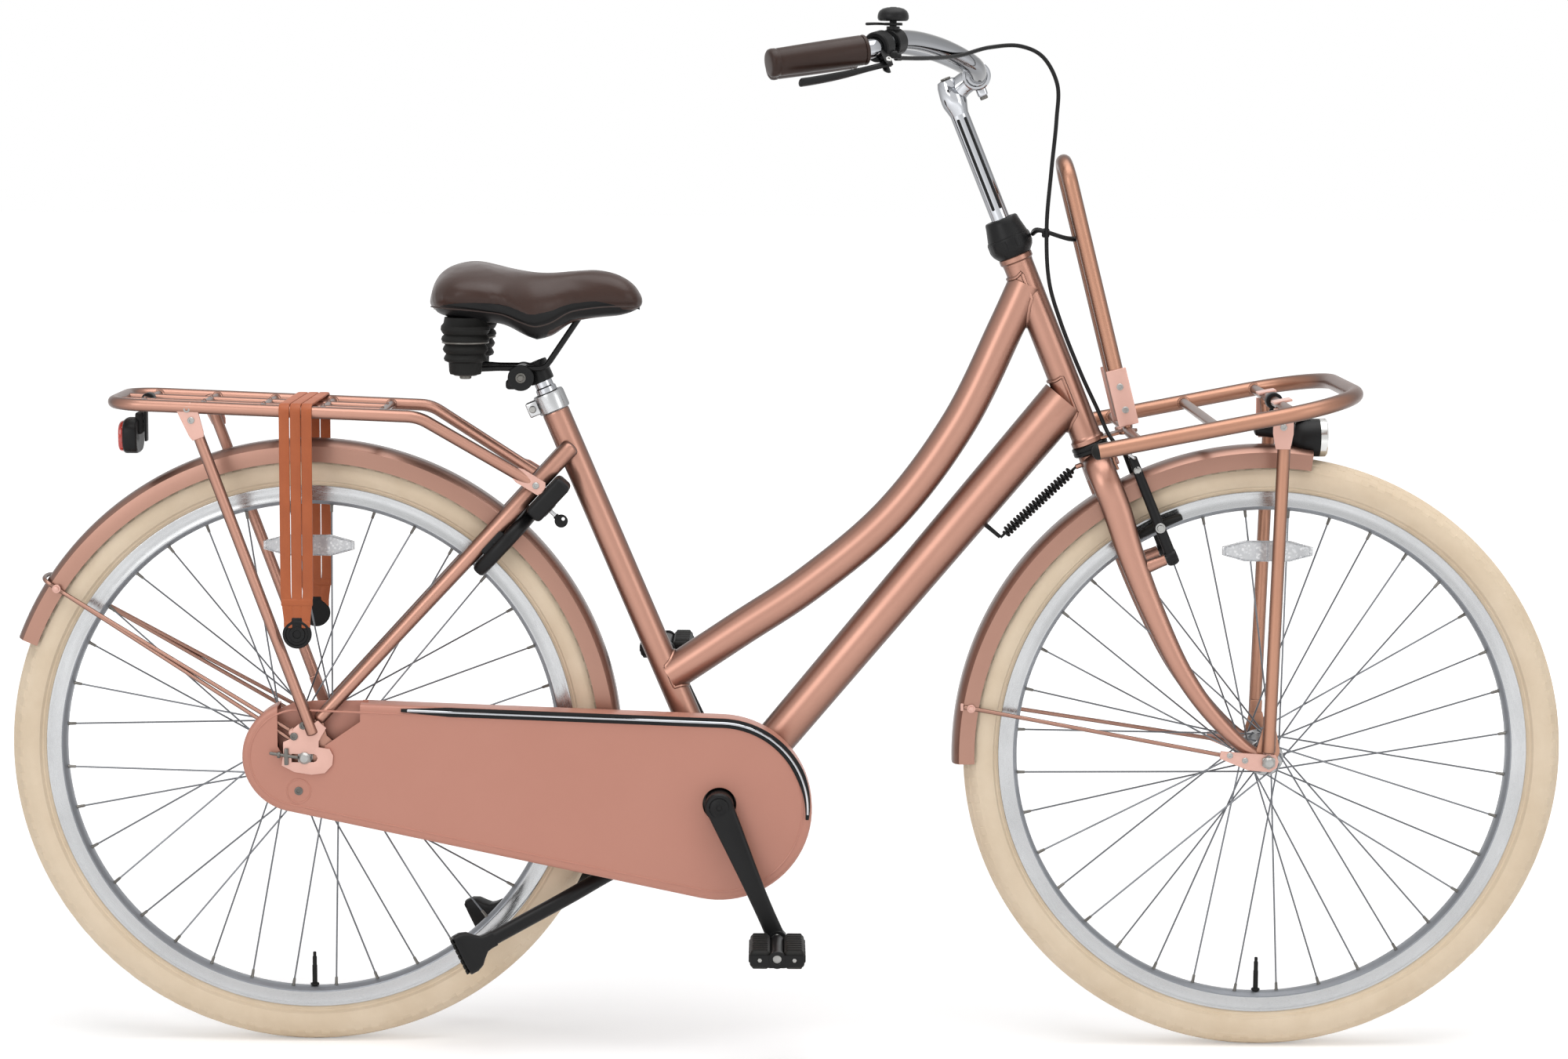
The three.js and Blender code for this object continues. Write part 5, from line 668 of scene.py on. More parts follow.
def tyre(name, axle, body, node):
    """The tyre: a round casing with a rim line, a ribbed tread and small cut shoulder blocks."""
    centre, round_r, steps = TYRE_R - 23.5, 23.1, 216
    bead = [(RIM_FLOOR + 0.6, -9.4), (RIM_EDGE - 2, -9.6), (RIM_EDGE + 1.5, -11.6), (RIM_EDGE + 2.8, -14.4),
            (RIM_EDGE + 4.4, -14.9)]
    casing = [(centre + round_r * cos(a), round_r * sin(a)) for a in between(radians(-118), radians(118), 24)]
    bed = [(RIM_FLOOR + 0.6, 3), (RIM_FLOOR + 0.6, -3)]
    lathe(bead + casing + [(r, -y) for r, y in reversed(bead)] + bed, axle, ACROSS, steps)
    close_up()
    middle, shoulder = [], []
    for face in BENCH.faces:
        place = face.calc_center_median() - axle
        reach = hypot(place.x, place.z)
        around = int((atan2(place.z, place.x) / tau % 1) * steps + 0.5)
        lean = abs(degrees(atan2(place.y, reach - centre)))
        if reach < centre:
            continue
        if lean < 9 or (20 < lean < 40 and (around + int(lean > 30)) % 3):
            middle.append(face)
        elif 50 < lean < 68 and (around + int(lean // 9)) % 2:
            shoulder.append(face)
    for faces, rise in ((middle, 0.4), (shoulder, 0.35)):
        bmesh.ops.inset_region(BENCH, faces=faces, thickness=0.35, depth=rise, use_even_offset=True,
                               use_boundary=True)
    piece(name, cream_rubber, body, "tyre_rubber", node, angle=38)


def rim(name, end, axle, body, node):
    """The rim: an outer band with turned sides over a matt well bed, and its valve."""
    for side in SIDES:
        wall = ((RIM_EDGE, 10.1), (RIM_EDGE - 0.6, 11.7), (RIM_EDGE - 2, 12), (RIM_EDGE - 3.2, 11.6),
                (RIM_EDGE - 14, 11.4), (RIM_EDGE - 16, 12), (RIM_SHOULDER, 12), (RIM_SHOULDER, 10.6),
                (RIM_FLOOR - 1.4, 10.1))
        lathe([(r, -side * y) for r, y in wall], axle, ACROSS, 144)
    piece(name + "_band", bright_rims[end], body, "rim_aluminium", node)
    lathe(both([(RIM_FLOOR - 0.4, -10), (RIM_SHOULDER + 0.2, -11.6), (RIM_SHOULDER - 1.4, -11), (RIM_BED + 0.8, -7),
                (RIM_BED, -5.4)]), axle, ACROSS, 144)
    piece(name + "_bed", matt_rims[end], body, "rim_aluminium")
    lathe([(0, 0), (1.6, 0), (2.0, 0.6), (2.0, 5), (2.6, 6), (2.6, 16), (3, 17), (3, 44), (0, 44)],
          axle - UP * (RIM_BED - 42), -UP, 18)
    lathe([(3.1, 0), (5.2, 0), (5.2, 2.6), (3.1, 2.6)], axle - UP * (RIM_BED - 1), UP, 6)
    piece(name + "_valve", black_rubber, body, "tyre_rubber")


def spoke_places(axle, flange_r, flange_y):
    """For each spoke: its side, its hole in the flange, its head, its end in the rim and its run."""
    for side, out in WAYS:
        for i in range(SPOKES):
            rim_turn = (i + (0.25 if side < 0 else 0.75)) / SPOKES * tau
            hub_turn = rim_turn + (1 if i % 2 else -1) * 3.25 * tau / SPOKES
            hole = axle + heading(hub_turn) * (flange_r - 4) + out * flange_y
            start = hole + out * (2.6 if i % 2 else -2.6)
            end = axle + heading(rim_turn) * RIM_BED + out * 2.4
            yield side, hole, start, end, (end - start).normalized()


def spokes(name, axle, body, flange_r, flange_y, *nodes):
    places = list(spoke_places(axle, flange_r, flange_y))
    for side, hole, start, end, run in places:
        tube([start, mix(start, end, 0.5), end + run * 2], 1.05, 8)
        lathe([(0, -0.9), (1.7, -0.8), (2, 0), (1.7, 0.8), (0, 0.9)], start - ACROSS * side * 0.1, ACROSS, 10)
    piece(name, spoke_steel, body, "steel", *nodes)
    for side, hole, start, end, run in places:
        lathe([(0, 0), (1.3, 0.2), (1.7, 1), (1.9, 8), (2.5, 9.5), (2.6, 13), (0, 13)], end - run * 9.5, run, 10)
    piece(name + "_nipples", dark_steel, body, "steel")


def hub(name, axle, body, node, shell_r, flange_r, flange_y):
    """The hub shell, with its drilled flanges and end caps, as long as its solid."""
    low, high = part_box(node)
    half = (high[1] - low[1]) / 2 / MM
    lathe(both([(5.3, -half), (shell_r * 0.62, -half), (shell_r * 0.7, -half + 2.5), (shell_r * 0.72, -flange_y - 3),
                (shell_r, -flange_y - 2.2), (flange_r - 1, -flange_y - 2.2), (flange_r, -flange_y - 1.4),
                (flange_r, -flange_y + 1.4), (flange_r - 1, -flange_y + 2.2), (shell_r + 3, -flange_y + 3),
                (shell_r, -flange_y + 9), (shell_r * 0.96, -flange_y * 0.3)]), axle, ACROSS, 64)
    piece(name, hub_metal, body, "bright_aluminium", node)
    for _, hole, *_ in spoke_places(axle, flange_r, flange_y):
        lathe(both([(1.1, -2.5), (2.2, -2.5)]), hole, ACROSS, 10)
    piece(name + "_eyelets", zinc, body, "bright_aluminium")


def reflector(name, axle, body, node):
    """The clear reflector between the spokes, with its frame and its prism window."""
    low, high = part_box(node)
    middle = (Vector(low) + Vector(high)) / 2 / MM
    out = middle - axle
    out.y = 0
    facing = frame_at(middle, ACROSS, out.cross(ACROSS))
    outline = [(-54, -5), (-27, -12.5), (27, -12.5), (54, -5), (54, 5), (27, 12.5), (-27, 12.5), (-54, 5)]
    plate(outline, 6.6, facing, bevel=1.6, segments=3)
    piece(name, prism_lens, body, "reflector_plastic", node)
    for side in SIDES:
        tube([facing @ at(x * 0.93, y * 0.9, side * -3.2) for x, y in outline], 0.8, 8, closed=True)
    block((3, 21, 7), facing, 0.5)
    piece(name + "_frame", smoke_lens, body, "reflector_plastic")


for end, axle in (("rear", REAR), ("front", FRONT)):
    body = end + "_wheel"
    tyre(end + "_tyre_casing", axle, body, end + "_tyre")
    rim(end + "_wheel_rim", end, axle, body, end + "_rim")
    reflector(end + "_clear_reflector", axle, body, end + "_reflector")
spokes("rear_wheel_spokes", REAR, "rear_wheel", 33, 31, "rear_spokes_left", "rear_spokes_right")
spokes("front_wheel_spokes", FRONT, "front_wheel", 22, 33, "front_spokes_left", "front_spokes_right")
hub("rear_wheel_hub", REAR, "rear_wheel", "rear_hub", 25, 33, 31)
hub("front_wheel_hub", FRONT, "front_wheel", "front_hub", 15, 22, 33)


def axle_set(name, axle, body, node):
    """The axle with its nuts, domed ends and threads, as long as its solid."""
    low, high = (corner[1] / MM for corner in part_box(node))
    for side, out in WAYS:
        start = axle + out * (abs(low if side < 0 else high) - 14)
        hexagon(frame_at(start + out * 5, ACROSS, AHEAD), 8.8, 8, 0.7)
        lathe([(4.9, 0), (9, 0), (9, 1.2), (4.9, 1.2)], start, out, 24)
        lathe([(4.7, 8), (7.4, 8.4), (7, 11), (4.6, 13.4), (0, 14)], start, out, 24)
    thread = [(0, low + 3)]
    place = low + 3.2
    while place < high - 3.4:
        thread += [(4.75, place), (4.5, place + 0.8)]
        place += 1.6
    lathe(thread + [(0, high - 3)], axle, ACROSS, 20)
    piece(name, zinc, body, "steel", node)


axle_set("rear_axle_set", REAR, "frame", "rear_axle")
axle_set("front_axle_set", FRONT, "steering", "front_axle")


# Frame
def flared(radius, length, start=3.0, end=3.0, reach=9.0):
    """A tube's radius, widened at its ends as a weld leaves it."""
    def size(share):
        here = share * length
        extra = start * (1 - ease(here / reach)) + end * (1 - ease((length - here) / reach))
        return (radius(share) if callable(radius) else radius) + extra
    return size


head_top = on_steerer(0, 0, HEAD_LENGTH)
lathe([(13.6, 0), (19.4, 0), (20.2, 1), (20.2, 6), (18.4, 8), (18, 10), (18, 228), (18.4, 232), (20.2, 234),
       (20.2, 239), (19.4, 240), (13.6, 240)], HEAD_BOTTOM, STEER_DIR, 48)
piece("head_tube_shell", copper_paint, *FRAME, "head_tube")

top_foot = on_seat_tube(0, 0, 155)
top_head = on_steerer(0, 0, HEAD_LENGTH - 36)
TOP_SHARES = ((0, 0), (0.2, 0.12), (0.39, 0.234), (0.625, 0.415), (0.816, 0.648), (0.945, 0.889), (1, 1))
top_guide = [at(mix(top_foot.x, top_head.x, x), 0, mix(top_foot.z, top_head.z, z)) for x, z in TOP_SHARES]
top_route = smooth(top_guide, 70)
tube(top_route, 21.5, 36)
top_tube = piece("curved_top_tube", copper_paint, *FRAME, "top_tube")
cut_rods(top_tube, (BRACKET, SEAT_TUBE_TOP, 15.5), (HEAD_BOTTOM, head_top, 17))

down_foot = BRACKET + at(12, 0, 0)
down_head = on_steerer(0, 0, 64)
down_run = (down_head - down_foot).normalized()
tube(resampled([down_foot, down_head - down_run * 9], 6), taper(23, 28), 40)
down_tube = piece("wide_down_tube", copper_paint, *FRAME, "down_tube")
cut_rods(down_tube, (HEAD_BOTTOM, head_top, 17), (BRACKET - ACROSS * 40, BRACKET + ACROSS * 40, 20))
lathe([(0, 0), (16.5, 0), (16.5, 498), (15.9, 500), (13.9, 500), (13.9, 300), (0, 300)], BRACKET, SEAT_DIR, 48)
lathe(both([(8.3, -34), (18.5, -34), (20.4, -33.4), (21, -32)]), BRACKET, ACROSS, 56)
piece("seat_tube_and_shell", copper_paint, *FRAME, "seat_tube")


# Weld beads round the joints of the frame
def weld(centre, axis, radius, wave=0.35, thick=2.1):
    count, matrix = 56, frame_at(centre, axis)
    route = [matrix @ at(x, y, wave * (i % 2)) for i, (x, y) in enumerate(circle(0, 0, radius, count))]
    tube(route, thick, 8, closed=True)


def saddle_weld(place, axis, tube_r, target_r, coming, thick=2.2, count=64):
    """A bead along the line where a tube of tube_r, coming from there, meets a tube of target_r."""
    coming = coming.normalized()
    out = (coming - axis * coming.dot(axis)).normalized()
    side = axis.cross(out)
    steep = max(coming.dot(out), 0.2)
    route = []
    for i in range(count):
        turn = tau * i / count
        across = max(-target_r * 0.999, min(target_r * 0.999, tube_r * sin(turn)))
        lift = sqrt(target_r * target_r - across * across)
        route.append(place + out * (lift + 0.25 * (i % 2)) + side * across
                     + axis * (tube_r * cos(turn) + coming.dot(axis) * lift) / steep)
    tube(route, thick, 8, closed=True)


saddle_weld(top_head, STEER_DIR, 21.7, 18, top_route[-2] - top_route[-1])
saddle_weld(down_head, STEER_DIR, 28, 18, -down_run)
saddle_weld(top_foot, SEAT_DIR, 21.6, 16.5, top_route[1] - top_route[0])
saddle_weld(BRACKET, ACROSS, 23, 21, down_run)
saddle_weld(BRACKET, ACROSS, 16.6, 21, SEAT_DIR)
piece("frame_weld_beads", copper_paint, *FRAME)

# The open lug of the steering spring under the down tube
spring_low = on_steerer(-138.53, 0, -66.19)
foot_on_tube = down_foot + down_run * (spring_low - down_foot).dot(down_run)
to_tube = (foot_on_tube - spring_low).normalized()
tube([foot_on_tube, spring_low + to_tube * 1.5], taper(3.4, 2.4), 14, domes=(0, 1))
piece("spring_lug", satin_black, *FRAME)

# Chain stays, dropout plates and the stand's ears
STAY_Y = 65
STAND_PIVOT = at(-154, 0, 238)


def stay_route(side, start, end, places):
    return [at(mix(start.x, end.x, share), side * y, mix(start.z, end.z, share)) for share, y in places]


def chain_stay_route(side):
    return stay_route(side, BRACKET, REAR + at(25.6, 0, 0), ((0.03, 25), (0.15, 33), (0.34, 36.25), (0.62, 47),
                                                             (0.85, 62), (1, STAY_Y)))


def seat_stay_route(side):
    return stay_route(side, SEAT_TUBE_TOP - SEAT_DIR * 46, REAR + at(17.6, 0, 46.4),
                      ((0, 17), (0.24, 40.45), (0.5, 43.75), (1, STAY_Y)))


for side in SIDES:
    tube(smooth(chain_stay_route(side), 40), taper((10, 7), (7.5, 7)), 24, upward=UP, domes=(4, 6))
piece("chain_stay_tubes", copper_paint, *FRAME, "chain_stays")
for side in SIDES:
    tube(smooth(seat_stay_route(side), 48), taper(11, 7.5), 24, domes=(5, 6))
bridge = seat_stay_route(1)[1] + at(15, 0, 15)
tube([at(bridge.x, y, bridge.z) for y in (-40, 0, 40)], 7.5, 20)
piece("seat_stay_tubes", copper_paint, *FRAME, "seat_stays")

DROPOUT = ((2.6, -0.6), (2.6, 0.7), (1.6, 1.6), (1.3, 2.8), (0.4, 2.8), (-0.6, 1.3), (-1, 0.2), (-0.7, -0.8),
           (0, -1.1))
for side, out in WAYS:
    outline = [(x * 16, z * 16) for x, z in DROPOUT]
    plate(outline, 6, side_on(REAR + out * STAY_Y), [circle(0, 0, 5.2)], 0.9)
    hex_bolt(REAR + at(-4, side * (STAY_Y + 3), 24), out, 4.5, 3)
piece("rear_dropout_plates", copper_paint, *FRAME)
EAR_RISE = 75.0123
for out in OUTWARD:
    arc = [(10 * cos(radians(a)), 10 * sin(radians(a))) for a in range(180, 361, 20)]
    plate([*arc, (15, EAR_RISE), (-15, EAR_RISE)], 5, side_on(STAND_PIVOT + out * 32.8), [circle(0, 0, 5.1)], 0.8)
block((46, 56, 5), STAND_PIVOT + UP * EAR_RISE, 1.0)
lathe(both([(0, -35.3), (5, -35.3)]), STAND_PIVOT, ACROSS, 24)
piece("stand_ears", copper_paint, *FRAME)
for out in OUTWARD:
    hex_bolt(STAND_PIVOT + out * 35.3, out, 5.2, 3.4, 7)
piece("stand_pivot_bolts", zinc, *FRAME)


# Headset, fork and brake studs
def steerer_profile(profile, steps=48):
    lathe(profile, HEAD_BOTTOM, STEER_DIR, steps, STEER_FORWARD)


steerer_profile([(13, HEAD_LENGTH + 0.3), (20, HEAD_LENGTH + 0.3), (24.5, 246), (26, 250), (26, 262), (25.4, 263.4),
                 (24.6, 263.6), (24.6, 264.8), (24.2, 266), (21, 279), (20, 284.5), (18.6, 286.2), (13, 286.2)])
for x, y in circle(0, 0, 25.6, 10):
    place = on_steerer(x, y, 256)
    block((1.4, 5, 11), frame_at(place, STEER_DIR, place - on_steerer(0, 0, 256)), 0.5)
piece("headset_cover_cap", satin_black, *BLACK_STEERING, "headset_cover")
steerer_profile([(0, -41), (18, -41), (18, -13), (17, -11.4), (0, -11.4)])
STUD_FALL = -158
FORK_LEG = ((0, 0.15, 0.053), (0, 0.55, 0.06), (0, 0.79, 0.105), (0, 0.81, 0.19), (-0.07, 0.81, 0.325),
            (-0.07, 0.83, 0.51), (0.03, 0.87, 0.685), (0.27, 0.92, 0.82), (0.67, 0.98, 0.945), (0.9, 1, 0.985))
for side in SIDES:
    guide = [on_steerer(f * FORK_RAKE, side * out * 53, -down * FORK_LENGTH) for f, out, down in FORK_LEG]
    tube(smooth(guide, 60), lambda share: (mix(17, 8, max(share * 1.25 - 0.25, 0)), mix(11, 8, share)), 28,
         upward=STEER_FORWARD, domes=(3, 4))
    tube([on_steerer(forward, side * 40, STUD_FALL) for forward in (0, 26, 31.8)],
         lambda share: 8.5 if share < 0.5 else 7, 20, domes=(0, 0.5))
tube([on_steerer(-14, 0, -21), on_steerer(-24, 0, -21)], 3, 14, domes=(0, 1.5))
piece("fork_crown_and_legs", copper_paint, *FORK, "fork")
steerer_profile([(13, -11.3), (20.5, -11.3), (22, -10), (22, -6.4), (20.8, -6), (20.8, -5), (22, -4.6), (22, -1.6),
                 (21, -0.4), (13, -0.4)])
piece("lower_headset_ring", satin_black, *BLACK_STEERING)
for out in OUTWARD:
    washer_plate(13, 6, side_on(FRONT + out * 53), 5.2, 36)
piece("fork_dropout_plates", copper_paint, *FORK)
for side in SIDES:
    tube([on_steerer(forward, side * 40, STUD_FALL) for forward in (31.9, 46)], 3.9, 16)
    hex_bolt(on_steerer(43.6, side * 40, STUD_FALL), STEER_FORWARD, 4, 2, 5.5)
piece("brake_studs", zinc, *FORK)

# Stem and handlebar
CLAMP = on_steerer(34, 0, 453)
steerer_profile([(0, 226.5), (11, 226.5), (11, 418), (12.5, 424), (14.6, 431), (15, 436), (14.6, 444), (13, 455),
                 (11, 460.6), (7, 462), (0, 462)])
tube(smooth([on_steerer(2, 0, 441), on_steerer(14, 0, 448), on_steerer(30, 0, 452)], 10),
     taper((13.5, 12), (13, 16)), 28, upward=STEER_DIR)
lathe(both([(13, -20), (15.6, -20), (17, -18.6)]), CLAMP, ACROSS, 48)
block((12, 16, 14), frame_at(on_steerer(34, 0, 434), STEER_DIR, STEER_FORWARD), 3.5, 3)
piece("chrome_stem", chrome, "steering", "chrome", "stem")
lathe([(0, 0), (4.2, 0), (4.8, 0.8), (4.8, 3.6), (4.2, 4.4), (2.6, 4.4), (2.4, 1.6), (0, 1.4)],
      on_steerer(34, 0, 428.2), -STEER_DIR, 24)
lathe([(0, 0), (5.4, 0), (6.2, 0.8), (5.8, 2.2), (3.2, 2.4), (3, 0.8), (0, 0.8)], on_steerer(0, 0, 461.8),
      STEER_DIR, 24)
piece("stem_bolts", dark_steel, "steering", "chrome")
for side in SIDES:
    for spread in (-0.42, 0.42):
        lean = pi / 2 * side + spread * side
        out = STEER_FORWARD * cos(lean) + ACROSS * sin(lean)
        tube(resampled([on_steerer(0, 0, up) + out * 9.7 for up in (300, 412)], 8), 2.3, 14, domes=(2, 2))
piece("stem_flutes", satin_black, "steering", "chrome")

BAR = ((0, 0, 0), (0.005, 0.08, 0.03), (-0.03, 0.235, 0.32), (-0.2, 0.45, 0.82), (-0.39, 0.69, 1),
       (-0.54, 0.865, 0.71), (-1, 1, 0.26))


def bar_point(side, k):
    x, y, z = BAR[k]
    return CLAMP + at(x * 243, side * y * 298, z * 38)


def grip_run(side):
    return (bar_point(side, -1) - bar_point(side, -2)).normalized()


def bar_half(side):
    return smooth([bar_point(side, k) for k in range(len(BAR) - 1)], 44) + [bar_point(side, -1) - grip_run(side) * 5]


def on_bar(ahead):
    """A place on the right half of the bar, ahead of its grip, and the bar's run there."""
    start = bar_point(-1, -2)
    run = (bar_point(-1, -3) - start).normalized()
    return start + run * ahead, run


tube(bar_half(-1)[::-1] + bar_half(1)[1:], 11, 28)
tube([CLAMP + ACROSS * y for y in (-23, -21, 0, 21, 23)], lambda share: 11.4 if share in (0, 1) else 12.7, 32)
piece("swept_handlebar", chrome, "steering", "bright_aluminium", "handlebar")


def grip(side, name, node):
    """A leather-look grip with end rings, a rounded cap and a patch of small raised lozenges."""
    run = grip_run(side)
    start = bar_point(side, -2) + run * 5
    length = (bar_point(side, -1) - start).length
    profile = [(11.3, 0), (15.2, 0), (16.4, 0.8), (16.9, 2.4), (16.4, 4), (15.4, 4.4), (15.4, 5.4), (16.6, 6)]
    for share in between(0, 1, 44):
        profile.append((16.6 * (1 - 0.07 * share) + 0.25 * sin(pi * share), mix(7, length - 12, share)))
    profile += [(15.0, length - 11), (15.0, length - 10), (15.7, length - 9), (15.9, length - 5),
                (15.3, length - 2.2), (13.5, length - 0.6), (10, length), (0, length)]
    lathe([(0, length - 4.7), (11.3, length - 4.7)] + profile, start, run, 60)
    close_up()
    across = run.cross(UP).normalized() * (1 if side < 0 else -1)
    patch = []
    for face in BENCH.faces:
        place = face.calc_center_median() - start
        along = place.dot(run)
        out = place - run * along
        if not 20 < along < length - 26 or out.length < 14:
            continue
        turn = degrees(atan2(out.dot(UP), out.dot(across)))
        row = int((along - 20) / 2.5)
        column = int((turn + 180) / 6)
        if -38 < turn < 50 and (row + column) % 2:
            patch.append(face)
    bmesh.ops.inset_individual(BENCH, faces=patch, thickness=0.35, depth=0.35, use_even_offset=True)
    piece(name, grip_hide, "steering", "brown_cover", node, angle=40)


grip(-1, "right_hand_grip", "grip_right")
grip(1, "left_hand_grip", "grip_left")


# Brake lever, bell and cable
lever_run = grip_run(-1)
lever_out = at(0, -0.6, -0.7)
lever_out = (lever_out - lever_run * lever_out.dot(lever_run)).normalized()
clamp_point, clamp_run = on_bar(19)
lever_pivot = clamp_point + lever_out * 26
lever_axis = lever_run.cross(lever_out).normalized()
lathe(both([(11.6, -8), (15.6, -8), (17, -6.6)]), clamp_point, clamp_run, 40)
for sign in SIDES:
    offset = lever_axis * sign * 6.3
    tube(smooth([clamp_point + lever_out * 8 + offset, mix(clamp_point, lever_pivot, 0.7) + offset,
                 lever_pivot + lever_out * 5 + offset], 8), taper((7.5, 1.5), (5, 1.5)), 20, upward=clamp_run,
         domes=(0, 2))
tube([clamp_point + lever_out * 12 - lever_run * 6, clamp_point + lever_out * 15 - lever_run * 15], 4.6, 20,
     domes=(1, 1))
tube([clamp_point + lever_out * 15 - lever_run * 12, clamp_point + lever_out * 17.5 - lever_run * 19], 3.2, 18,
     domes=(0, 1))
piece("lever_clamp", black_plastic, *CONTROLS, "brake_lever_bracket")
for sign in SIDES:
    socket_bolt(lever_pivot + lever_axis * sign * 7.6, lever_axis * sign, 3.4, 2)
socket_bolt(clamp_point - lever_out * 16.4, -lever_out, 3, 2)
piece("lever_clamp_bolts", zinc, *CONTROLS)
lever_tip = bar_point(-1, -2) + lever_run * 96 + lever_out * 32
middle = mix(lever_pivot, lever_tip, 0.5) + lever_out * 2
blade = smooth([lever_pivot - lever_run * 4, lever_pivot, middle, mix(middle, lever_tip, 0.7)
                + lever_out * 0.6, lever_tip - lever_run * 4], 30)
tube(blade, lambda share: (3.7 - 1.0 * ease(share * 3) * (1 - share), mix(2.8, 6.2, ease(share * 1.3))), 24,
     upward=lever_out, domes=(1.5, 3))
piece("brake_lever_blade", satin_black, "brake_lever", "black_metal", "brake_lever")

bell_point, bell_run = on_bar(47)
bell_seat = bell_point + UP * 17
lathe(both([(11.5, -8.6), (14.4, -8.6), (15.3, -7.6)]), bell_point, bell_run, 40)
tube([bell_point + UP * 12, bell_seat + UP * 0.6], 7.4, 24)
lathe([(0, 0), (4, 0), (4, 8), (0, 8)], bell_seat, UP, 20)
piece("bell_clamp", satin_black, *BLACK_STEERING)
lathe([(0, 6.4), (14.6, 6.6), (16.4, 7.4), (17.4, 9.4), (17.4, 12), (16.8, 15), (15, 18), (11.6, 20.2), (6.8, 21.5),
       (3.8, 21.6), (3.6, 22), (0, 22)], bell_seat, UP, 56)
piece("bell_dome", satin_black, *BLACK_STEERING, "bell")
lathe([(4.5, 1.6), (10.2, 1.6), (10.5, 2.2), (10.5, 4), (10.2, 4.6), (4.5, 4.6)], bell_seat, UP, 32)
tube(smooth([bell_seat + at(x, 0, z) for x, z in ((-8, 3.1), (-20, 3.4), (-29, 3.1))], 8),
     taper((1.4, 3), (1.7, 4)), 16, upward=UP, domes=(1, 2))
piece("bell_thumb_lever", black_plastic, "bell_lever", "black_plastic", "bell_lever")

CABLE = ((-19.81, -186, 494.7), (18.71, -124, 483.23), (56.74, -84, 478.44), (91.73, -60, 466.25),
         (112.16, -46, 444.9), (116.67, -38, 408.46), (101.49, -34, 371.46), (73.34, -30, 315.99),
         (45.73, -27, 259.22), (25.15, -24, 198.49), (20.65, -18, 150.62), (20.96, -14, 80.23), (23.7, -16, 31.56),
         (24.22, -24, 6.48), (28.16, -42, -10.27), (35.85, -48, -23.15))
cable_point, cable_run = on_bar(32)
cable_out = (lever_out - cable_run * lever_out.dot(cable_run)).normalized()
cable_route = smooth([cable_point + cable_out * 19.8] + [on_steerer(*p) for p in CABLE], 150)
tube(cable_route, 2.4, 16)
piece("brake_cable_hose", hose_skin, *CONTROLS, "brake_cable")
end_run = (cable_route[-1] - cable_route[-3]).normalized()
start_run = (cable_route[0] - cable_route[1]).normalized()
for end, run, back, out in ((cable_route[0], start_run, 8, 1.5), (cable_route[-1], end_run, 9, 1)):
    tube([end - run * back, end + run * out], 3.1, 16, domes=(0.6, 0.6))
piece("cable_ferrules", satin_black, *CONTROLS)
noodle = smooth([cable_route[-1] + end_run, cable_route[-1] + end_run * 9 + ACROSS * 3,
                 on_steerer(39, -26, -34), on_steerer(39, -12, -31)], 16)
tube(noodle, 2.1, 14)
wire_end = on_steerer(39, 36, -32)
tube([noodle[-1], wire_end], 0.8, 8)
piece("brake_noodle", bright_metal, "steering", "steel")
boot = [on_steerer(39, y, -31.6) for y in (-10, 0, 9, 18, 27)]
tube(resampled(boot, 1.2), lambda share: 2.6 + 0.5 * sin(share * 70), 14, domes=(0.6, 0.6))
piece("brake_boot", black_rubber, *CONTROLS)


# Brake arms
def brake_arm(side, name, body, node):
    def arm_point(rise, y):
        return on_steerer(39.65, side * y, rise + STUD_FALL)

    route = smooth([arm_point(*p) for p in ((-7, 40), (10, 40.4), (38, 41), (84, 39), (126, 36.6))], 30)
    tube(route, taper((6.8, 5.2), (5.4, 3.8)), 22, upward=STEER_FORWARD, domes=(3, 2.5))
    lathe(both([(4.3, -7), (7.6, -7), (8, -6)]), arm_point(0, 40), STEER_FORWARD, 28)
    tube([arm_point(38, 29), arm_point(38, 49)], 4, 18, domes=(0, 0.6))
    piece(name, satin_black, body, "black_metal", node)
    reach = arm_point(38, 23.3)
    outward = reach - FRONT
    outward.y = 0
    outward.normalize()
    along = outward.cross(ACROSS)
    shoe = [reach + along * d - outward * (0.002 * d * d) for d in (-29, -20, -8, 8, 20, 29)]
    tube(smooth(shoe, 20), lambda share: (5.3 * (0.75 + 0.25 * sin(pi * share)), 8.4), 20, upward=outward,
         domes=(1.2, 1.2))
    piece(name + "_shoe", black_rubber, body, "black_metal")
    hex_bolt(arm_point(38, 47), ACROSS * side, 4.2, 3)
    hex_bolt(arm_point(111, 40), ACROSS * side, 3.6, 2.6, 4.6)
    piece(name + "_nuts", zinc, body, "black_metal")


brake_arm(-1, "right_brake_arm", "brake_arm_right", "brake_arm_right")
brake_arm(1, "left_brake_arm", "brake_arm_left", "brake_arm_left")


# Mudguards and their wires
def mudguard(name, axle, start, end, body, node):
    """A rolled blade swept round the wheel, with a folded lip along both edges."""
    section = both([(346, -25.4)] + [(372 - deep * 26, wide * 27) for deep, wide in (
        (1, -1), (0.62, -0.985), (0.3, -0.94), (0.12, -0.76), (0.02, -0.48), (0, -0.2))])
    verts = [BENCH.verts.new(on_wheel(axle, r, start, y)) for r, y in section]
    edges = [BENCH.edges.new(pair) for pair in zip(verts, verts[1:])]
    bmesh.ops.spin(BENCH, geom=verts + edges, cent=axle, axis=-ACROSS, angle=radians(end - start),
                   steps=round((end - start) * 1.2), use_merge=False, use_duplicate=False)
    bmesh.ops.recalc_face_normals(BENCH, faces=BENCH.faces)
    if sum((f.calc_center_median() - axle).dot(f.normal) for f in BENCH.faces) < 0:
        bmesh.ops.reverse_faces(BENCH, faces=BENCH.faces)
    obj = piece(name, guard_paint_darkened_as_painted_shade, body, "frame_paint", node)
    modify(obj, "SOLIDIFY", thickness=1.5 * MM, offset=-1)
    shade(obj)


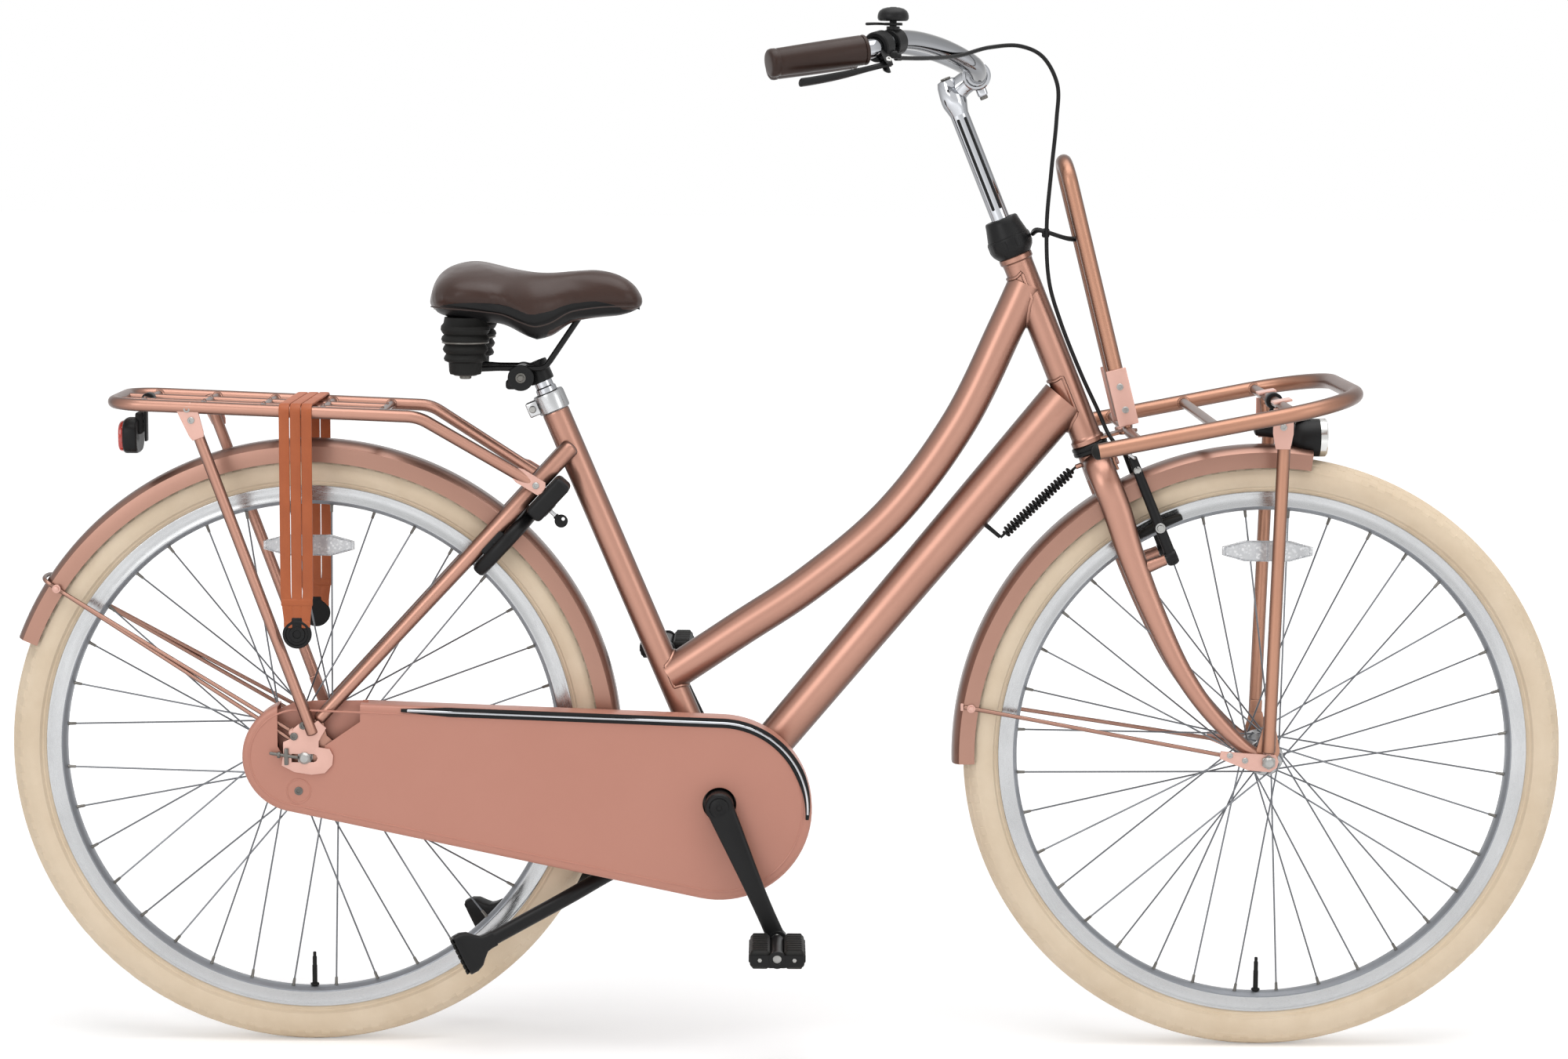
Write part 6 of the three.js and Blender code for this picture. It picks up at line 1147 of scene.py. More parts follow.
mudguard("rear_mudguard_blade", REAR, -14, 159, "frame", "rear_mudguard")
mudguard("front_mudguard_blade", FRONT, 82, 182, "steering", "front_mudguard")


def guard_wires(name, axle, outside, turn, eyelets, wide, body, bridge, *nodes):
    """The wires of a mudguard from their eyes on the axle, held wide of its middle, and their bolts."""
    for side in SIDES:
        for x, z in eyelets:
            eye = axle + at(x, side * outside, z)
            tube(bent([eye, *(on_wheel(axle, r, turn, side * wide) for r in (346, 363.3))], 8), 2.5, 14, domes=(1, 1))
            lathe(both([(2.4, -2.6), (5, -2.6), (5.6, -2)]), eye, ACROSS, 24)
    if bridge:
        over = [on_wheel(axle, r, turn, y) for r, y in ((360, -wide), (370, -27.5), (374.9, -18), (374.9, 18),
                                                        (370, 27.5), (360, wide))]
        tube(smooth(over, 30), 2.5, 14)
    piece(name, guard_paint_darkened_as_painted_shade, body, "frame_paint", *nodes)
    for side, out in WAYS:
        for x, z in eyelets:
            hex_bolt(axle + at(x, side * (outside + 2.4), z), out, 3.4, 2.2, 4.4)
        hex_bolt(on_wheel(axle, 355, turn, side * (wide + 1.6)), out, 3.2, 2.2, 5)
    piece(name + "_bolts", pink_zinc, body, "frame_paint")


guard_wires("rear_mudguard_wires", REAR, 70.9, 147, ((-12, 18), (-14, 30)), 29.9, "frame", True,
            "rear_mudguard_stays")
guard_wires("front_mudguard_wires", FRONT, 58.9, 171, ((-28, 2),), 27, "steering", False)
tube([on_steerer(0, 0, -41.2), on_steerer(0, 0, -57.6)], 4.9, 20)
hex_bolt(on_steerer(0, 0, -55), -STEER_DIR, 6, 2.4, 9)
for side in SIDES:
    block((3, 3.4, 9), frame_at(on_wheel(FRONT, 366, 171, side * 27.6), UP, ACROSS), 0.8)
piece("front_mudguard_fixings", pink_zinc, *FORK)


# Rear carrier with its lamp and strap
CROSSBARS = (-760, -690, -620, -550, -480)
RAIL_Y, CARRIER_STAY_Y = 80, 76
STAY_FOOT = at(-560, 0, 388)


def on_carrier(x, y, up=0.0):
    return at(x, y, 763 + (-433 - x) * 0.036 + up)


STAY_HEAD = on_carrier(-702, 0)
STAY_LEAN = (STAY_HEAD - STAY_FOOT).normalized()


def carrier_foot(side):
    top, knee = seat_stay_route(side)[:2]
    return mix(top, knee, 0.13 / 0.24) + ACROSS * side * 18.1


for side in SIDES:
    half = bent([carrier_foot(side), on_carrier(-433, side * RAIL_Y), on_carrier(-793, side * RAIL_Y),
                 on_carrier(-793, 0)], 45, 12)
    tube(half, 7.3, 24, domes=(3, 0))
    tube([on_carrier(x, side * 27) for x in (-480, -790)], 4.4, 18, domes=(2, 2))
for x in CROSSBARS:
    tube([on_carrier(x, -79), on_carrier(x, 79)], 4.4, 18)
piece("rear_carrier_rack", copper_paint, *CARRIER, "rear_carrier")
for side in SIDES:
    for x in CROSSBARS:
        weld(on_carrier(x, side * 73.4), ACROSS, 4.4)
        weld(on_carrier(x, side * 27), AHEAD, 4.4, 0.3, 1.7)
piece("rear_carrier_welds", copper_paint, *CARRIER)
for out in OUTWARD:
    foot, head = STAY_FOOT + out * CARRIER_STAY_Y, STAY_HEAD + out * CARRIER_STAY_Y
    tube(resampled([foot, head], 12), flared(6.7, (head - foot).length, 0.2, 0.4), 22, domes=(3, 2))
    washer_plate(10, 4, frame_at(foot - out * 5.6, -ACROSS, -STAY_LEAN.cross(ACROSS)), 3.2, bevel=0.7)
    block((3.6, 13, 46), frame_at(mix(foot, head, 0.06) - out * 5.4, STAY_LEAN, ACROSS), 1.4, 3)
piece("rear_carrier_stays", copper_paint, *CARRIER)
HEEL_PLATE = [(-12, -9), (-15, -4), (-15, 4), (-12, 9), (18, 9), (26, 6.5), (26, -6.5), (18, -9)]
HEAD_PLATE = [(-30, -7), (-24, -9), (-4, -11), (8, -12), (13, -6), (13, 6), (8, 12), (-4, 11), (-24, 9), (-30, 7)]
for side, out in WAYS:
    hex_bolt(STAY_FOOT + out * 72.6, out, 4.2, 3, 6.2)
    heel = carrier_foot(side)
    slope = (on_carrier(-433, heel.y) - heel).normalized()
    for shape, place, lean in ((HEEL_PLATE, heel + slope * 4 + out * 7.6, slope),
                               (HEAD_PLATE, STAY_HEAD - STAY_LEAN * 9 + out * 84, STAY_LEAN)):
        plate(shape, 2.6, frame_at(place, lean.cross(ACROSS).cross(lean), lean), bevel=0.8)
piece("rear_carrier_plates", pink_zinc, *CARRIER)
for side, out in WAYS:
    socket_bolt(carrier_foot(side) + out * 8.8, out, 4, 2)
    for up in (-16, -2):
        socket_bolt(STAY_HEAD + STAY_LEAN * up + out * 85.2, out, 4, 2)
piece("rear_carrier_screws", zinc, *CARRIER)
lamp_place = at(-781, 0, 732)
outline = [(copysign(abs(y) ** 0.6, y) * 29.6, copysign(abs(z) ** 0.7, z) * 21) for y, z in circle(0, 0, 1, 40)]
plate(outline, 17, frame_at(lamp_place + AHEAD * 2, -AHEAD, ACROSS), bevel=3, segments=3)
block((9, 24, 26), lamp_place + at(10.5, 0, 15), 3, 3)
plate([(-6, -9), (6, -9), (6, 30), (-6, 30)], 3, frame_at(at(-763.4, 0, 734), AHEAD, ACROSS), bevel=1)
lathe(both([(4.6, -8), (7.4, -8), (8, -7)]), on_carrier(-760, 0), ACROSS, 28)
piece("rear_lamp_case", black_plastic, "frame", "red_lens", "rear_light")
lens = [(y * 0.9, z * 0.88) for y, z in outline]
plate(lens, 7, frame_at(lamp_place + at(-8.4, 0, -0.4), -AHEAD, ACROSS), bevel=2.6, segments=4)
piece("rear_lamp_lens", red_lens, "frame", "red_lens")


STRAP_X, STRAP_Y = -575, 88.5
over = resampled(bent([at(STRAP_X, -STRAP_Y, 516), on_carrier(STRAP_X, -STRAP_Y, 8.3),
                       on_carrier(STRAP_X, STRAP_Y, 8.3), at(STRAP_X, STRAP_Y, 516)], 9, 8), 7)
for lane in (-13, 0, 13):
    route = [point + AHEAD * lane * (1 - 0.3 * ease((560 - point.z) / 44)) for point in over]
    tube(route, (6.15, 1.75), 16, upward=AHEAD, square=0.5)
for side in SIDES:
    for height, wide in ((519, 31), (545, 37)):
        block((wide, 4.4, 9), at(STRAP_X, side * STRAP_Y, height), 1.8, 3)
piece("luggage_strap_bands", strap_rubber, "frame", "strap_rubber", "luggage_strap")
for side in SIDES:
    place = at(STRAP_X, side * 88.4, 507.5)
    lathe([(0, -3), (15.4, -3), (17, -1.6), (17, 1.6), (15.4, 3), (13.4, 3), (12.8, 1.6), (9.6, 1.6), (9, 3),
           (5, 3), (4.4, 1.8), (0, 1.8)], place, ACROSS * side, 44)
    block((13, 5.2, 15), place + at(0, 0, 12.5), 2, 3)
piece("luggage_strap_hooks", black_plastic, "frame", "strap_rubber")


# Front carrier, headset hoop and headlight
def on_front_carrier(x, y):
    return at(x, y, 737 + (x - 352) * 0.2)


CARRIER_UP = at(-0.2, 0, 0.98)
RACK_BARS, RACK_HALF, RACK_STAY_Y = (400, 488, 575), 178, 66
corners = [on_front_carrier(x, y * RACK_HALF) for x, y in ((352, -1), (657.5, -1), (657.5, 1), (352, 1))]
tube(bent(corners, 100, 22), 9.3, 28)
for x in RACK_BARS:
    tube([on_front_carrier(x, -175), on_front_carrier(x, 175)], 5.9, 20)
piece("front_carrier_rack", orange_paint, *RACK, "front_carrier")
for side in SIDES:
    tube([on_front_carrier(353, side * RACK_HALF), on_front_carrier(350.5, side * RACK_HALF)], 9.2, 28, domes=(0, 7))
piece("front_carrier_end_plugs", black_rubber, *RACK)
for side in SIDES:
    for x in RACK_BARS:
        weld(on_front_carrier(x, side * 169.4), ACROSS, 6)
    weld(at(578.4, side * RACK_STAY_Y, 773.6), UP, 7.8)
piece("front_carrier_welds", orange_paint, *RACK)
low_end, high_end = on_steerer(20.3, 0, -41), on_steerer(20.3, 0, -19.8)
plate_route = smooth([low_end, mix(low_end, high_end, 0.7), high_end + at(3, 0, 4), at(352, 0, 730.5),
                      at(386, 0, 741.5), at(404, 0, 746)], 34)
tube(plate_route, (1.95, 13.9), 24, upward=STEER_FORWARD - STEER_DIR * 0.6, square=0.35)
piece("front_carrier_bridge", orange_paint, *RACK)
for side, out in WAYS:
    foot, knee, head = (at(x, side * RACK_STAY_Y, z) for x, z in ((569.5, 371), (579, 735), (575, 779)))
    route = resampled(bent([foot, knee, head], 40, 10), 10)
    tube(route, flared(7.7, length_of(route), 0.2, 0.2), 24, domes=(3, 3))
    run = (knee - foot).normalized()
    outline = [(14 * cos(a), 14 * sin(a)) for a in between(pi, 2 * pi, 20)] + [(9, 26), (-7, 26)]
    plate(outline, 3.9, side_on(foot - out * 7.6), [circle(0, 0, 4)], 0.8)
    block((4.2, 15, 44), frame_at(mix(foot, knee, 0.052) - out * 6.6, run, ACROSS), 1.6, 3)
piece("front_carrier_stays", orange_paint, *RACK)
for side, out in WAYS:
    hex_bolt(at(569.5, side * 62, 371), out, 5, 3.6, 7)
    hex_bolt(at(571, side * 62, 390), out, 3.6, 2.6, 5.4)
    block((22, 26, 3), frame_at(on_front_carrier(575, side * RACK_STAY_Y) + UP * 5.4, at(-0.2, 0, 1), AHEAD), 0.9)
    shape = [(-12, -8), (-8.5, -26), (8.5, -26), (12, -8), (12, 22), (-12, 22)]
    plate(shape, 2.6, side_on(at(576.4, side * 75.4, 757)), bevel=0.8)
    tab = [(-57, 13), (-58, 4), (-24, -10), (2, -12), (10, -7), (12, 1), (8, 9), (-20, 10)]
    plate(tab, 2.6, side_on(FRONT + out * 65.6), [circle(0, 0, 4.8)], 0.8)
    socket_bolt(at(393, side * 8, 747.2), CARRIER_UP, 3.2, 2)
socket_bolt(on_steerer(22.4, 0, -31), STEER_FORWARD, 5.6, 3)
piece("front_carrier_bolts", pink_zinc, *RACK)

HOOP_HALF = 28
hoop_low, hoop_high = at(398, 0, 762), at(321, 0, 1062)
hoop_run = (hoop_high - hoop_low).normalized()
hoop_lean = hoop_run.cross(ACROSS)
arch = [hoop_high + hoop_run * HOOP_HALF * (sin(a) - 1) - ACROSS * HOOP_HALF * cos(a) for a in between(0, pi, 24)]
ends = [hoop_low + out * HOOP_HALF for out in OUTWARD]
loop = resampled([ends[0], arch[0]], 14)[:-1] + arch + resampled([arch[-1], ends[1]], 14)[1:]
tube(loop, 9.2, 26, domes=(2, 2))
rung = mix(hoop_low, hoop_high, 0.7)
tube([rung - ACROSS * 20.4, rung + ACROSS * 20.4], 3.9, 16)
for side in SIDES:
    tube([hoop_low + ACROSS * side * HOOP_HALF + hoop_run * 5, at(400, side * HOOP_HALF, 750)], (9, 5.2), 22,
         upward=ACROSS)
    washer_plate(11, 3.9, frame_at(at(400, side * HOOP_HALF, 746.6), CARRIER_UP, AHEAD), 3)
piece("headset_hoop", orange_paint, *RACK, "carrier_hoop")
crest = on_steerer(28.9, 0, 255.3)
for out in OUTWARD:
    start = rung + out * 14
    tube(smooth([start, start - AHEAD * 16 + out * 6, crest + out * 20 + at(6, 0, 5), crest + out * 8 + UP, crest],
                20), 2.4, 14)
block((9, 7, 11), crest + at(14, -14, 2), 2)
piece("hoop_wire", satin_black, *RACK)
for side, out in WAYS:
    hex_bolt(at(399.6, side * HOOP_HALF, 748.4), CARRIER_UP, 3.6, 2.4, 5.6)
    centre = mix(hoop_low, hoop_high, 0.085) + out * 37.4
    block((24, 68, 3), frame_at(centre, out, hoop_lean), 1.2)
piece("hoop_plates", pink_zinc, *RACK)
for side, out in WAYS:
    centre = mix(hoop_low, hoop_high, 0.085) + out * 38.8
    for up in (-15, 13):
        socket_bolt(centre + hoop_run * up, out, 4, 1.8)
    socket_bolt(at(576.4, side * 76.6, 757), out, 4, 2)
    for x, z in ((-46, 8), (-28, 2)):
        socket_bolt(FRONT + at(x, side * 66.8, z), out, 3.6, 1.8)
piece("front_carrier_screws", zinc, *RACK)
LAMP_LINE = at(0, 0, 738), AHEAD, 52, UP
tube([at(557, 0, 748), at(600, 0, 746)], taper((8.5, 9), (11, 12)), 28, domes=(5, 0))
lathe([(0, 596), (12, 597), (18, 603), (21.4, 612), (22.6, 622), (22.6, 631), (0, 631)], *LAMP_LINE)
block((10, 8, 22), at(575, 0, 762), 2.4, 3)
lathe(both([(6.1, -8), (9.4, -8), (10, -7)]), on_front_carrier(575, 0), ACROSS, 30)
tube([at(590, 0, 757), at(618, 0, 759)], taper((2, 7), (3, 7)), 20, upward=UP, domes=(1, 1))
piece("headlamp_case", black_plastic, *CONTROLS, "headlight")
lathe([(20.4, 629), (22.9, 629.4), (22.9, 636.6), (22, 638), (20.4, 638)], *LAMP_LINE)
piece("headlamp_band", silver_band, *CONTROLS)
lathe([(0, 633), (20.6, 633), (20.6, 636.4), (18, 638.4), (12, 639.6), (6, 640), (0, 640.1)], *LAMP_LINE)
piece("headlamp_glass", prism_lens, *CONTROLS)


# Chaincase
CASE_REAR, CASE_FRONT, CASE_Y = at(-577.5, 0, 358), at(-80, 0, 298), -54.3


def belt(rear_r, front_r, rear=CASE_REAR, front=CASE_FRONT, steps=(40, 40)):
    """The outline of two circles and the two lines that touch both, from the underside of the front one."""
    gap = front - rear
    lean, opened = atan2(gap.z, gap.x), acos((rear_r - front_r) / gap.length)
    points = [front + heading(a) * front_r for a in between(lean - opened, lean + opened, steps[0])]
    return points + [rear + heading(a) * rear_r for a in between(lean + opened, lean + tau - opened, steps[1])]


def flat(outline):
    return [(p.x, p.z) for p in outline]


def flat_frame(y):
    return side_on(ACROSS * y)


def by_axle(outline, size=1):
    return [(REAR.x + x * size, REAR.z + z * size) for x, z in outline]


SLOT_UNIT = 16
slot = by_axle([(-1.7, 0.3), (-1.6, -0.6), (-0.9, -1.05), (1.3, -1.1), (1.5, 0.9), (4.1, 2.7), (4.1, 5.2),
                (-2, 5.2), (-2, 0.8)], SLOT_UNIT)
plate(flat(belt(66.6, 109.6)), 38.8, flat_frame(CASE_Y), bevel=5.5, segments=4)
case = piece("chaincase_shell", case_plastic, *CASE, "chaincase")
plate(flat(belt(64.6, 107.6)), 35.2, flat_frame(CASE_Y), bevel=3.5, segments=3)
cut_away(case)
plate(circle(BRACKET.x, BRACKET.z, 20, 48), 60, flat_frame(CASE_Y))
cut_away(case)
plate(slot, 60, flat_frame(CASE_Y))
cut_away(case)
cover = by_axle([(-2, 0.2), (-1.9, -0.9), (-1.2, -1.4), (1.8, -1.4), (2, 0.7), (4.6, 2.5), (4.6, 4.12), (0.6, 4.08),
                 (-1, 3.88), (-2.3, 3.3)], SLOT_UNIT)
plate(cover, 1.6, flat_frame(-55.2), holes=[circle(REAR.x, REAR.z, 10.5)], bevel=0.3)
piece("chaincase_slot_cover", case_plastic, *CASE)
tube([p - ACROSS * 73.2 for p in belt(57, 98.5)], 1.3, 8, closed=True)
piece("chaincase_panel_line", case_plastic, *CASE)
post = chain_stay_route(-1)[3]
lathe([(0, 0), (5.6, 0), (6, -1), (6, -24), (0, -24)], post, ACROSS, 24)
socket_bolt(at(-577, -73.2, 318), -ACROSS, 5, 1.8)
piece("chaincase_screws", dark_steel, *CASE)
tube([at(x, -73.6, z) for x, z in circle(-577, 318, 14, 40)], 0.9, 8, closed=True)
piece("chaincase_screw_ring", case_plastic, *CASE)
outline = by_axle([(16, 45), (6, 37), (-6, 41), (-13, 35), (-14, 24), (-25, 19), (-25, 7), (-27, -9), (-12, -17),
                   (8, -20), (24, -18), (33, -8), (34, 3), (30, 11), (17, 13), (17, 20), (26, 36)])
slot_hole = by_axle([(-15, -4.8), (11, -4.8), (14, -3.4), (15.4, 0), (14, 3.4), (11, 4.8), (-15, 4.8)])
plate(outline, 2.6, flat_frame(-76.2), holes=[slot_hole], bevel=0.7)
piece("axle_slot_plate", pink_zinc, *FRAME)
socket_bolt(REAR + at(-1, -77.4, 39), -ACROSS, 4.6, 2.4)
socket_bolt(REAR + at(-12, -77.4, 26), -ACROSS, 4.6, 2.4)
block((5, 5, 20), REAR + at(-21, -78.6, 2), 1)
tube([REAR + at(-40, -79, 6), REAR + at(-8, -79, 1)], 2, 12, domes=(1, 1))
hex_bolt(REAR + at(-27, -79, 4), -AHEAD, 4.2, 3.4, 0.1)
piece("chain_tensioner", dark_steel, *FRAME)
case_gap = CASE_FRONT - CASE_REAR
top_turn = atan2(case_gap.z, case_gap.x) + acos((67 - 110) / case_gap.length)
trim_path = [CASE_FRONT + heading(a) * 104.5 - ACROSS * 75.1 for a in between(radians(-6), top_turn, 26)]
top_start, top_end = trim_path[-1], CASE_REAR + heading(top_turn) * 61.5 - ACROSS * 75.1
trim_path += resampled([top_start, mix(top_start, top_end, 0.76)], 8)[1:]
tube(trim_path, lambda share: (1.1, 5.6 * (0.35 + 0.65 * min(1, 10 * share, 10 * (1 - share)))), 14,
     upward=ACROSS, square=0.7)
piece("chaincase_edge_trim", black_plastic, "frame", "black_plastic", "chaincase_trim")
tube([p - ACROSS * 0.9 for p in trim_path[1:-1]], 1.6, 10, domes=(1, 1))
piece("chaincase_bright_line", chrome, "frame", "black_plastic")


# Chain, sprockets and spindle
REAR_TEETH, FRONT_TEETH, PITCH, CHAIN_Y = 16, 38, 12.7, -46
rear_pitch_r = PITCH / (2 * sin(pi / REAR_TEETH))
front_pitch_r = PITCH / (2 * sin(pi / FRONT_TEETH))
pins = belt(rear_pitch_r, front_pitch_r, REAR, BRACKET, (60, 40))
pins.append(pins[0])
links = round(length_of(pins) / PITCH / 2) * 2
pins = resampled(pins, length_of(pins) / links)[:-1]
for i, here in enumerate(pins):
    there = pins[(i + 1) % len(pins)]
    run = there - here
    for sign in SIDES:
        place = frame_at((here + there) / 2 + ACROSS * (sign * (3.3 if i % 2 else 2.3) + CHAIN_Y), ACROSS, run)
        outline = [(x * run.length / 2 + x * 3.6 * c, z) for x, z, c in ((-1, -3.4, 0), (1, -3.4, 0), (1, -1.6, 1),
                                                                         (1, 1.6, 1), (1, 3.4, 0), (-1, 3.4, 0),
                                                                         (-1, 1.6, 1), (-1, -1.6, 1))]
        plate(outline, 0.9, place)
    for radius, half, steps in ((1.8, 4.2, 10), (3.9, 1.9, 12)):
        lathe(both([(0, -half), (radius, -half)]), here + ACROSS * CHAIN_Y, ACROSS, steps)
piece("roller_chain", dark_steel, "frame", "steel", "chain")


def toothed(teeth, pitch_r, centre):
    """The outline of a sprocket."""
    return flat(centre + heading(tau * (tooth + share) / teeth) * (pitch_r + reach) for tooth in range(teeth)
                for share, reach in ((-0.5, -3.8), (-0.3, -3.3), (-0.14, 1.6), (-0.05, 3.6), (0.05, 3.6),
                                     (0.14, 1.6), (0.3, -3.3)))


plate(toothed(REAR_TEETH, rear_pitch_r, REAR), 2.2, flat_frame(CHAIN_Y), holes=[circle(REAR.x, REAR.z, 13)],
      bevel=0.3)
lathe(both([(5.3, -9), (13, -9), (14, -8)]), REAR - ACROSS * 43, ACROSS, 40)
piece("rear_cog", dark_steel, "rear_sprocket", "steel", "rear_sprocket")
lathe(both([(0, -90.4), (7.2, -90.4), (8, -89.4)]), BRACKET, ACROSS, 32)
piece("bracket_spindle", zinc, "cranks", "steel", "crank_spindle")


# Cranks and pedals
CRANK_LENGTH = 170


def crank_tip(turn):
    return BRACKET + heading(radians(turn)) * CRANK_LENGTH


def crank(side, turn, name, node, hub_in):
    tip, out = crank_tip(turn), ACROSS * side
    route = [mix(BRACKET, tip, share) + out * mix(90.5, 104.5, ease(share * 1.25))
             for share in (-0.02, 0.1, 0.25, 0.45, 0.65, 0.85, 1.0)]
    tube(smooth(route, 30), lambda share: (6.4, mix(16.5, 11, ease(share * 1.1)) * (1 - 0.08 * sin(pi * share))),
         24, upward=ACROSS, domes=(2, 6), square=0.62)
    lathe([(0, hub_in), (15.5, hub_in), (17, hub_in + 1.4), (17, 94), (15, 96.4), (12, 97), (11.4, 95.4),
           (0, 95.4)], BRACKET, out)
    lathe([(0, 98), (10.8, 98), (12, 99), (12, 109.8), (10.8, 111), (0, 111)], tip, out, 40)
    piece(name, satin_black, *CRANKS, node)
    lathe([(0, 95.4), (10.6, 95.4), (10.8, 96.4), (9, 97.6), (3.4, 97.9), (3, 96.8), (0, 96.6)], BRACKET, out, 36)
    piece(name + "_dust_cap", black_plastic, *CRANKS)
    lathe([(0, 104), (5, 104), (5, 203), (0, 203)], tip, out, 28)
    lathe([(0, 110.6), (8, 110.6), (8.4, 111.2), (8.4, 114), (7.6, 114.6), (0, 114.6)], tip, out, 6)
    piece(name + "_pedal_pin", zinc, *CRANKS)


crank(-1, -66, "right_crank_arm", "right_crank", 44.8)
crank(1, 114, "left_crank_arm", "left_crank", 47)
cuts = [circle(BRACKET.x + 50 * cos(a), BRACKET.z + 50 * sin(a), 15, 28)
        for a in (tau * k / 5 + 0.3 for k in range(5))]
plate(toothed(FRONT_TEETH, front_pitch_r, BRACKET), 2.2, flat_frame(CHAIN_Y), holes=cuts, bevel=0.3)
lathe([(16, 44.8), (30, 44.8), (31, 45.6), (31, 48.4), (30, 49.2), (16, 49.2)], BRACKET, -ACROSS, 40)
piece("front_chainring", dark_steel, *CRANKS)


def pedal(side, turn, name, body, node):
    """Two rubber blocks with rounded ribs on a cage, turning on the pin."""
    centre = crank_tip(turn) + ACROSS * side * 162
    for sign in SIDES:
        block((23.6, 89, 21), centre + AHEAD * sign * 19.8, 5.2, 4)
        for level in SIDES:
            for k in range(8):
                block((18, 5.6, 4), centre + at(sign * 19.8, (k - 3.5) * 10.6, level * 9.9), 1.6)
        for k in range(5):
            block((3.4, 12, 9), centre + at(sign * 31.2, (k - 2) * 17, 0), 1.3)
    piece(name + "_treads", pedal_black, body, "pedal_rubber", node)
    for out in OUTWARD:
        plate([(-31, -5.6), (31, -5.6), (31, 5.6), (8.6, 9.4), (-8.6, 9.4), (-31, 5.6)], 2.2,
              frame_at(centre + out * 44.6, ACROSS, AHEAD), holes=[circle(0, 0, 5.6)], bevel=0.6)
    lathe(both([(5.55, -43.6), (8.6, -43.6)]), centre, ACROSS, 32)
    lathe([(5.55, 38), (10, 38), (10.4, 38.6), (10.4, 45), (9.6, 46), (5.55, 46)], centre, ACROSS * side, 32)
    piece(name + "_cage", satin_black, body, "pedal_rubber")
    for sign in SIDES:
        for end in SIDES:
            hex_bolt(centre + at(sign * 20, end * 45.4, 0), ACROSS * end, 2.6, 0.8, 0.1)
    piece(name + "_bolts", zinc, body, "pedal_rubber")


pedal(-1, -66, "right_pedal_block", "right_pedal", "right_pedal")
pedal(1, 114, "left_pedal_block", "left_pedal", "left_pedal")


# Kickstand
stand_run = heading(radians(206))
stand_cross = at(stand_run.z, 0, -stand_run.x)
for side in SIDES:
    guide = [STAND_PIVOT + stand_run * along * 252 + ACROSS * side * out * 96 for along,
             out in ((-0.02, 0.12), (0.05, 0.205), (0.14, 0.215), (0.25, 0.22), (0.45, 0.48), (0.7, 0.72), (1, 1))]
    tube(smooth(guide, 40), taper((9.4, 9.4), (8.6, 8.2)), 24, upward=stand_cross, domes=(3, 1))
    foot = guide[-1]
    shin = (guide[-1] - guide[-2]).normalized()
    tube([foot - shin * d for d in (40, 32, 26, 20, 14, 6, -3)],
         lambda share: (mix(9.6, 25.5, ease((share - 0.25) * 2)), mix(8.6, 9.6, share)), 28, upward=stand_cross,
         domes=(0, 3), square=0.5)
lathe(both([(5.5, -29.8), (10.8, -29.8), (12, -28.6)]), STAND_PIVOT, ACROSS, 40)
block((26, 40, 18), frame_at(STAND_PIVOT + stand_run * 12, stand_run, stand_cross), 5, 3)
piece("centre_stand", satin_black, "kickstand", "black_metal", "kickstand")
for out in OUTWARD:
    for k in range(7):
        rib = STAND_PIVOT + stand_run * 257.2 + out * 96 + stand_cross * (k - 3) * 6.6
        block((5.7, 15.5, 3), frame_at(rib, stand_run, stand_cross), 0.7)
piece("centre_stand_treads", black_rubber, "kickstand", "black_metal")


# Ring lock
LOCK_TURN, LOCK_REACH, LOCK_RING = radians(47.196), 336, 50
lock_out, lock_along = heading(LOCK_TURN), heading(LOCK_TURN + pi / 2)


def on_lock(out, side, along):
    return REAR + lock_out * out + lock_along * along + ACROSS * side


def ring_place(reach, turn):
    return on_lock(LOCK_REACH + reach * cos(radians(turn)), reach * sin(radians(turn)), 0)


def ring_arc(reach, first, last, count):
    return [ring_place(reach, turn) for turn in between(first, last, count)]


tube(ring_arc(LOCK_RING, -131.5, 131.5, 66), (8.6, 9.6), 24, upward=lock_along, domes=(4, 4), square=0.72)
lock_body = piece("ring_lock_body", satin_black, *LOCK, "ring_lock_body")
for first, last in ((18, 140), (-140, -96)):
    tube(ring_arc(LOCK_RING, first, last, 44), 4.9, 24)
    cut_away(lock_body)
tube(ring_arc(57, 19.5, 129, 40), (2.7, 8), 16, upward=lock_along, square=0.6)
cut_away(lock_body)
shade(lock_body)
block((57, 41.5, 21.6), frame_at(on_lock(419, -41, -2), lock_along, lock_out), 6, 4)
piece("ring_lock_box", satin_black, *LOCK)
for side in SIDES:
    block((35, 20, 16), frame_at(on_lock(LOCK_REACH, side * 41.5, 8.3), lock_along, lock_out), 3.5, 3)
    socket_bolt(on_lock(LOCK_REACH, side * 51.4, 8.3), ACROSS * side, 3.6, 1.8)
piece("ring_lock_lugs", satin_black, *LOCK)
washer_plate(9.6, 1.2, frame_at(on_lock(409.3, -41, -13.2), -lock_along, lock_out), 4.2, 36, 0.3)
piece("ring_lock_keyhole_plate", dark_steel, *LOCK)
tube(ring_arc(LOCK_RING, 22, 130, 36), 3.9, 18, domes=(1, 1))
tube([ring_place(LOCK_RING, 25), ring_place(69, 25)], 2.2, 14, domes=(0, 1))
tube([ring_place(60.5, 25), ring_place(69, 25)], taper(2.8, 4.6), 18, domes=(0, 1.6))
piece("lock_shackle_ring", bright_metal, "lock_shackle", "steel", "lock_shackle")


def key_place(out):
    return on_lock(409.3, -41, -13 - out)


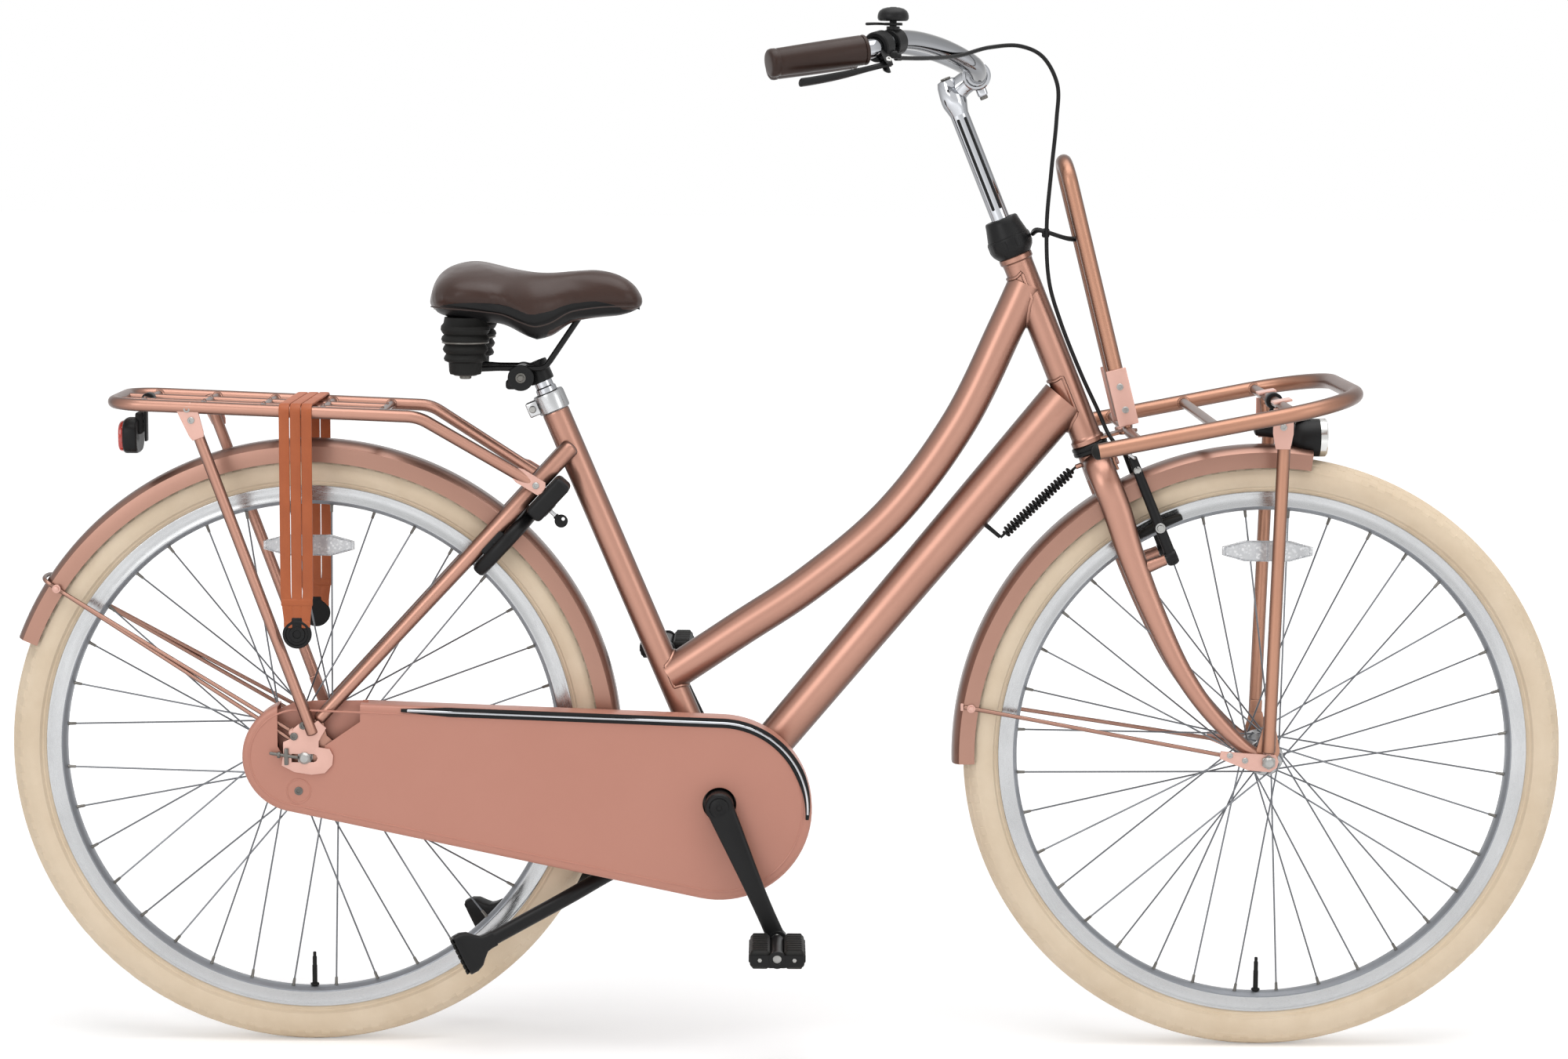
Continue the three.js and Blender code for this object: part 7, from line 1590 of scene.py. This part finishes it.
tube([key_place(-9.6), key_place(13)], 2.4, 16)
for k in range(4):
    block((1.2, 2.4, 1.6), key_place(-8 + 2.4 * k) + lock_out * 2.4, 0.3)
piece("lock_key_blade", bright_metal, "lock_key", "steel")
plate(circle(0, 0, 7.9, 32), 2.9, frame_at(key_place(18), ACROSS, -lock_along), holes=[circle(0, -3.4, 2)],
      bevel=1.2, segments=3)
tube([key_place(9), key_place(13)], (3.6, 2.9), 18, upward=lock_out, domes=(0.8, 0))
piece("lock_key_bow", black_plastic, "lock_key", "steel", "lock_key")


# Seat post, its clamp and the saddle's frame
tube([on_seat_tube(0, 0, up) for up in (320, 499, 528.5, 530)], lambda share: 13.5 if share < 0.99 else 12.6, 36)
tube([on_seat_tube(0, 0, up) for up in (529, 531.5, 536, 559)], lambda share: 12.6 if share < 0.05 else 11, 32)
piece("chrome_seat_post", chrome, "seat", "chrome", "seat_post")
lathe([(13.8, 500.4), (17.4, 500.4), (18.8, 501.6), (19, 504), (19, 520), (18.4, 523), (17, 524.2),
       (13.8, 524.2)], BRACKET, SEAT_DIR, 48)
for sign in SIDES:
    block((17, 7, 18), frame_at(on_seat_tube(-21.5, sign * 5.6, 512.3), SEAT_DIR, SEAT_FORWARD), 2, 3)
piece("seat_clamp_band", bright_metal, "frame", "bright_aluminium", "seat_clamp")
tube([on_seat_tube(-23.4, -14, 512.3), on_seat_tube(-23.4, 14, 512.3)], 2.9, 16)
socket_bolt(on_seat_tube(-23.4, -9.2, 512.3), -ACROSS, 4.4, 4)
hex_bolt(on_seat_tube(-23.4, 9.2, 512.3), ACROSS, 4.4, 3.4, 5.2)
piece("seat_clamp_bolt", zinc, "frame", "bright_aluminium")

saddle_clamp = on_seat_tube(-20, 0, 553)
rail_z = saddle_clamp.z + 11.2
SPRING_X = -379.9
lathe(both([(0, -23), (13, -23), (14, -22)]), saddle_clamp, ACROSS, 40)
lathe([(11.2, 538), (13.6, 538), (14.6, 539), (14.6, 562.4), (13.6, 563.4), (11.2, 563.4)], BRACKET, SEAT_DIR, 36)
for out in OUTWARD:
    lathe([(0, 23.6), (14.6, 23.6), (15.4, 24.4), (15.4, 28), (14.6, 29), (0, 29)], saddle_clamp, out, 36)
block((26, 30, 12), frame_at(saddle_clamp + at(-6, 0, -9), UP, AHEAD), 4, 3)
piece("saddle_clamp", satin_black, *SEAT, "saddle_frame")
for out in OUTWARD:
    hex_bolt(saddle_clamp + out * 28.8, out, 4.6, 3.4, 6)
    lathe([(0, 32), (3.6, 32), (3.6, 35.5), (3, 36.2), (0, 36.2)], saddle_clamp, out, 16)
piece("saddle_clamp_nuts", dark_steel, *SEAT)
for side in SIDES:
    rail = bent([at(x, side * y, z) for x, y, z in ((-237.5, 9, 893), (saddle_clamp.x + 28, 22, rail_z),
                                                    (saddle_clamp.x - 28, 22, rail_z),
                                                    (SPRING_X - 3, 52, rail_z))], 14, 10)
    tube(rail, 3.5, 20, domes=(2, 2))
tube([at(SPRING_X, -58, rail_z), at(SPRING_X, 58, rail_z)], 3.5, 18, domes=(1.5, 1.5))
piece("saddle_rails", satin_black, *SEAT)
SPRING_RIBS = ((0.4, 0), (0.62, 0.02), (0.66, 0.07), (0.68, 0.22), (0.84, 0.25), (0.88, 0.29), (0.84, 0.33),
               (0.78, 0.37), (0.86, 0.4), (0.92, 0.45), (0.88, 0.49), (0.82, 0.53), (0.9, 0.56), (0.98, 0.62),
               (0.94, 0.67), (0.86, 0.7), (0.93, 0.73), (1, 0.79), (0.98, 0.85), (0.88, 0.9), (0.84, 1))
for side in SIDES:
    lathe([(0, 0)] + [(r * 29, up * 68) for r, up in SPRING_RIBS] + [(0, 68)],
          at(SPRING_X, side * 52, rail_z - 6.3), UP, 48)
piece("saddle_rubber_springs", black_rubber, *SEAT)
for side in SIDES:
    place = at(SPRING_X, side * 52, rail_z - 6.3)
    lathe([(0, -4.2), (6, -4.2), (7, -3.2), (7, -0.6), (13, -0.4), (14, 0.4), (0, 0.6)], place, UP, 28)
    lathe([(0, 37.6), (27, 37.6), (27.6, 38.2), (27.6, 39.4), (27, 40), (0, 40)], place, UP, 44)
piece("saddle_spring_washers", dark_steel, *SEAT)

# The saddle: back to nose as (place, half width, top, lower edge), shares of its length, width and depth
SADDLE_BACK, SADDLE_LONG, SADDLE_WIDE, SADDLE_TOP, SADDLE_DEEP = -426, 256, 205, 940, 90
SADDLE = ((0, 0.45, 0.6, 0.4), (0.02, 0.68, 0.8, 0.35), (0.06, 0.84, 0.92, 0.31), (0.11, 0.95, 0.98, 0.28),
          (0.18, 1, 1, 0.26), (0.27, 0.99, 0.96, 0.24), (0.36, 0.9, 0.9, 0.2), (0.44, 0.75, 0.86, 0.07),
          (0.5, 0.64, 0.84, 0), (0.57, 0.53, 0.84, 0.06), (0.65, 0.44, 0.86, 0.22), (0.74, 0.38, 0.88, 0.28),
          (0.84, 0.34, 0.89, 0.31), (0.92, 0.31, 0.82, 0.33), (0.97, 0.24, 0.71, 0.37), (1, 0.13, 0.56, 0.42))


def saddle_stations(count):
    """The stations smoothed along the saddle, as places of x, half width, top and lower edge in millimetres."""
    keys = [Vector(key) for key in SADDLE]
    stations = []
    for k in range(count + 1):
        share = mix(k / count, 0.5 - 0.5 * cos(pi * k / count), 0.45)
        i = max(j for j in range(len(keys) - 1) if keys[j][0] <= share + 1e-9)
        before, a, b, after = (keys[min(max(j, 0), len(keys) - 1)] for j in range(i - 1, i + 3))
        span = b[0] - a[0]
        s = (share - a[0]) / span
        values = []
        for c in (1, 2, 3):
            slope_a = (b[c] - before[c]) / (b[0] - before[0])
            slope_b = (after[c] - a[c]) / (after[0] - a[0])
            values.append((2 * s ** 3 - 3 * s ** 2 + 1) * a[c] + (s ** 3 - 2 * s ** 2 + s) * slope_a * span
                          + (3 * s ** 2 - 2 * s ** 3) * b[c] + (s ** 3 - s ** 2) * slope_b * span)
        width, top, low = values
        stations.append((SADDLE_BACK + share * SADDLE_LONG, width * SADDLE_WIDE / 2,
                         SADDLE_TOP - (1 - top) * SADDLE_DEEP, SADDLE_TOP - (1 - low) * SADDLE_DEEP))
    return stations


def saddle_point(station, turn, grow=0.0, lower=1.0):
    x, half, top, low = station
    edge = low + (top - low) * 0.42
    wide = cos(turn)
    high = sin(turn)
    if high > 0:
        y = wide * (half + grow)
        z = edge + (top + grow - edge) * high ** 0.8
    else:
        y = copysign(abs(wide) ** 0.35, wide) * (half + grow) * (1 - 0.16 * abs(high))
        z = edge - (edge - low + grow) * abs(high) * lower
    return at(x, y, z)


def saddle_skin(grow, lower, count=54, sides=72):
    """One ring extruded from back to nose and shaped at each station, closed at both ends."""
    ring = first = bmesh.ops.create_circle(BENCH, segments=sides, radius=1)["verts"]
    middle = SADDLE_BACK + SADDLE_LONG / 2
    for k, station in enumerate(saddle_stations(count)):
        ring = extruded(ring) if k else ring
        for i, vert in enumerate(ring):
            place = saddle_point(station, tau * i / sides, grow, lower)
            place.x = middle + (place.x - middle) * (1 + grow / (SADDLE_LONG / 2))
            vert.co = place
    cap(first, ring)


def swollen(obj, limit, pressure):
    """Blows the padding up a little with a cloth simulation, and keeps its movement under the limit."""
    modify(obj, "REMESH", mode="VOXEL", voxel_size=4.6 * MM)
    before = [v.co.copy() for v in obj.data.vertices]
    cloth = obj.modifiers.new("padding", "CLOTH")
    for key, value in (("use_pressure", True), ("uniform_pressure_force", pressure), ("quality", 6), ("mass", 0.35),
                       ("tension_stiffness", 18), ("compression_stiffness", 18), ("bending_stiffness", 1.2)):
        setattr(cloth.settings, key, value)
    cloth.settings.effector_weights.gravity = 0
    cloth.collision_settings.use_collision = False
    for step in range(1, 21):
        bpy.context.scene.frame_set(step)
    bake_modifiers(obj)
    bpy.context.scene.frame_set(1)
    for vert, place in zip(obj.data.vertices, before):
        move = vert.co - place
        if move.length > limit * MM:
            vert.co = place + move.normalized() * limit * MM
    BENCH.from_mesh(obj.data)
    for _ in range(3):
        bmesh.ops.smooth_vert(BENCH, verts=BENCH.verts, factor=0.5, use_axis_x=True, use_axis_y=True, use_axis_z=True)
    BENCH.to_mesh(obj.data)
    BENCH.clear()
    modify(obj, "SUBSURF", levels=1, render_levels=1)


saddle_skin(-2.6, 0.93)
saddle = piece("saddle_padding", brown_hide, "seat", "brown_cover", "saddle_cover", angle=60)
swollen(saddle, 5, 3.2)
for face in saddle.data.polygons:
    face.use_smooth = True
for edge in saddle.data.edges:
    edge.use_edge_sharp = False
for sign in SIDES:
    low_edge = [saddle_point(s, pi / 2 - sign * radians(116), 0.6) for s in saddle_stations(60)[3:-3]]
    tube(smooth(low_edge, 90), 0.8, 8, domes=(0.6, 0.6))
piece("saddle_seams", seam_thread, "seat", "brown_cover")
saddle_skin(-8, 1.0, 30, 48)
bmesh.ops.translate(BENCH, vec=(0, 0, -8), verts=BENCH.verts)
piece("saddle_base", black_plastic, "seat", "brown_cover", angle=60)


# Steering spring between the down tube and the fork
SPRING_LOW, SPRING_HIGH = at(253, 0, 616), on_steerer(-24.74, 0, -21)
CURLS, LEAD = 22, 5.5
spring_gap = SPRING_HIGH - SPRING_LOW
spring_run = spring_gap.normalized()
spring_lean = spring_run.cross(ACROSS)
route = [SPRING_LOW]
for share in between(0, 1, CURLS * 16):
    size, turn = 5.2 * ease(min(share, 1 - share) * CURLS * 1.6), tau * CURLS * share
    route.append(SPRING_LOW + spring_run * mix(LEAD, spring_gap.length - LEAD, share) + ACROSS * size * cos(turn)
                 + spring_lean * size * sin(turn))
tube(route + [SPRING_HIGH], 1.65, 10, domes=(0.4, 0.4))
coil = piece("steering_spring_coil", satin_black, None, "steel", "steering_spring", angle=50)
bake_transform(coil)


# Floor, light and camera
FLOOR_GLOW, FAR_GLOW, WORLD_GLOW = 0.3, 0.75, 0.4
WHITE = (1, 1, 1, 1)


def plain_floor():
    bmesh.ops.create_grid(BENCH, x_segments=1, y_segments=1, size=30)
    mesh = bpy.data.meshes.new("studio_floor")
    BENCH.to_mesh(mesh)
    BENCH.clear()
    material = bpy.data.materials.new("pale_floor")
    material.use_nodes = True
    recipe = Recipe(material.node_tree)
    paper = recipe.node("BsdfDiffuse", {"Color": (0.93, 0.93, 0.935, 1)}).outputs[0]
    reach = recipe.node("VectorMath", {0: recipe.here()}, operation="LENGTH").outputs["Value"]
    strength = recipe.ramp(reach, 1.2, 3.2, FLOOR_GLOW, FAR_GLOW)
    glow = recipe.node("Emission", {"Color": WHITE, "Strength": strength})
    lit = recipe.node("AddShader", {0: paper, 1: glow.outputs[0]})
    choice = recipe.node("MixShader", {0: recipe.seen(), 1: paper, 2: lit.outputs[0]})
    recipe.node("OutputMaterial", {"Surface": choice.outputs[0]})
    mesh.materials.append(material)
    link("studio_floor", mesh)


def white_world():
    world = bpy.context.scene.world = bpy.data.worlds.new("studio")
    world.use_nodes = True
    recipe = Recipe(world.node_tree)
    dim, white = (recipe.node("Background", {"Color": WHITE, "Strength": glow}).outputs[0]
                  for glow in (WORLD_GLOW, 1.0))
    choice = recipe.node("MixShader", {0: recipe.seen(), 1: dim, 2: white})
    recipe.node("OutputWorld", {"Surface": choice.outputs[0]})


def lamp(name, place, aim, size, power):
    light = bpy.data.lights.new(name, "AREA")
    light.shape = "RECTANGLE"
    light.size, light.size_y = size
    light.energy = power
    turn = (Vector(aim) - Vector(place)).to_track_quat("-Z", "Y").to_matrix().to_4x4()
    link(name, light).matrix_world = Matrix.Translation(place) @ turn


def camera():
    """The photograph's camera, as solved from the wheels."""
    yaw, pitch, roll = (radians(a) for a in (0.245, 6.931, 0.393))
    fwd = at(sin(yaw) * cos(pitch), cos(yaw) * cos(pitch), -sin(pitch))
    right = at(cos(yaw), -sin(yaw), 0)
    over = right.cross(fwd)
    right, over = right * cos(roll) + over * sin(roll), over * cos(roll) - right * sin(roll)
    lens = bpy.data.cameras.new("photo_camera")
    lens.sensor_width = 36
    lens.sensor_fit = "HORIZONTAL"
    lens.lens = 4526.32 * 36 / 2000
    lens.clip_start, lens.clip_end = 0.05, 100
    obj = bpy.context.scene.camera = link("photo_camera", lens)
    obj.matrix_world = (Matrix.Translation(at(-23.473, -4200, 1134.431) * MM) @ Matrix((right, over,
                                                                                        -fwd)).transposed().to_4x4())


plain_floor()
white_world()
lamp("broad_light_above", (0.3, -0.6, 4.2), (0, 0, 0.5), (4.5, 3.2), 122)
lamp("soft_light_in_front", (-2.6, -4.2, 2.2), (0, 0, 0.6), (2.4, 2.4), 46)
lamp("soft_light_beside", (3.4, -3.0, 1.8), (0.1, 0, 0.6), (1.8, 2.4), 22)
camera()
bpy.context.scene.view_settings.view_transform = "Standard"
